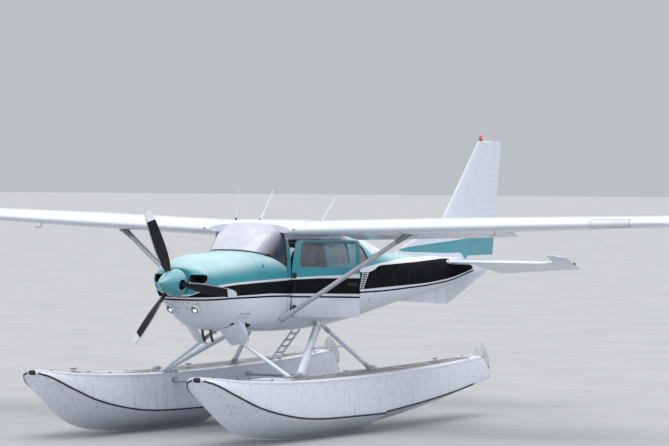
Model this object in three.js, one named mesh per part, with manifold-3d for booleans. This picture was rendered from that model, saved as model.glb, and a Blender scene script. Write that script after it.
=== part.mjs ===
// A high-wing light floatplane parked on its floats.
// Millimetres. Inside the airframe group x points to the aircraft's left, y is the station aft of the
// firewall and z is the height above the propeller axis. The group moves that to the part's own frame:
// +Z up, the nose towards -Y, the origin under the middle of the aircraft at the height of the keels.
import * as THREE from 'three';
import { mergeVertices } from 'three/addons/utils/BufferGeometryUtils.js';
import Module from 'manifold-3d';

const wasm = await Module();
wasm.setup();

// Fit between pieces that touch, and running clearance round a moving piece
const FIT = 0.3;
const CLEARANCE = 6;

// Stations along the fuselage
const BOW_STATION = -2350;
const NOSE_STATION = -1000;
const PILLAR_STATION = 625;
const DOOR_FRONT = 700;
const DOOR_REAR = 1560;
const WING_LEADING_EDGE = 590;
const ROOF_REAR = 2240;
const CABIN_REAR = 3000;
const TAIL_CONE_REAR = 6850;
const RUDDER_TOP_REAR = 7284;
const BELLY_SPLIT = -520;
const CABIN_WALL = 32;
const FLOOR_HEIGHT = -524;
const BULKHEAD_STATION = 2960;
const TAIL_CONE_WALL = 14;
const COWL_WALL = 12;

// Fuselage sections: station, half width, height of the widest place, top, bottom, and the exponents
// of the rounded outline above and below the widest place
const COWL = [
  [-1000, 283, 15, 186, -135, 2.2, 2.0],
  [-940, 372, 5, 240, -230, 2.3, 1.85],
  [-820, 432, -15, 290, -385, 2.4, 1.9],
  [-600, 472, -30, 335, -535, 2.5, 2.15],
  [-300, 503, -45, 360, -600, 2.7, 2.7],
  [0, 535, -60, 368, -622, 3.2, 3.3],
  [340, 553, -70, 370, -632, 3.4, 3.4],
  [630, 562, -75, 370, -645, 3.1, 3.5],
];
const CABIN = [
  [0, 535, -60, 600, -622, 3.0, 3.3],
  [340, 553, -70, 690, -632, 3.0, 3.4],
  [630, 562, -75, 735, -645, 3.0, 3.5],
  [1100, 570, -80, 748, -652, 3.0, 3.5],
  [1600, 568, -80, 738, -640, 3.0, 3.5],
  [2000, 556, -75, 700, -622, 3.0, 3.4],
  [2240, 544, -70, 662, -604, 2.9, 3.2],
  [2540, 518, -60, 612, -582, 2.8, 3.0],
  [2780, 492, -50, 566, -558, 2.7, 2.8],
  [3000, 462, -45, 514, -534, 2.6, 2.7],
  [3480, 382, -35, 378, -482, 2.4, 2.4],
  [4070, 300, -30, 272, -404, 2.2, 2.3],
  [5000, 205, -10, 222, -284, 2.1, 2.2],
  [6000, 115, 20, 182, -160, 2.1, 2.1],
  [6600, 66, 30, 122, -88, 2.0, 2.0],
  [6850, 36, 20, 76, -40, 2.0, 2.0],
];

// Wing: chords, leading edge stations and dihedral
const WING_ROOT_X = 580;
const WING_BREAK_X = 2540;
const WING_TIP_X = 5660;
const ROOT_CHORD = 1630;
const TIP_CHORD = 1130;
const TIP_LEADING_EDGE = 831;
const WING_ROOT_HEIGHT = 620;
const DIHEDRAL = THREE.MathUtils.degToRad(1.9);
const INCIDENCE = THREE.MathUtils.degToRad(1.5);
const AIRFOIL = { thickness: 0.12, camber: 0.02, camberPlace: 0.4 };
const FLAP = { from: 640, to: 2960, hinge: 0.715, rest: 12 };
const AILERON = { from: 3014, to: 5330, hinge: 0.735 };

// Tail surfaces
const HINGE_STATION = 6090;
const STABILIZER_HEIGHT = 124;
const STABILIZER_HALF_SPAN = 1500;
const ELEVATOR_HALF_SPAN = 1770;
const ELEVATOR_REST = 20;
const FIN_FOOT_HEIGHT = 150;
const FIN_TOP_HEIGHT = 1805;

// Floats
const FLOAT_X = 1170;
const STEP_STATION = 1360;
const TRANSOM = { top: 4330, height: -1100, lean: 0.8 };
const KEEL_DEPTH = 1880;
const FITTING_X = 1040;
const FRONT_FITTING = 174;
const REAR_FITTING = 1905;
const SPREADER_HEIGHT = -1270;

// Door hinges and swings, in degrees
const PILOT_DOOR_OPEN = 70;
const PROPELLER_REST = 7;

// Colours: base colour, roughness, metalness
const FINISHES = {
  teal: [0x4fa3ab, 0.35, 0.1],
  white: [0xdfe3ea, 0.35, 0.1],
  black: [0x15171b, 0.45, 0.1],
  steel: [0x9aa0a6, 0.35, 0.9],
  grey: [0x8d949c, 0.5, 0.4],
  glass: [0xc9dade, 0.05, 0.0],
  seat: [0x2c3c5c, 0.9, 0.0],
  trim: [0x3a3d42, 0.7, 0.0],
  red: [0xc8331f, 0.3, 0.0],
};

function material(finish) {
  const [color, roughness, metalness] = FINISHES[finish];
  return new THREE.MeshStandardMaterial({ color, roughness, metalness });
}

// Solids

/** A closed three.js geometry as a solid with its faces pointing out. */
function toSolid(geometry) {
  const loose = geometry.index ? geometry.toNonIndexed() : geometry;
  const bare = new THREE.BufferGeometry();
  bare.setAttribute('position', loose.getAttribute('position').clone());
  const merged = mergeVertices(bare, 1e-3);
  const triVerts = new Uint32Array(merged.index.array);
  const place = merged.getAttribute('position');
  const [a, b, c] = [0, 1, 2].map(() => new THREE.Vector3());
  let volume = 0;
  for (let i = 0; i < triVerts.length; i += 3) {
    a.fromBufferAttribute(place, triVerts[i]);
    b.fromBufferAttribute(place, triVerts[i + 1]);
    c.fromBufferAttribute(place, triVerts[i + 2]);
    volume += a.dot(b.cross(c));
  }
  if (volume < 0) {
    for (let i = 0; i < triVerts.length; i += 3) {
      [triVerts[i + 1], triVerts[i + 2]] = [triVerts[i + 2], triVerts[i + 1]];
    }
  }
  return new wasm.Manifold(new wasm.Mesh({ numProp: 3, vertProperties: place.array, triVerts }));
}

/** A solid as a three.js geometry with flat faces. */
function toGeometry(solid) {
  const { vertProperties, triVerts } = solid.getMesh();
  const geometry = new THREE.BufferGeometry();
  geometry.setAttribute('position', new THREE.BufferAttribute(new Float32Array(vertProperties), 3));
  geometry.setIndex(new THREE.BufferAttribute(new Uint32Array(triVerts), 1));
  const flat = geometry.toNonIndexed();
  flat.computeVertexNormals();
  return flat;
}

/** A skin over rings of equally many points, closed at both ends. */
function loft(rings) {
  const count = rings[0].length;
  const points = rings.flat();
  const middle = (ring) => ring.reduce((sum, p) => sum.add(p), new THREE.Vector3()).divideScalar(count);
  const first = points.length;
  const last = first + 1;
  const position = [...points, middle(rings[0]), middle(rings[rings.length - 1])];
  const index = [];
  for (let r = 0; r < rings.length - 1; r += 1) {
    for (let i = 0; i < count; i += 1) {
      const j = (i + 1) % count;
      const [p, q] = [r * count, (r + 1) * count];
      index.push(p + i, p + j, q + j, p + i, q + j, q + i);
    }
  }
  const end = (rings.length - 1) * count;
  for (let i = 0; i < count; i += 1) {
    const j = (i + 1) % count;
    index.push(first, j, i, last, end + i, end + j);
  }
  const geometry = new THREE.BufferGeometry().setFromPoints(position);
  geometry.setIndex(index);
  return toSolid(geometry);
}

/** A flat outline pushed along x, y or z. Its points are the two other coordinates, in that order. */
function prism(axis, outline, from, to) {
  const corners = outline instanceof THREE.Shape ? [] : outline.map(([u, v]) => new THREE.Vector2(u, v));
  const shape = outline instanceof THREE.Shape ? outline : new THREE.Shape(corners);
  const depth = to - from;
  const geometry = new THREE.ExtrudeGeometry(shape, { depth, bevelEnabled: false, curveSegments: 4 });
  const [X, Y, Z] = [new THREE.Vector3(1, 0, 0), new THREE.Vector3(0, 1, 0), new THREE.Vector3(0, 0, 1)];
  const basis = { x: [Y, Z, X], y: [X, Z, Y], z: [X, Y, Z] }[axis];
  const matrix = new THREE.Matrix4().makeBasis(...basis);
  matrix.setPosition(basis[2].clone().multiplyScalar(from));
  return toSolid(geometry.applyMatrix4(matrix));
}

function box(x0, x1, y0, y1, z0, z1) {
  const geometry = new THREE.BoxGeometry(x1 - x0, y1 - y0, z1 - z0);
  return toSolid(geometry.translate((x0 + x1) / 2, (y0 + y1) / 2, (z0 + z1) / 2));
}

/** A round bar between two points. */
function bar(from, to, radius, sides = 8) {
  const [a, b] = [new THREE.Vector3(...from), new THREE.Vector3(...to)];
  const along = b.clone().sub(a);
  const geometry = new THREE.CylinderGeometry(radius, radius, along.length(), sides);
  const turn = new THREE.Quaternion();
  turn.setFromUnitVectors(new THREE.Vector3(0, 1, 0), along.clone().normalize());
  return toSolid(geometry.applyQuaternion(turn).translate(...a.add(b).multiplyScalar(0.5).toArray()));
}

/** Radius of the many-sided hole in which a round pin turns without touching. */
const BEARING_SIDES = 24;
const bearing = (radius) => (radius + FIT) / Math.cos(Math.PI / BEARING_SIDES);

/** A streamlined bar between two points, its chord in the flight direction. */
function strut(from, to, chord, thickness) {
  const [a, b] = [new THREE.Vector3(...from), new THREE.Vector3(...to)];
  const along = b.clone().sub(a).normalize();
  const flight = new THREE.Vector3(0, 1, 0);
  const chordwise = flight.addScaledVector(along, -flight.dot(along)).normalize();
  const across = along.clone().cross(chordwise);
  // Share of the chord from the middle, share of the thickness
  const outline = [[-0.5, 0], [-0.4, 0.34], [-0.12, 0.5], [0.2, 0.34], [0.5, 0.03],
    [0.5, -0.03], [0.2, -0.34], [-0.12, -0.5], [-0.4, -0.34]];
  const ring = (centre) => outline.map(([c, t]) => centre.clone()
    .addScaledVector(chordwise, c * chord).addScaledVector(across, t * thickness));
  return loft([ring(a), ring(b)]);
}

const join = (solids) => solids.reduce((sum, next) => sum.add(next));

/** The same solid on the aircraft's other side. */
function mirrored(solid) {
  return toSolid(toGeometry(solid).scale(-1, 1, 1));
}

function turned(solid, axis, angle, about) {
  const [x, y, z] = about;
  const geometry = toGeometry(solid).translate(-x, -y, -z);
  geometry.applyQuaternion(new THREE.Quaternion().setFromAxisAngle(axis, THREE.MathUtils.degToRad(angle)));
  return toSolid(geometry.translate(x, y, z));
}

function roundedRectangle(u0, u1, v0, v1, radius) {
  const shape = new THREE.Shape();
  shape.moveTo(u0 + radius, v0);
  shape.lineTo(u1 - radius, v0);
  shape.absarc(u1 - radius, v0 + radius, radius, -Math.PI / 2, 0);
  shape.lineTo(u1, v1 - radius);
  shape.absarc(u1 - radius, v1 - radius, radius, 0, Math.PI / 2);
  shape.lineTo(u0 + radius, v1);
  shape.absarc(u0 + radius, v1 - radius, radius, Math.PI / 2, Math.PI);
  shape.lineTo(u0, v0 + radius);
  shape.absarc(u0 + radius, v0 + radius, radius, Math.PI, 1.5 * Math.PI);
  return shape;
}

/** An outline of straight sides whose corners are rounded by radius. */
function roundedPolygon(corners, radius) {
  const points = corners.map(([u, v]) => new THREE.Vector2(u, v));
  const shape = new THREE.Shape();
  points.forEach((corner, i) => {
    const before = points[(i + points.length - 1) % points.length];
    const after = points[(i + 1) % points.length];
    const enter = corner.clone().add(before.clone().sub(corner).setLength(radius));
    const leave = corner.clone().add(after.clone().sub(corner).setLength(radius));
    if (i === 0) shape.moveTo(enter.x, enter.y);
    else shape.lineTo(enter.x, enter.y);
    shape.quadraticCurveTo(corner.x, corner.y, leave.x, leave.y);
  });
  return shape;
}

// Fuselage

/** The columns of a section table at any station, on smooth curves through the rows. */
function sectionAt(table, station) {
  const rows = table.length;
  let i = table.findIndex((row) => row[0] >= station);
  if (i < 1) i = i === 0 ? 1 : rows - 1;
  const [low, high] = [table[i - 1], table[i]];
  const [before, after] = [table[Math.max(i - 2, 0)], table[Math.min(i + 1, rows - 1)]];
  const span = high[0] - low[0];
  const t = THREE.MathUtils.clamp((station - low[0]) / span, 0, 1);
  const column = (k) => {
    const slope = (a, b) => (b[k] - a[k]) / (b[0] - a[0]);
    const start = span * slope(before, high);
    const end = span * slope(low, after);
    const [t2, t3] = [t * t, t * t * t];
    return (2 * t3 - 3 * t2 + 1) * low[k] + (t3 - 2 * t2 + t) * start
      + (3 * t2 - 2 * t3) * high[k] + (t3 - t2) * end;
  };
  const [halfWidth, widest, top, bottom, upper, lower] = [1, 2, 3, 4, 5, 6].map(column);
  return { station, halfWidth, widest, top, bottom, upper, lower };
}

const power = (value, exponent) => Math.sign(value) * Math.abs(value) ** exponent;

/** One fuselage section as a ring, inset by a wall and raised off the bottom by a floor. */
function sectionRing(section, wall = 0, floor = wall, points = 20) {
  const { station, halfWidth, widest, top, bottom, upper, lower } = section;
  return Array.from({ length: points }, (_, i) => {
    const angle = (2 * Math.PI * i) / points;
    const [c, s] = [Math.cos(angle), Math.sin(angle)];
    const n = s >= 0 ? upper : lower;
    const height = s >= 0 ? top - wall - widest : widest - bottom - floor;
    const x = (halfWidth - wall) * power(c, 2 / n);
    return new THREE.Vector3(x, station, widest + height * power(s, 2 / n));
  });
}

function body(table, stations, wall = 0, floor = wall) {
  return loft(stations.map((y) => sectionRing(sectionAt(table, y), wall, floor)));
}

/** Half width of the outside at a station and height. */
function sideAt(table, station, height) {
  const { halfWidth, widest, top, bottom, upper, lower } = sectionAt(table, station);
  const above = height >= widest;
  const n = above ? upper : lower;
  const ratio = above ? (height - widest) / (top - widest) : (widest - height) / (widest - bottom);
  return halfWidth * (1 - Math.min(ratio, 1) ** n) ** (1 / n);
}

const COWL_STATIONS = [-1000, -965, -920, -850, -740, -560, -300, 0];
const CABIN_STATIONS = [PILLAR_STATION, 1100, 1600, 2000, 2240, 2540, 2780, CABIN_REAR];

const everywhere = { x: 3000, y: 9000, z: 3000 };
const slab = (y0, y1) => box(-everywhere.x, everywhere.x, y0, y1, -everywhere.z, everywhere.z);
const above = (z) => box(-everywhere.x, everywhere.x, -everywhere.y, everywhere.y, z, everywhere.z);
const below = (z) => box(-everywhere.x, everywhere.x, -everywhere.y, everywhere.y, -everywhere.z, z);

// Airfoil

/** Upper and lower height of the wing section at a share of its chord, as shares of the chord. */
function airfoilAt(share) {
  const { thickness, camber, camberPlace } = AIRFOIL;
  const half = 5 * thickness * (0.2969 * Math.sqrt(share) - 0.126 * share - 0.3516 * share ** 2
    + 0.2843 * share ** 3 - 0.1036 * share ** 4);
  const line = share < camberPlace
    ? (camber / camberPlace ** 2) * (2 * camberPlace * share - share ** 2)
    : (camber / (1 - camberPlace) ** 2) * (1 - 2 * camberPlace + 2 * camberPlace * share - share ** 2);
  return { upper: line + half, lower: line - half };
}

const CHORD_SHARES = [0, 0.012, 0.05, 0.12, 0.25, 0.42, 0.6, 0.715, 0.735, 0.86, 1];

/** Chord, leading edge station and leading edge height of the wing at a distance from the middle. */
function wingAt(x) {
  const share = Math.max(0, (x - WING_BREAK_X) / (WING_TIP_X - WING_BREAK_X));
  return {
    chord: ROOT_CHORD + (TIP_CHORD - ROOT_CHORD) * share,
    front: WING_LEADING_EDGE + (TIP_LEADING_EDGE - WING_LEADING_EDGE) * share,
    height: WING_ROOT_HEIGHT + (x - WING_ROOT_X) * Math.tan(DIHEDRAL),
  };
}

/** A point of the wing's surface at a share of the chord, raised by a share of the chord. */
function wingPoint(x, share, rise) {
  const { chord, front, height } = wingAt(x);
  return new THREE.Vector3(
    x,
    front + chord * (share * Math.cos(INCIDENCE) + rise * Math.sin(INCIDENCE)),
    height + chord * (rise * Math.cos(INCIDENCE) - share * Math.sin(INCIDENCE)),
  );
}

const TRAILING_EDGE = 0.0025;

/** A wing section as a ring: over the top from the leading edge, then back underneath. */
function wingRing(x, shares = CHORD_SHARES, flatten = 1) {
  const over = shares.map((share) => (
    wingPoint(x, share, flatten * (airfoilAt(share).upper + TRAILING_EDGE * share))));
  const under = shares.slice(1).reverse()
    .map((share) => wingPoint(x, share, flatten * (airfoilAt(share).lower - TRAILING_EDGE * share)));
  return [...over, ...under];
}

const hub = new THREE.Group();
hub.position.set(0, -(BOW_STATION + RUDDER_TOP_REAR) / 2, KEEL_DEPTH);
const airframe = new THREE.Group();
airframe.add(hub);

function addPiece(name, solid, finish, parent = hub) {
  const mesh = new THREE.Mesh(toGeometry(solid.simplify(0.05)), material(finish));
  mesh.name = name;
  parent.add(mesh);
  return mesh;
}

// Nose and engine

const SPINNER = { radius: 170, tip: -1394, back: -1035 };
const SHAFT_RADIUS = 32;
const SHAFT_END = -1056;
const INTAKE = { x: 285, z: 48, width: 180, height: 112 };
const NOSE_JOINT = -880;
const COWL_SPLIT = -60;

const cowlOutside = body(COWL, COWL_STATIONS);
const cowlInside = body(COWL, [-1001, -965, -920, -850, -740, -560, -300, 1], COWL_WALL);
const cowlShell = cowlOutside.subtract(cowlInside.intersect(slab(NOSE_STATION + 24, 5)));
const intake = prism('y', roundedRectangle(
  INTAKE.x - INTAKE.width / 2, INTAKE.x + INTAKE.width / 2,
  INTAKE.z - INTAKE.height / 2, INTAKE.z + INTAKE.height / 2, 38,
), NOSE_STATION - 200, NOSE_JOINT - 30);
const shaftHole = bar([0, NOSE_STATION - 60, 0], [0, NOSE_STATION + 90, 0], 120, 16);
addPiece('nose_bowl', cowlShell.intersect(slab(NOSE_STATION - 10, NOSE_JOINT))
  .subtract(intake).subtract(mirrored(intake)).subtract(shaftHole), 'teal');
const cowlRear = cowlShell.intersect(slab(NOSE_JOINT + FIT, -FIT));
addPiece('upper_cowling', cowlRear.intersect(above(COWL_SPLIT)), 'teal');

// The cowl flaps hang open at the rear of the lower cowling
const COWL_FLAP = { x0: 170, x1: 420, front: -330, length: 330, open: 32, thickness: 12 };
const flapOpening = box(COWL_FLAP.x0, COWL_FLAP.x1, COWL_FLAP.front, 10, -800, -500);
addPiece('lower_cowling', cowlRear.intersect(below(COWL_SPLIT - FIT))
  .subtract(flapOpening).subtract(mirrored(flapOpening)), 'white');
const flapHeight = sectionAt(COWL, COWL_FLAP.front).bottom;
for (const [name, side] of [['cowl_flap_left', 1], ['cowl_flap_right', -1]]) {
  const plate = body(COWL, [COWL_FLAP.front + FIT, -200, -100, 0])
    .subtract(body(COWL, [COWL_FLAP.front - 2, -200, -100, 4], COWL_FLAP.thickness))
    .intersect(box(COWL_FLAP.x0 + FIT, COWL_FLAP.x1 - 12, COWL_FLAP.front, 0, -800, -545));
  const flapHinge = [0, COWL_FLAP.front + FIT, flapHeight];
  const lowered = turned(plate, new THREE.Vector3(1, 0, 0), -COWL_FLAP.open, flapHinge);
  addPiece(name, side > 0 ? lowered : mirrored(lowered), 'white');
}

const ENGINE = { x: 330, front: -740, rear: -150, low: -230, high: 130 };
addPiece('engine', join([
  prism('y', roundedRectangle(-ENGINE.x, ENGINE.x, ENGINE.low, ENGINE.high, 80), ENGINE.front, ENGINE.rear),
  bar([0, ENGINE.front + 5, 0], [0, SHAFT_END, 0], SHAFT_RADIUS, 12),
  // Mount legs back to the firewall
  ...[[-1, -140], [-1, 60], [1, -140], [1, 60]]
    .map(([side, z]) => bar([side * 250, ENGINE.rear - 5, z], [side * 330, 4, z], 14, 6)),
]).intersect(slab(SHAFT_END - 1, -FIT)), 'steel');
addPiece('firewall', body(COWL, [0, 12]).intersect(slab(0, 12)), 'steel');

// Propeller and spinner, built about their axis and placed by the joint's group
const BLADE_ANGLES = [0, 120, 240];
const propeller = new THREE.Group();
propeller.position.set(0, -1118, 0);
propeller.rotation.y = THREE.MathUtils.degToRad(PROPELLER_REST);
hub.add(propeller);

/** One blade along +x: distance from the axis, chord, thickness, pitch in degrees. */
const BLADE_SECTIONS = [
  [60, 62, 52, 62],
  [150, 66, 46, 55],
  [230, 110, 30, 45],
  [400, 142, 20, 34],
  [620, 138, 14, 25],
  [820, 116, 9, 20],
  [905, 88, 7, 18],
  [930, 42, 5, 18],
];
function bladeRing([radius, chord, thickness, pitch]) {
  const angle = THREE.MathUtils.degToRad(pitch);
  return Array.from({ length: 8 }, (_, i) => {
    const a = (2 * Math.PI * i) / 8;
    const [c, t] = [0.5 * chord * Math.cos(a), 0.5 * thickness * Math.sin(a)];
    const across = c * Math.cos(angle) + t * Math.sin(angle);
    return new THREE.Vector3(radius, -c * Math.sin(angle) + t * Math.cos(angle), across);
  });
}
const blade = loft(BLADE_SECTIONS.map(bladeRing));
const yAxis = new THREE.Vector3(0, 1, 0);
const HUB_RADIUS = 80;
const propellerHub = bar([0, -70, 0], [0, 98, 0], HUB_RADIUS, 14)
  .subtract(bar([0, 60, 0], [0, 110, 0], bearing(SHAFT_RADIUS), BEARING_SIDES));
const blades = BLADE_ANGLES.map((a) => turned(blade, yAxis, a, [0, 0, 0]));
addPiece('propeller', join([propellerHub, ...blades]), 'black', propeller);

/** Spinner shell: radius and distance ahead of its back edge, outside then inside. */
const spinnerLength = SPINNER.back - SPINNER.tip;
const spinnerOutline = [];
for (let i = 0; i <= 5; i += 1) {
  const t = i / 5;
  spinnerOutline.push([SPINNER.radius * Math.sqrt(1 - t ** 2.1), spinnerLength * t]);
}
for (let i = 4; i >= 0; i -= 1) {
  const t = i / 4;
  spinnerOutline.push([(SPINNER.radius - 6) * Math.sqrt(1 - t ** 2.1), 4 + (spinnerLength - 12) * t]);
}
spinnerOutline.push([60, 4], [60, 0]);
const spinnerBase = SPINNER.back - propeller.position.y;
const spinnerProfile = [...spinnerOutline, spinnerOutline[0]].map(([r, h]) => new THREE.Vector2(r, -h));
const spinnerShell = new THREE.LatheGeometry(spinnerProfile, 16);
const hubHole = bar([0, -200, 0], [0, 200, 0], HUB_RADIUS + FIT, 14);
const bladeSlot = bar([70, 0, 0], [260, 0, 0], 42, 10);
addPiece('spinner', BLADE_ANGLES.reduce(
  (shell, a) => shell.subtract(turned(bladeSlot, yAxis, a, [0, 0, 0])),
  toSolid(spinnerShell.translate(0, spinnerBase, 0)).subtract(hubHole),
), 'teal', propeller);

// Windshield: ruled between its foot on the deck and its top under the roof's front edge

/** Foot of the windshield at a distance from the middle. */
function windshieldFoot(x) {
  const station = 120 + 505 * (Math.abs(x) / 530) ** 3.6;
  const { halfWidth, widest, top, upper } = sectionAt(COWL, station);
  const ratio = Math.min(Math.abs(x) / halfWidth, 1);
  return new THREE.Vector3(x, station, widest + (top - widest) * (1 - ratio ** upper) ** (1 / upper));
}
function windshieldTop(x) {
  const share = Math.abs(x) / 470;
  return new THREE.Vector3(x, 600 + 22 * share ** 2, 722 - 120 * share ** 3);
}
const WINDSHIELD = { thickness: 8, bulge: 30, steps: 12, rows: 3, footHalf: 528, topHalf: 468 };
function windshieldPoint(u, v, inset) {
  const foot = windshieldFoot(u * WINDSHIELD.footHalf);
  const top = windshieldTop(u * WINDSHIELD.topHalf);
  const out = WINDSHIELD.bulge * Math.sin(Math.PI * v) - inset;
  return foot.lerp(top, v).add(new THREE.Vector3(out * u * 0.8, -out * (1 - 0.6 * u * u), 0.55 * out));
}
const windshieldRows = Array.from(
  { length: WINDSHIELD.rows + 1 },
  (_, k) => 0.02 + (0.96 * k) / WINDSHIELD.rows,
);
const windshieldRings = Array.from({ length: WINDSHIELD.steps + 1 }, (_, i) => {
  const u = -1 + (2 * i) / WINDSHIELD.steps;
  const inner = [...windshieldRows].reverse();
  return [...windshieldRows.map((v) => windshieldPoint(u, v, 0)),
    ...inner.map((v) => windshieldPoint(u, v, WINDSHIELD.thickness))];
});
const windshield = loft(windshieldRings);

// Boot cowl between firewall and doors, open on top behind the windshield's foot
const BOOT_STATIONS = [12, 200, 400, PILLAR_STATION];
const bootOutside = body(COWL, BOOT_STATIONS).intersect(slab(12 + FIT, PILLAR_STATION - FIT));
const bootInside = body(COWL, [11, 200, 400, PILLAR_STATION + 2], CABIN_WALL / 2);
const deckOutline = new THREE.Shape();
deckOutline.moveTo(-522, 700);
for (let i = 0; i <= 12; i += 1) {
  const x = -522 + 87 * i;
  deckOutline.lineTo(x, windshieldFoot(x).y + 14);
}
deckOutline.lineTo(522, 700);
const deckOpening = prism('z', deckOutline, 150, 900);
const bootShell = bootOutside.subtract(bootInside).subtract(deckOpening);
addPiece('boot_cowl', bootShell.intersect(above(BELLY_SPLIT)), 'teal');

// Roof between the wing roots: the wing's lower surface underneath, the roof line on top
const ROOF_STATIONS = [606, 640, 720, 860, 1100, 1400, 1700, 2000, ROOF_REAR];
const roofRing = (station, drop = 0) => {
  const chord = ROOT_CHORD * Math.cos(INCIDENCE);
  const share = THREE.MathUtils.clamp((station - WING_LEADING_EDGE) / chord, 0, 1);
  const rise = airfoilAt(share);
  const floor = wingPoint(WING_ROOT_X, share, rise.lower - TRAILING_EDGE * share).z - drop;
  const side = wingPoint(WING_ROOT_X, share, rise.upper + TRAILING_EDGE * share).z;
  const frontDrop = Math.max(0, 700 - station) * 0.4;
  const middle = Math.max(side + 4, sectionAt(CABIN, station).top - frontDrop);
  const half = WING_ROOT_X - FIT;
  const crown = [1, 0.8, 0.5, 0, -0.5, -0.8, -1].map((u) => (
    new THREE.Vector3(half * u, station, side + (middle - side) * (1 - u ** 4))));
  const corners = [half, -half].map((x) => new THREE.Vector3(x, station, floor));
  return [corners[0], ...crown, corners[1]];
};
const roof = loft(ROOF_STATIONS.map((y) => roofRing(y)));
const shiftedRoof = (y, z) => {
  const shift = new THREE.Vector3(0, y, z);
  return loft(ROOF_STATIONS.map((station) => roofRing(station, FIT).map((p) => p.add(shift))));
};
const roofSpace = join([shiftedRoof(0, 0), shiftedRoof(0, 60)]);

// Cabin shell and its panels
const cabinOutside = body(CABIN, CABIN_STATIONS);
const ROOM_STATIONS = [PILLAR_STATION - 2, 1100, 1600, 2000, 2240, 2540, 2780, CABIN_REAR + 2];
const cabinInside = body(CABIN, ROOM_STATIONS, CABIN_WALL);
const cabinShell = cabinOutside.subtract(cabinInside);
const aboveRoof = box(-700, 700, 500, ROOF_REAR + FIT, 640, 900);
const cabinUnderRoof = cabinShell.subtract(roofSpace).subtract(aboveRoof);

const pillarJoint = body(CABIN, [PILLAR_STATION - 2, PILLAR_STATION + 2])
  .subtract(body(COWL, [PILLAR_STATION - 3, PILLAR_STATION + 3], CABIN_WALL));
const lowerPanels = bootShell.add(cabinShell.intersect(slab(PILLAR_STATION + FIT, CABIN_REAR)))
  .add(pillarJoint)
  .intersect(below(BELLY_SPLIT - FIT));
addPiece('belly', lowerPanels, 'white');
const floorSpace = box(
  -600, 600, PILLAR_STATION + 60, BULKHEAD_STATION - 1, FLOOR_HEIGHT - 14, FLOOR_HEIGHT,
);
addPiece('cabin_floor', body(CABIN, CABIN_STATIONS, CABIN_WALL + FIT).intersect(floorSpace), 'trim');

// Side windows and doors as outlines in station and height
const REAR_ROOF = { halfWidth: 330, low: 120 };
const MIDDLE_WINDOW = [[1690, 168], [2170, 168], [2170, 474], [1690, 486]];
const REAR_WINDOW = [[2285, 168], [2775, 168], [2640, 400], [2285, 470]];
const PILOT_DOOR = { low: -452, high: 505, top: [DOOR_FRONT + 36, DOOR_REAR - 22] };
const doorCorners = (grow) => [
  [DOOR_FRONT - grow, PILOT_DOOR.low - grow],
  [DOOR_REAR + grow, PILOT_DOOR.low - grow],
  [DOOR_REAR + grow, 120],
  [PILOT_DOOR.top[1] + grow, PILOT_DOOR.high + grow],
  [PILOT_DOOR.top[0] - grow, PILOT_DOOR.high + grow],
  [DOOR_FRONT - grow, 120],
];
const PILOT_WINDOW = [
  [DOOR_FRONT + 84, 160], [DOOR_REAR - 44, 160], [DOOR_REAR - 58, 478], [DOOR_FRONT + 112, 478],
];
const RIGHT_WINDOW = [[DOOR_FRONT + 120, 170], [1520, 170], [1520, 488], [DOOR_FRONT + 140, 488]];
const CARGO = { front: 1640, split: 2225, rear: 2770, low: -440, high: 452, slant: 22 };
const cargoFrontCorners = (grow) => [
  [CARGO.front - grow, CARGO.low - grow], [CARGO.split - 3 + grow, CARGO.low - grow],
  [CARGO.split - 3 - CARGO.slant + grow, CARGO.high + grow], [CARGO.front - grow, CARGO.high + grow],
];
const cargoRearCorners = (grow) => [
  [CARGO.split + 3 - grow, CARGO.low - grow], [CARGO.rear + grow, CARGO.low - grow],
  [CARGO.rear + grow, 150], [2600 + grow, 400 + grow], [CARGO.split + 3 - grow, CARGO.high + grow],
];
const CARGO_FRONT_WINDOW = [[1722, 168], [2150, 168], [2150, 400], [1722, 405]];
const CARGO_REAR_WINDOW = [[2305, 168], [2680, 168], [2560, 345], [2305, 392]];
const throughLeft = (corners, radius) => prism('x', roundedPolygon(corners, radius), 200, 800);
const throughRight = (corners, radius) => prism('x', roundedPolygon(corners, radius), -800, -200);

const rearRoofBox = (grow, front) => box(
  -REAR_ROOF.halfWidth - grow, REAR_ROOF.halfWidth + grow, front, CABIN_REAR + 5, REAR_ROOF.low - grow, 900,
);
const rearRoofSpace = rearRoofBox(0, ROOF_REAR + FIT);
const rearRoofHole = rearRoofBox(FIT, 500);
const sidePanels = cabinUnderRoof.intersect(above(BELLY_SPLIT)).subtract(rearRoofHole);
const leftHalf = box(0, 900, 0, 4000, -900, 900);
const rightHalf = box(-900, 0, 0, 4000, -900, 900);
addPiece('left_side', sidePanels.intersect(leftHalf)
  .subtract(throughLeft(doorCorners(CLEARANCE), 46))
  .subtract(throughLeft(MIDDLE_WINDOW, 60))
  .subtract(throughLeft(REAR_WINDOW, 70)), 'teal');
addPiece('right_side', sidePanels.intersect(rightHalf)
  .subtract(throughRight([
    [CARGO.front - CLEARANCE, CARGO.low - CLEARANCE], [CARGO.rear + CLEARANCE, CARGO.low - CLEARANCE],
    [CARGO.rear + CLEARANCE, 150], [2600 + CLEARANCE, 400 + CLEARANCE],
    [CARGO.split, CARGO.high + CLEARANCE], [CARGO.front - CLEARANCE, CARGO.high + CLEARANCE]], 40))
  .subtract(throughRight(RIGHT_WINDOW, 60)), 'teal');
addPiece('roof', roof, 'white');
addPiece('rear_roof', cabinShell.intersect(rearRoofSpace), 'white');
addPiece('windshield', windshield.subtract(body(COWL, [12, 200, 400, PILLAR_STATION], -FIT))
  .subtract(shiftedRoof(-FIT, 0))
  .subtract(sidePanels).intersect(slab(0, PILLAR_STATION - FIT)), 'glass');

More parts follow.
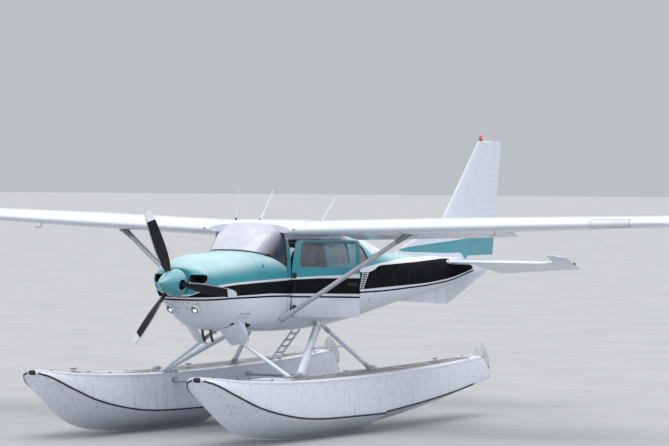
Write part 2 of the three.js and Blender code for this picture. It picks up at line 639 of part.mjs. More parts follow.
// Panes set in the side walls, half way through the wall
const PANE = 5;
const paneSkin = body(CABIN, CABIN_STATIONS, CABIN_WALL / 2 - PANE)
  .subtract(body(CABIN, ROOM_STATIONS, CABIN_WALL / 2));
const shrink = (corners, by) => {
  const middle = corners.reduce(([u, v], [a, b]) => [u + a / corners.length, v + b / corners.length], [0, 0]);
  return corners.map(([u, v]) => [u - Math.sign(u - middle[0]) * by, v - Math.sign(v - middle[1]) * by]);
};
const pane = (through, corners, radius) => paneSkin.intersect(through(shrink(corners, FIT), radius));
addPiece('left_middle_window', pane(throughLeft, MIDDLE_WINDOW, 60), 'glass');
addPiece('left_rear_window', pane(throughLeft, REAR_WINDOW, 70), 'glass');
addPiece('right_front_window', pane(throughRight, RIGHT_WINDOW, 60), 'glass');

// Pilot's door, hung on the hinge line at its front edge and standing open
const HINGE_X = sideAt(CABIN, DOOR_FRONT, -80) + 4;
const pilotDoor = new THREE.Group();
pilotDoor.position.set(HINGE_X, DOOR_FRONT, 0);
pilotDoor.rotation.z = -THREE.MathUtils.degToRad(PILOT_DOOR_OPEN);
hub.add(pilotDoor);
const atHinge = (solid, x, y) => toSolid(toGeometry(solid).translate(-x, -y, 0));
const doorSkin = cabinShell.intersect(box(0, 900, 600, 1700, -700, 700));
addPiece('pilot_door', atHinge(doorSkin.intersect(throughLeft(doorCorners(0), 46))
  .subtract(throughLeft(PILOT_WINDOW, 56)), HINGE_X, DOOR_FRONT), 'teal', pilotDoor);
const pilotPane = atHinge(pane(throughLeft, PILOT_WINDOW, 56), HINGE_X, DOOR_FRONT);
addPiece('pilot_door_window', pilotPane, 'glass', pilotDoor);

// Cargo doors on the right: the front one on its front edge, the rear one on its rear edge, both shut
const cargoSkin = cabinShell.intersect(box(-900, 0, 1500, 2900, -700, 700)).subtract(roofSpace);
addPiece('cargo_door_front', cargoSkin.intersect(throughRight(cargoFrontCorners(0), 36))
  .subtract(throughRight(CARGO_FRONT_WINDOW, 50)), 'teal');
addPiece('cargo_door_rear', cargoSkin.intersect(throughRight(cargoRearCorners(0), 36))
  .subtract(throughRight(CARGO_REAR_WINDOW, 50)), 'teal');
addPiece('cargo_front_window', pane(throughRight, CARGO_FRONT_WINDOW, 50), 'glass');
addPiece('cargo_rear_window', pane(throughRight, CARGO_REAR_WINDOW, 50), 'glass');

// Cabin fittings
addPiece('rear_bulkhead', body(CABIN, CABIN_STATIONS, CABIN_WALL + FIT)
  .intersect(slab(BULKHEAD_STATION, BULKHEAD_STATION + 14)), 'trim');

const PANEL = { front: 430, rear: 470, low: -140, high: 300 };
const panelPlate = body(COWL, BOOT_STATIONS, CABIN_WALL / 2 + FIT)
  .intersect(box(-600, 600, PANEL.front, PANEL.rear, PANEL.low, PANEL.high));
const yoke = (x) => join([
  bar([x, PANEL.rear - 5, 60], [x, PANEL.rear + 190, 60], 14, 10),
  bar([x - 130, PANEL.rear + 190, 60], [x + 130, PANEL.rear + 190, 60], 13, 8),
  bar([x - 130, PANEL.rear + 190, 52], [x - 118, PANEL.rear + 186, 150], 14, 8),
  bar([x + 130, PANEL.rear + 190, 52], [x + 118, PANEL.rear + 186, 150], 14, 8),
]);
addPiece('instrument_panel', join([panelPlate, yoke(-270), yoke(270)]), 'trim');

/** A seat as one closed solid: cushion, back and two runners on the floor. */
function seat({ x0, x1, front, top, runners, length }) {
  const side = roundedPolygon([
    [front, -300], [front + 500, -300], [front + 640, top], [front + 530, top + 12],
    [front + 400, -170], [front, -150]], 40);
  const runner = (x) => box(x - 15, x + 15, front + 50, front + 50 + length, FLOOR_HEIGHT + FIT, -290);
  return join([prism('x', side, x0, x1), ...runners.map(runner)]);
}
for (const [name, shape] of Object.entries({
  front_seat_left: { x0: 50, x1: 450, front: 930, top: 400, runners: [100, 380], length: 390 },
  front_seat_right: { x0: -450, x1: -50, front: 930, top: 400, runners: [-380, -100], length: 390 },
  middle_bench: { x0: -400, x1: 400, front: 1700, top: 340, runners: [-330, 330], length: 390 },
  rear_bench: { x0: -320, x1: 320, front: 2290, top: 200, runners: [-180, 180], length: 155 },
})) addPiece(name, seat(shape), 'seat');

// Tail cone, hollow and open at its front
const TAIL_STATIONS = [CABIN_REAR + FIT, 3480, 4070, 5000, 6000, 6600, TAIL_CONE_REAR];
const tailInside = body(CABIN, [CABIN_REAR - 5, 3480, 4070, 5000, 6000], TAIL_CONE_WALL);
const tailOutside = body(CABIN, TAIL_STATIONS);
const tailGrown = body(CABIN, TAIL_STATIONS, -FIT);

// Stabilizer and elevator

/** Leading edge station of the stabilizer at a distance from the middle. */
function stabilizerFront(x) {
  const straight = 5440 + 0.18 * x;
  const rounding = Math.max(0, (x - 1380) / (STABILIZER_HALF_SPAN - 1380));
  return straight + 190 * rounding ** 2.2;
}
const elevatorRear = (x) => 6690 - 0.195 * x;

/** Half thickness of a symmetrical tail section at a share of its chord. */
const tailThickness = (share, ratio) => 5 * ratio * (0.2969 * Math.sqrt(share) - 0.126 * share
  - 0.3516 * share ** 2 + 0.2843 * share ** 3 - 0.1015 * share ** 4);

const TAIL_THICKNESS = 0.072;
const TAIL_SHARES = [0, 0.03, 0.12, 0.3, 0.55, 0.8, 1];
function tailRing(x, front, rear, chord, z, ratio = 0.1) {
  const at = (share, side) => new THREE.Vector3(x, front + (rear - front) * share,
    z + side * chord * Math.max(tailThickness(((rear - front) * share) / chord, ratio), 0.002));
  return [...TAIL_SHARES.map((s) => at(s, 1)), ...TAIL_SHARES.slice(1).reverse().map((s) => at(s, -1))];
}
const STAB_X = [0, 700, 1300, 1420, 1475, STABILIZER_HALF_SPAN];
const TUBE_RADIUS = 16;
const ELEVATOR_AXIS = HINGE_STATION + 12;

/** Half thickness of the tail at the hinge line, which is also the radius of the elevator's nose. */
const elevatorNose = (x) => 34 - 0.0085 * x;
const stabilizerHalf = loft(STAB_X.map((x) => {
  const rear = ELEVATOR_AXIS - elevatorNose(x) - CLEARANCE - 1;
  const chord = elevatorRear(x) - stabilizerFront(x);
  return tailRing(x, stabilizerFront(x), rear, chord, STABILIZER_HEIGHT, TAIL_THICKNESS);
}));
const stabilizer = stabilizerHalf.add(mirrored(stabilizerHalf));

/** Elevator half: a round nose about the hinge, a wedge to the trailing edge, and a horn at the tip. */
function elevatorHalf() {
  const ring = (x, rear) => {
    const nose = elevatorNose(x);
    const round = [90, 130, 180, 230, 270].map((a) => THREE.MathUtils.degToRad(a))
      .map((a) => [nose * Math.cos(a), nose * Math.sin(a)]);
    return [...round, [rear - ELEVATOR_AXIS, -2.5], [rear - ELEVATOR_AXIS, 2.5]]
      .map(([y, z]) => new THREE.Vector3(x, ELEVATOR_AXIS + y, STABILIZER_HEIGHT + z));
  };
  const flat = loft([
    ring(165, HINGE_STATION + 240), ring(390, elevatorRear(390)),
    ring(1380, elevatorRear(1380)), ring(1700, elevatorRear(1700)), ring(ELEVATOR_HALF_SPAN, 6330),
  ]);
  const hornX = STABILIZER_HALF_SPAN + CLEARANCE + 2;
  const HORN = [[hornX, 0], [1640, 25], [ELEVATOR_HALF_SPAN, 110]];
  const horn = loft(HORN.map(([x, back]) => (
    tailRing(x, 5770 + back, HINGE_STATION + 60, 720 - back, STABILIZER_HEIGHT, 0.075))));
  return flat.add(horn);
}
const onElevatorAxis = (x) => [x, ELEVATOR_AXIS, STABILIZER_HEIGHT];
const torqueTube = bar(onElevatorAxis(-200), onElevatorAxis(200), TUBE_RADIUS, 12);
const elevatorLeft = elevatorHalf();
const elevatorPivot = new THREE.Group();
elevatorPivot.position.set(0, ELEVATOR_AXIS, STABILIZER_HEIGHT);
elevatorPivot.rotation.x = -THREE.MathUtils.degToRad(ELEVATOR_REST);
hub.add(elevatorPivot);
const elevator = join([elevatorLeft, mirrored(elevatorLeft), torqueTube]);
const elevatorAtPivot = toSolid(toGeometry(elevator).translate(0, -ELEVATOR_AXIS, -STABILIZER_HEIGHT));
addPiece('elevator', elevatorAtPivot, 'white', elevatorPivot);

// The stabilizer sits in a seat cut in the tail cone, and the torque tube turns in a wider hole
const stabilizerSpace = toSolid(toGeometry(stabilizerHalf.intersect(box(-10, 300, 5000, 6200, 0, 300))
  .add(mirrored(stabilizerHalf).intersect(box(-300, 10, 5000, 6200, 0, 300))))
  .translate(0, -5760, -STABILIZER_HEIGHT).scale(1, 1.002, 1.012).translate(0, 5760, STABILIZER_HEIGHT));
const tubeHole = bar(onElevatorAxis(-300), onElevatorAxis(300), bearing(TUBE_RADIUS), BEARING_SIDES);
addPiece('stabilizer', stabilizer, 'white');

// Fin, dorsal fin and rudder. The rudder's hinge line leans back with the fin.
const RUDDER_HINGE = { foot: [6262, FIN_FOOT_HEIGHT], top: [6965, FIN_TOP_HEIGHT] };
const finFront = (z) => 5030 + 0.952 * (z - FIN_FOOT_HEIGHT);
const rudderRear = (z) => 7040 + 0.1476 * (z - FIN_FOOT_HEIGHT);
const hingeAt = (z) => {
  const { foot, top } = RUDDER_HINGE;
  return THREE.MathUtils.mapLinear(z, foot[1], top[1], foot[0], top[0]);
};
const FIN_THICKNESS = 0.05;

/** Half thickness of the fin at the hinge line, which is also the radius of the rudder's nose. */
function rudderNose(z) {
  const chord = rudderRear(z) - finFront(z);
  return chord * tailThickness((hingeAt(z) - finFront(z)) / chord, FIN_THICKNESS);
}
function finRing(z, front, rear) {
  const chord = rudderRear(z) - finFront(z);
  const at = (share, side) => {
    const station = front + (rear - front) * share;
    const half = chord * Math.max(tailThickness((station - finFront(z)) / chord, FIN_THICKNESS), 0.0025);
    return new THREE.Vector3(side * half, station, z);
  };
  return [...TAIL_SHARES.map((s) => at(s, 1)), ...TAIL_SHARES.slice(1).reverse().map((s) => at(s, -1))];
}
const FIN_HEIGHTS = [20, 700, 1560, 1760, FIN_TOP_HEIGHT];
const finRear = (z) => hingeAt(z) - rudderNose(z) - CLEARANCE - 3;
const finBlade = loft(FIN_HEIGHTS.map((z, i) => finRing(z, finFront(z) + (i === 4 ? 40 : 0), finRear(z))));
const DORSAL = [[3950, 100, 8], [4400, 320, 13], [5000, 505, 20], [5580, 712, 30], [5900, 720, 34]];
const dorsal = loft(DORSAL.map(([y, top, half]) => [
  new THREE.Vector3(half, y, 60), new THREE.Vector3(half * 0.8, y, top - 14), new THREE.Vector3(0, y, top),
  new THREE.Vector3(-half * 0.8, y, top - 14), new THREE.Vector3(-half, y, 60)]));
addPiece('fin', finBlade.add(dorsal).subtract(tailGrown).subtract(below(130)).subtract(
  toSolid(toGeometry(stabilizer).translate(0, 0, FIT))), 'white');
const RUDDER_FOOT = 196;
const PIN_RADIUS = 7;
const rudderRing = (z) => {
  const nose = rudderNose(z);
  const round = [90, 130, 180, 230, 270].map((a) => THREE.MathUtils.degToRad(a))
    .map((a) => [nose * Math.cos(a), nose * Math.sin(a)]);
  const run = rudderRear(z) - hingeAt(z);
  return [...round, [run, -2.5], [run, 2.5]].map(([y, x]) => new THREE.Vector3(x, hingeAt(z) + y, z));
};
const rudderPin = (from, to, radius, sides) => (
  bar([0, hingeAt(from), from], [0, hingeAt(to), to], radius, sides));
addPiece('rudder', loft([RUDDER_FOOT, 700, 1560, 1760, FIN_TOP_HEIGHT].map(rudderRing))
  .add(rudderPin(130, RUDDER_FOOT + 20, PIN_RADIUS, 12)), 'white');
addPiece('tail_cone', tailOutside.subtract(tailInside).subtract(stabilizerSpace).subtract(tubeHole)
  .subtract(rudderPin(126, 400, bearing(PIN_RADIUS), BEARING_SIDES)), 'white');
addPiece('beacon', toSolid(new THREE.LatheGeometry([[0, 0], [26, 0], [26, 30], [22, 55], [12, 72], [0, 78]]
  .map(([r, h]) => new THREE.Vector2(r, h)), 10)
  .rotateX(Math.PI / 2).translate(0, 6672, FIN_TOP_HEIGHT + FIT)), 'red');

// Ventral fin under the tail cone
const VENTRAL = [[4180, -300], [4180, -372], [5700, -465], [6835, -48], [6835, 0]];
addPiece('ventral_fin', prism('x', new THREE.Shape(VENTRAL.map(([u, v]) => new THREE.Vector2(u, v))), -14, 14)
  .subtract(tailGrown), 'white');

// Wings, each with its flap and aileron cut out
const WING_X = [WING_ROOT_X, WING_BREAK_X, 2990, AILERON.to, 5480, 5590, WING_TIP_X];
const tipRound = { 5480: [1, 0], 5590: [0.8, 0.05], [WING_TIP_X]: [0.35, 0.16] };
const wingBlank = loft(WING_X.map((x) => {
  const [flatten, cut] = tipRound[x] ?? [1, 0];
  const { chord } = wingAt(x);
  return wingRing(x, CHORD_SHARES, flatten).map((p) => {
    const { front } = wingAt(x);
    const share = (p.y - front) / chord;
    return new THREE.Vector3(p.x, front + chord * (cut + share * (1 - cut * 1.5)), p.z - (1 - flatten) * 22);
  });
}));

const STRUT = { foot: [505, 570, -492], top: [2085, 930, 580], chord: 118, thickness: 56 };

/** Height of the wing's middle and its half thickness at a share of the chord, in shares of the chord. */
function middleAt(share) {
  const { upper, lower } = airfoilAt(share);
  return { middle: (upper + lower) / 2, half: (upper - lower) / 2 };
}

/** A flap or aileron: a round nose about its hinge, then the wing's own surfaces to the trailing edge. */
function controlSurface(x0, x1, share) {
  const ring = (x) => {
    const { chord } = wingAt(x);
    const { middle, half } = middleAt(share);
    const nose = [-90, -130, -180, -230, -270].map((a) => THREE.MathUtils.degToRad(a))
      .map((a) => wingPoint(x, share + half * Math.cos(a), middle + half * Math.sin(a)));
    const rear = [share + 60 / chord, 0.86, 1];
    const top = rear.map((s) => wingPoint(x, s, airfoilAt(s).upper + TRAILING_EDGE * s - 0.0006));
    const bottom = rear.reverse().map((s) => (
      wingPoint(x, s, airfoilAt(s).lower - TRAILING_EDGE * s + 0.0006)));
    return [...nose, ...top, ...bottom];
  };
  return loft([ring(x0), ring((x0 + x1) / 2), ring(x1)]);
}
const hingeLine = ({ from, to, hinge }) => [from, to].map((x) => wingPoint(x, hinge, middleAt(hinge).middle));

/** The room for a control surface: the wing behind its nose, with the gap ahead of it. */
function controlSpace({ from, to, hinge }, gap) {
  const ring = (x) => {
    const front = hinge - middleAt(hinge).half - gap / wingAt(x).chord;
    const corners = [[front, 0.12], [1.1, 0.12], [1.1, -0.12], [front, -0.12]];
    return corners.map(([s, rise]) => wingPoint(x, s, rise));
  };
  return loft([ring(from - gap), ring(to + gap)]);
}

/** A pin on the hinge line at both ends of a control surface, reaching into the wing. */
function hingePins([a, b], reachIn, reachOut, radius, sides) {
  const along = b.clone().sub(a).normalize();
  const at = (p, distance) => p.clone().addScaledVector(along, distance).toArray();
  return bar(at(a, -reachIn), at(a, 12), radius, sides).add(bar(at(b, -12), at(b, reachOut), radius, sides));
}
const [flapA, flapB] = hingeLine(FLAP);
const flapAxis = flapB.clone().sub(flapA).normalize();
const flap = turned(controlSurface(FLAP.from, FLAP.to, FLAP.hinge), flapAxis, -FLAP.rest, flapA.toArray())
  .add(hingePins([flapA, flapB], 28, 26, PIN_RADIUS, 12));
const aileronLine = hingeLine(AILERON);
const aileron = controlSurface(AILERON.from, AILERON.to, AILERON.hinge)
  .add(hingePins(aileronLine, 20, 24, PIN_RADIUS, 12));
const wingSolid = wingBlank
  .subtract(controlSpace(FLAP, 12))
  .subtract(controlSpace(AILERON, 10))
  .subtract(hingePins([flapA, flapB], 30, 28, bearing(PIN_RADIUS), BEARING_SIDES))
  .subtract(hingePins(aileronLine, 22, 26, bearing(PIN_RADIUS), BEARING_SIDES));
const strutLine = strut(STRUT.foot, STRUT.top, STRUT.chord, STRUT.thickness);
const strutTop = box(2030, 2140, 880, 985, 560, 640);
const wingUnder = toSolid(toGeometry(wingBlank).translate(0, 0, -FIT));
const strutSolid = join([strutLine, strutTop]).subtract(wingUnder).intersect(below(600))
  .subtract(body(CABIN, CABIN_STATIONS, -FIT)).subtract(body(COWL, [12, 200, 400, PILLAR_STATION], -FIT));
for (const [side, place] of [[1, 'left'], [-1, 'right']]) {
  const at = (solid) => (side > 0 ? solid : mirrored(solid));
  addPiece(`wing_${place}`, at(wingSolid), 'white');
  addPiece(`flap_${place}`, at(flap), 'white');
  addPiece(`aileron_${place}`, at(aileron), 'white');
  addPiece(`wing_strut_${place}`, at(strutSolid), 'grey');
}

// Floats

// Station, keel, chine and deck edge heights, half breadths at chine and deck edge, deck crown
const FOREBODY = [
  [-2350, -1085, -1068, -1050, 45, 38, -1034],
  [-2250, -1240, -1120, -1058, 190, 168, -1034],
  [-2000, -1490, -1250, -1090, 300, 280, -1060],
  [-1500, -1740, -1435, -1130, 365, 340, -1102],
  [-800, -1852, -1575, -1165, 385, 355, -1137],
  [-200, -1880, -1630, -1182, 385, 355, -1156],
  [800, -1880, -1650, -1188, 385, 350, -1162],
  [1360, -1880, -1655, -1182, 380, 345, -1157],
];
const AFTERBODY = [
  [1360, -1815, -1640, -1182, 375, 345, -1157],
  [2200, -1745, -1585, -1168, 350, 325, -1143],
  [3000, -1655, -1525, -1146, 300, 280, -1121],
  [3800, -1545, -1450, -1118, 228, 212, -1094],
  [4330, -1405, -1372, -1100, 160, 156, -1078],
];
/** How far a point of the leaning transom stands behind its top edge. */
const transomAt = (z) => TRANSOM.top + Math.max(0, TRANSOM.height - z) * TRANSOM.lean;
const floatRing = ([y, keel, chine, edge, chineHalf, edgeHalf, crown]) => [
  [0, keel], [chineHalf, chine], [chineHalf + 6, chine + 18], [edgeHalf, edge],
  [edgeHalf * 0.82, edge + (crown - edge) * 0.72], [0, crown],
  [-edgeHalf * 0.82, edge + (crown - edge) * 0.72], [-edgeHalf, edge],
  [-chineHalf - 6, chine + 18], [-chineHalf, chine],
].map(([x, z]) => new THREE.Vector3(FLOAT_X + x, y < TRANSOM.top ? y : transomAt(z), z));
const afterRings = AFTERBODY.map(floatRing);
afterRings[0] = afterRings[0].map((p) => p.clone().setY(STEP_STATION - 1));
const hull = loft(FOREBODY.map(floatRing)).add(loft(afterRings));
const deckAt = (station) => {
  const rows = [...FOREBODY, ...AFTERBODY];
  const i = rows.findIndex((row) => row[0] >= station);
  return THREE.MathUtils.mapLinear(station, rows[i - 1][0], rows[i][0], rows[i - 1][6], rows[i][6]);
};

// Mooring cleats: a pad with a flat top and a horned bar, three on each float
const CLEATS = [-1500, 1020, 3300];
const cleat = (y) => join([
  box(FLOAT_X - 45, FLOAT_X + 45, y - 90, y + 90, deckAt(y) - 30, deckAt(y) + 12),
  box(FLOAT_X - 8, FLOAT_X + 8, y - 30, y + 30, deckAt(y) + 5, deckAt(y) + 45),
  bar([FLOAT_X, y - 80, deckAt(y) + 48], [FLOAT_X, y + 80, deckAt(y) + 48], 9, 6),
]);
const POST = { y: 4650, low: -1368, high: -1232, radius: 12 };
const bracket = (z) => box(FLOAT_X - 30, FLOAT_X + 30, transomAt(z) - 25, POST.y + 24, z - 8, z + 8)
  .subtract(bar([FLOAT_X, POST.y, z - 20], [FLOAT_X, POST.y, z + 20], bearing(POST.radius), BEARING_SIDES));
const floatSolid = join([hull, ...CLEATS.map(cleat), bracket(-1350), bracket(-1252)]);

// Each spreader bar runs between the floats' inner sides
const innerFace = (station) => {
  const rows = [...FOREBODY, ...AFTERBODY];
  const i = rows.findIndex((row) => row[0] >= station);
  return FLOAT_X - THREE.MathUtils.mapLinear(station, rows[i - 1][0], rows[i][0], rows[i - 1][5], rows[i][5]);
};
const spreaderSpace = toSolid(toGeometry(hull).translate(-FIT, 0, 0));
for (const [name, station] of [['spreader_bar_front', FRONT_FITTING], ['spreader_bar_rear', REAR_FITTING]]) {
  const half = innerFace(station) + 40;
  addPiece(name, strut([-half, station, SPREADER_HEIGHT], [half, station, SPREADER_HEIGHT], 90, 46)
    .subtract(spreaderSpace).subtract(mirrored(spreaderSpace)), 'grey');
}

// Float struts of one side with their fittings: front, diagonal and rear strut
const FRONT_HARDPOINT = [115, -18, -640];
const REAR_HARDPOINT = [485, 1514, -560];
const frontFoot = [FITTING_X, 88, -1248];
const rearFoot = [FITTING_X, 1886, -1151];
const plate = ([x, y], z0, z1, long = 90, wide = 45) => box(x - wide, x + wide, y - long, y + long, z0, z1);
const onDeck = (station) => [deckAt(station) - 40, deckAt(station) + 22];
const strutSet = (stepped) => {
  const [x, y, z] = REAR_HARDPOINT;
  const pieces = [
    strut(FRONT_HARDPOINT, frontFoot, 84, 44),
    strut([x, y - 20, z], frontFoot, 104, 56),
    strut([x, y + 20, z], rearFoot, 96, 50),
    plate([940, 175], ...onDeck(175), 175, 85),
    plate([FITTING_X, 1886], ...onDeck(1886)),
    plate(FRONT_HARDPOINT, -690, -560, 50, 30),
    plate(REAR_HARDPOINT, -600, -500, 90, 40),
  ];
  if (stepped) pieces.push(bar([748, 853, -846], [748, 1730, -846], 16, 10));
  return join(pieces);
};
const grownFuselage = join([
  body(COWL, [-340, -300, 0, 12, 200, 400, PILLAR_STATION], -FIT),
  body(CABIN, CABIN_STATIONS, -FIT),
]);
for (const [side, place] of [[1, 'left'], [-1, 'right']]) {
  const at = (solid) => (side > 0 ? solid : mirrored(solid));
  const hullSpace = toSolid(toGeometry(hull).translate(0, 0, FIT));
  addPiece(`float_${place}`, at(floatSolid), 'white');
  const struts = strutSet(side > 0).subtract(hullSpace).subtract(grownFuselage);
  addPiece(`float_struts_${place}`, at(struts), 'grey');
}

// Boarding ladder from the right float's deck to two arms under the belly
const LADDER = {
  foot: [-985, 2820, deckAt(2820) + 6], head: [-420, 2430, -706], arm: -470, rungs: 3, half: 90,
};
const ladderPoint = (t, dy) => {
  const [x, y, z] = [0, 1, 2].map((k) => THREE.MathUtils.lerp(LADDER.foot[k], LADDER.head[k], t));
  return [x, y + dy, z];
};
const ladderSide = (dy) => {
  const [x, y, z] = ladderPoint(1, dy);
  const arm = box(x - 14, x + 14, y - 17, y + 17, z - 10, LADDER.arm);
  return strut(ladderPoint(0, dy), [x, y, z], 34, 24).add(arm);
};
const ladderRungs = Array.from({ length: LADDER.rungs + 1 }, (_, i) => {
  const t = (i + 1) / (LADDER.rungs + 1);
  return bar(ladderPoint(t, -LADDER.half), ladderPoint(t, LADDER.half), 12, 8);
});
addPiece('boarding_ladder', join([ladderSide(-LADDER.half), ladderSide(LADDER.half), ...ladderRungs])
  .subtract(grownFuselage).subtract(mirrored(toSolid(toGeometry(hull).translate(0, 0, FIT)))), 'grey');

// Water rudders: a post that steers in the transom's brackets, with a fork round the blade.
// The blade lies up at rest, leaning forward over the float's stern.
const BLADE_PIVOT = { y: 4738, z: -1245, radius: 8 };
const onBladePivot = (reach) => [FLOAT_X + reach, BLADE_PIVOT.y, BLADE_PIVOT.z];
const across = (reach, radius, sides) => bar(onBladePivot(-reach), onBladePivot(reach), radius, sides);
const FORK = [
  [4650, -1330], [4720, -1296], [4762, -1262], [4762, -1226], [4716, -1226], [4690, -1268], [4650, -1268],
];
const post = join([
  bar([FLOAT_X, POST.y, POST.low], [FLOAT_X, POST.y, POST.high], POST.radius, 12),
  bar([FLOAT_X, POST.y, -1335], [FLOAT_X, POST.y, -1266], 22, 12),
  prism('x', FORK, FLOAT_X - 21, FLOAT_X - 11),
  prism('x', FORK, FLOAT_X + 11, FLOAT_X + 21),
]).subtract(across(40, bearing(BLADE_PIVOT.radius), BEARING_SIDES));

/** Blade outline from its lowest point, as distances aft and up. */
const BLADE_OUTLINE = [
  [-223, 394], [-345, 324], [-325, 189], [-112, 79], [0, 0], [59, 54], [47, 139], [-62, 275],
];
const bladeCorners = BLADE_OUTLINE.map(([y, z]) => [BLADE_PIVOT.y + y, BLADE_PIVOT.z - 27 + z]);
const bladeOutline = roundedPolygon(bladeCorners, 16);
const waterBlade = prism('x', bladeOutline, FLOAT_X - 5, FLOAT_X + 5).add(across(24, BLADE_PIVOT.radius, 12));
for (const [side, place] of [[1, 'left'], [-1, 'right']]) {
  const at = (solid) => (side > 0 ? solid : mirrored(solid));
  addPiece(`water_rudder_post_${place}`, at(post), 'grey');
  addPiece(`water_rudder_${place}`, at(waterBlade), 'white');
}

export default airframe;
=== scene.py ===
"""Looks of a high-wing light floatplane parked on its floats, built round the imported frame.

Sizes are millimetres in the tables and metres in the code. Shapes are worked out in the aircraft
frame (x to the aircraft's left, y aft of the firewall, z above the propeller axis) and moved to
the frame's own axes when a mesh is made.
"""
from __future__ import annotations

import logging
import math
from dataclasses import dataclass, field
from enum import Enum
from functools import cache
from typing import Callable, Sequence

import bpy
import numpy as np
from mathutils import Matrix, Vector


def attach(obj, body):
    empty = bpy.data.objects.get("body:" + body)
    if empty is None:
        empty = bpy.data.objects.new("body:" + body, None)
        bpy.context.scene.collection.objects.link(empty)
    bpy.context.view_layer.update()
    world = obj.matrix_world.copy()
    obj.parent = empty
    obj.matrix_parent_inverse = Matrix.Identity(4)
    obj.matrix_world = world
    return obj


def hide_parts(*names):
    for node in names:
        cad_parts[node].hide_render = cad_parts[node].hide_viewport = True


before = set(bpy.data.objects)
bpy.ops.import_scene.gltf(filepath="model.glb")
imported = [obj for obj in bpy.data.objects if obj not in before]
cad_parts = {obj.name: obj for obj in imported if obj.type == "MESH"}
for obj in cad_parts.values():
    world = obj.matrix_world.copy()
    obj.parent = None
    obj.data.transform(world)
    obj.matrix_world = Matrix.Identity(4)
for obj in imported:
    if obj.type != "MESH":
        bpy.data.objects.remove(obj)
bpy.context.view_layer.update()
LOG = logging.getLogger("floatplane")

Array = np.ndarray
Outline = Sequence[Sequence[float]]
TO_ROW = np.array([0.0, -2.467, 1.88])
MM = 0.001
# Clearance at a joint between panels, then the joints: stations of the cowling's front, the boot
# cowl's front and rear, the side walls' front, the rear roof's front and the tail cone's front
FIT = 0.0003
BOWL_REAR, BOOT_FRONT, BOOT_REAR, WALL_FRONT, REAR_ROOF_FRONT, CONE_FRONT = (
    -0.880, 0.012, 0.625, 0.631, 2.2403, 3.000)
# Heights of the cowling's split, of the walls' lower edge and of the rear roof's lowest edge, and
# half the rear roof's width
COWL_SPLIT, SILL, ROOF_FOOT, REAR_ROOF_HALF = -0.060, -0.520, 0.120, 0.330


# Fuselage sections: station, half width, height of the widest place, top, bottom, and the
# exponents of the rounded outline above and below the widest place
COWL_ROWS = [
    [-1000, 283, 15, 186, -135, 2.2, 2.0],
    [-940, 372, 5, 240, -230, 2.3, 1.85],
    [-820, 432, -15, 290, -385, 2.4, 1.9],
    [-600, 472, -30, 335, -535, 2.5, 2.15],
    [-300, 503, -45, 360, -600, 2.7, 2.7],
    [0, 535, -60, 368, -622, 3.2, 3.3],
    [340, 553, -70, 370, -632, 3.4, 3.4],
    [630, 562, -75, 370, -645, 3.1, 3.5],
]
CABIN_ROWS = [
    [0, 535, -60, 600, -622, 3.0, 3.3],
    [340, 553, -70, 690, -632, 3.0, 3.4],
    [630, 562, -75, 735, -645, 3.0, 3.5],
    [1100, 570, -80, 748, -652, 3.0, 3.5],
    [1600, 568, -80, 738, -640, 3.0, 3.5],
    [2000, 556, -75, 700, -622, 3.0, 3.4],
    [2240, 544, -70, 662, -604, 2.9, 3.2],
    [2540, 518, -60, 612, -582, 2.8, 3.0],
    [2780, 492, -50, 566, -558, 2.7, 2.8],
    [3000, 462, -45, 514, -534, 2.6, 2.7],
    [3480, 382, -35, 378, -482, 2.4, 2.4],
    [4070, 300, -30, 272, -404, 2.2, 2.3],
    [5000, 205, -10, 222, -284, 2.1, 2.2],
    [6000, 115, 20, 182, -160, 2.1, 2.1],
    [6600, 66, 30, 122, -88, 2.0, 2.0],
    [6850, 36, 20, 76, -40, 2.0, 2.0],
]


class Side(Enum):
    """The aircraft's left or right, as the sign of x."""

    LEFT = 1
    RIGHT = -1

    @property
    def word(self) -> str:
        """The side's name in lower case."""
        return self.name.lower()

    def of(self, patch: Patch) -> Patch:
        """A patch made for the left, on this side."""
        return patch if self is Side.LEFT else patch.mirrored()


# Curves and surfaces


def table(rows: Outline, lengths: int) -> Array:
    """Turns the first columns of a millimetre table into metres.

    Args:
        rows: the table's rows.
        lengths: how many leading columns are lengths.

    Returns:
        The table as an array, its other columns unchanged.
    """
    out = np.array(rows, float)
    out[:, :lengths] *= MM
    return out


def unit(v: Array) -> Array:
    """A vector, or each row of an array, scaled to length one."""
    return v / (np.linalg.norm(v, axis=-1, keepdims=True) if v.ndim > 1 else np.linalg.norm(v))


def smooth_rows(rows: Array, at: Array) -> Array:
    """Hermite curves through a table's rows, with each row's slope taken across its neighbours.

    Args:
        rows: the table, its first column rising.
        at: where to read it.

    Returns:
        One row of the table for each value of at.
    """
    at = np.asarray(at, float)
    i = np.clip(np.searchsorted(rows[:, 0], at, "left"), 1, len(rows) - 1)
    low, high = rows[i - 1], rows[i]
    before, after = rows[np.maximum(i - 2, 0)], rows[np.minimum(i + 1, len(rows) - 1)]
    span = (high[..., 0] - low[..., 0])[..., None]
    t = np.clip((at[..., None] - low[..., :1]) / span, 0, 1)
    start = span * (high - before) / (high[..., :1] - before[..., :1])
    end = span * (after - low) / (after[..., :1] - low[..., :1])
    return ((2 * t**3 - 3 * t**2 + 1) * low + (t**3 - 2 * t**2 + t) * start
            + (3 * t**2 - 2 * t**3) * high + (t**3 - t**2) * end)


def turned(points: Array, axis: Sequence[float], degrees: float, about: Sequence[float]) -> Array:
    """Turns points round an axis by the right hand rule.

    Args:
        points: array whose last dimension is 3.
        axis: the axis' direction.
        degrees: the angle.
        about: a point on the axis.

    Returns:
        The turned points.
    """
    k = unit(np.asarray(axis, float))
    p = points - np.asarray(about, float)
    a = math.radians(degrees)
    dot = (p @ k)[..., None] * k
    return dot + (p - dot) * math.cos(a) + np.cross(k, p) * math.sin(a) + np.asarray(about, float)


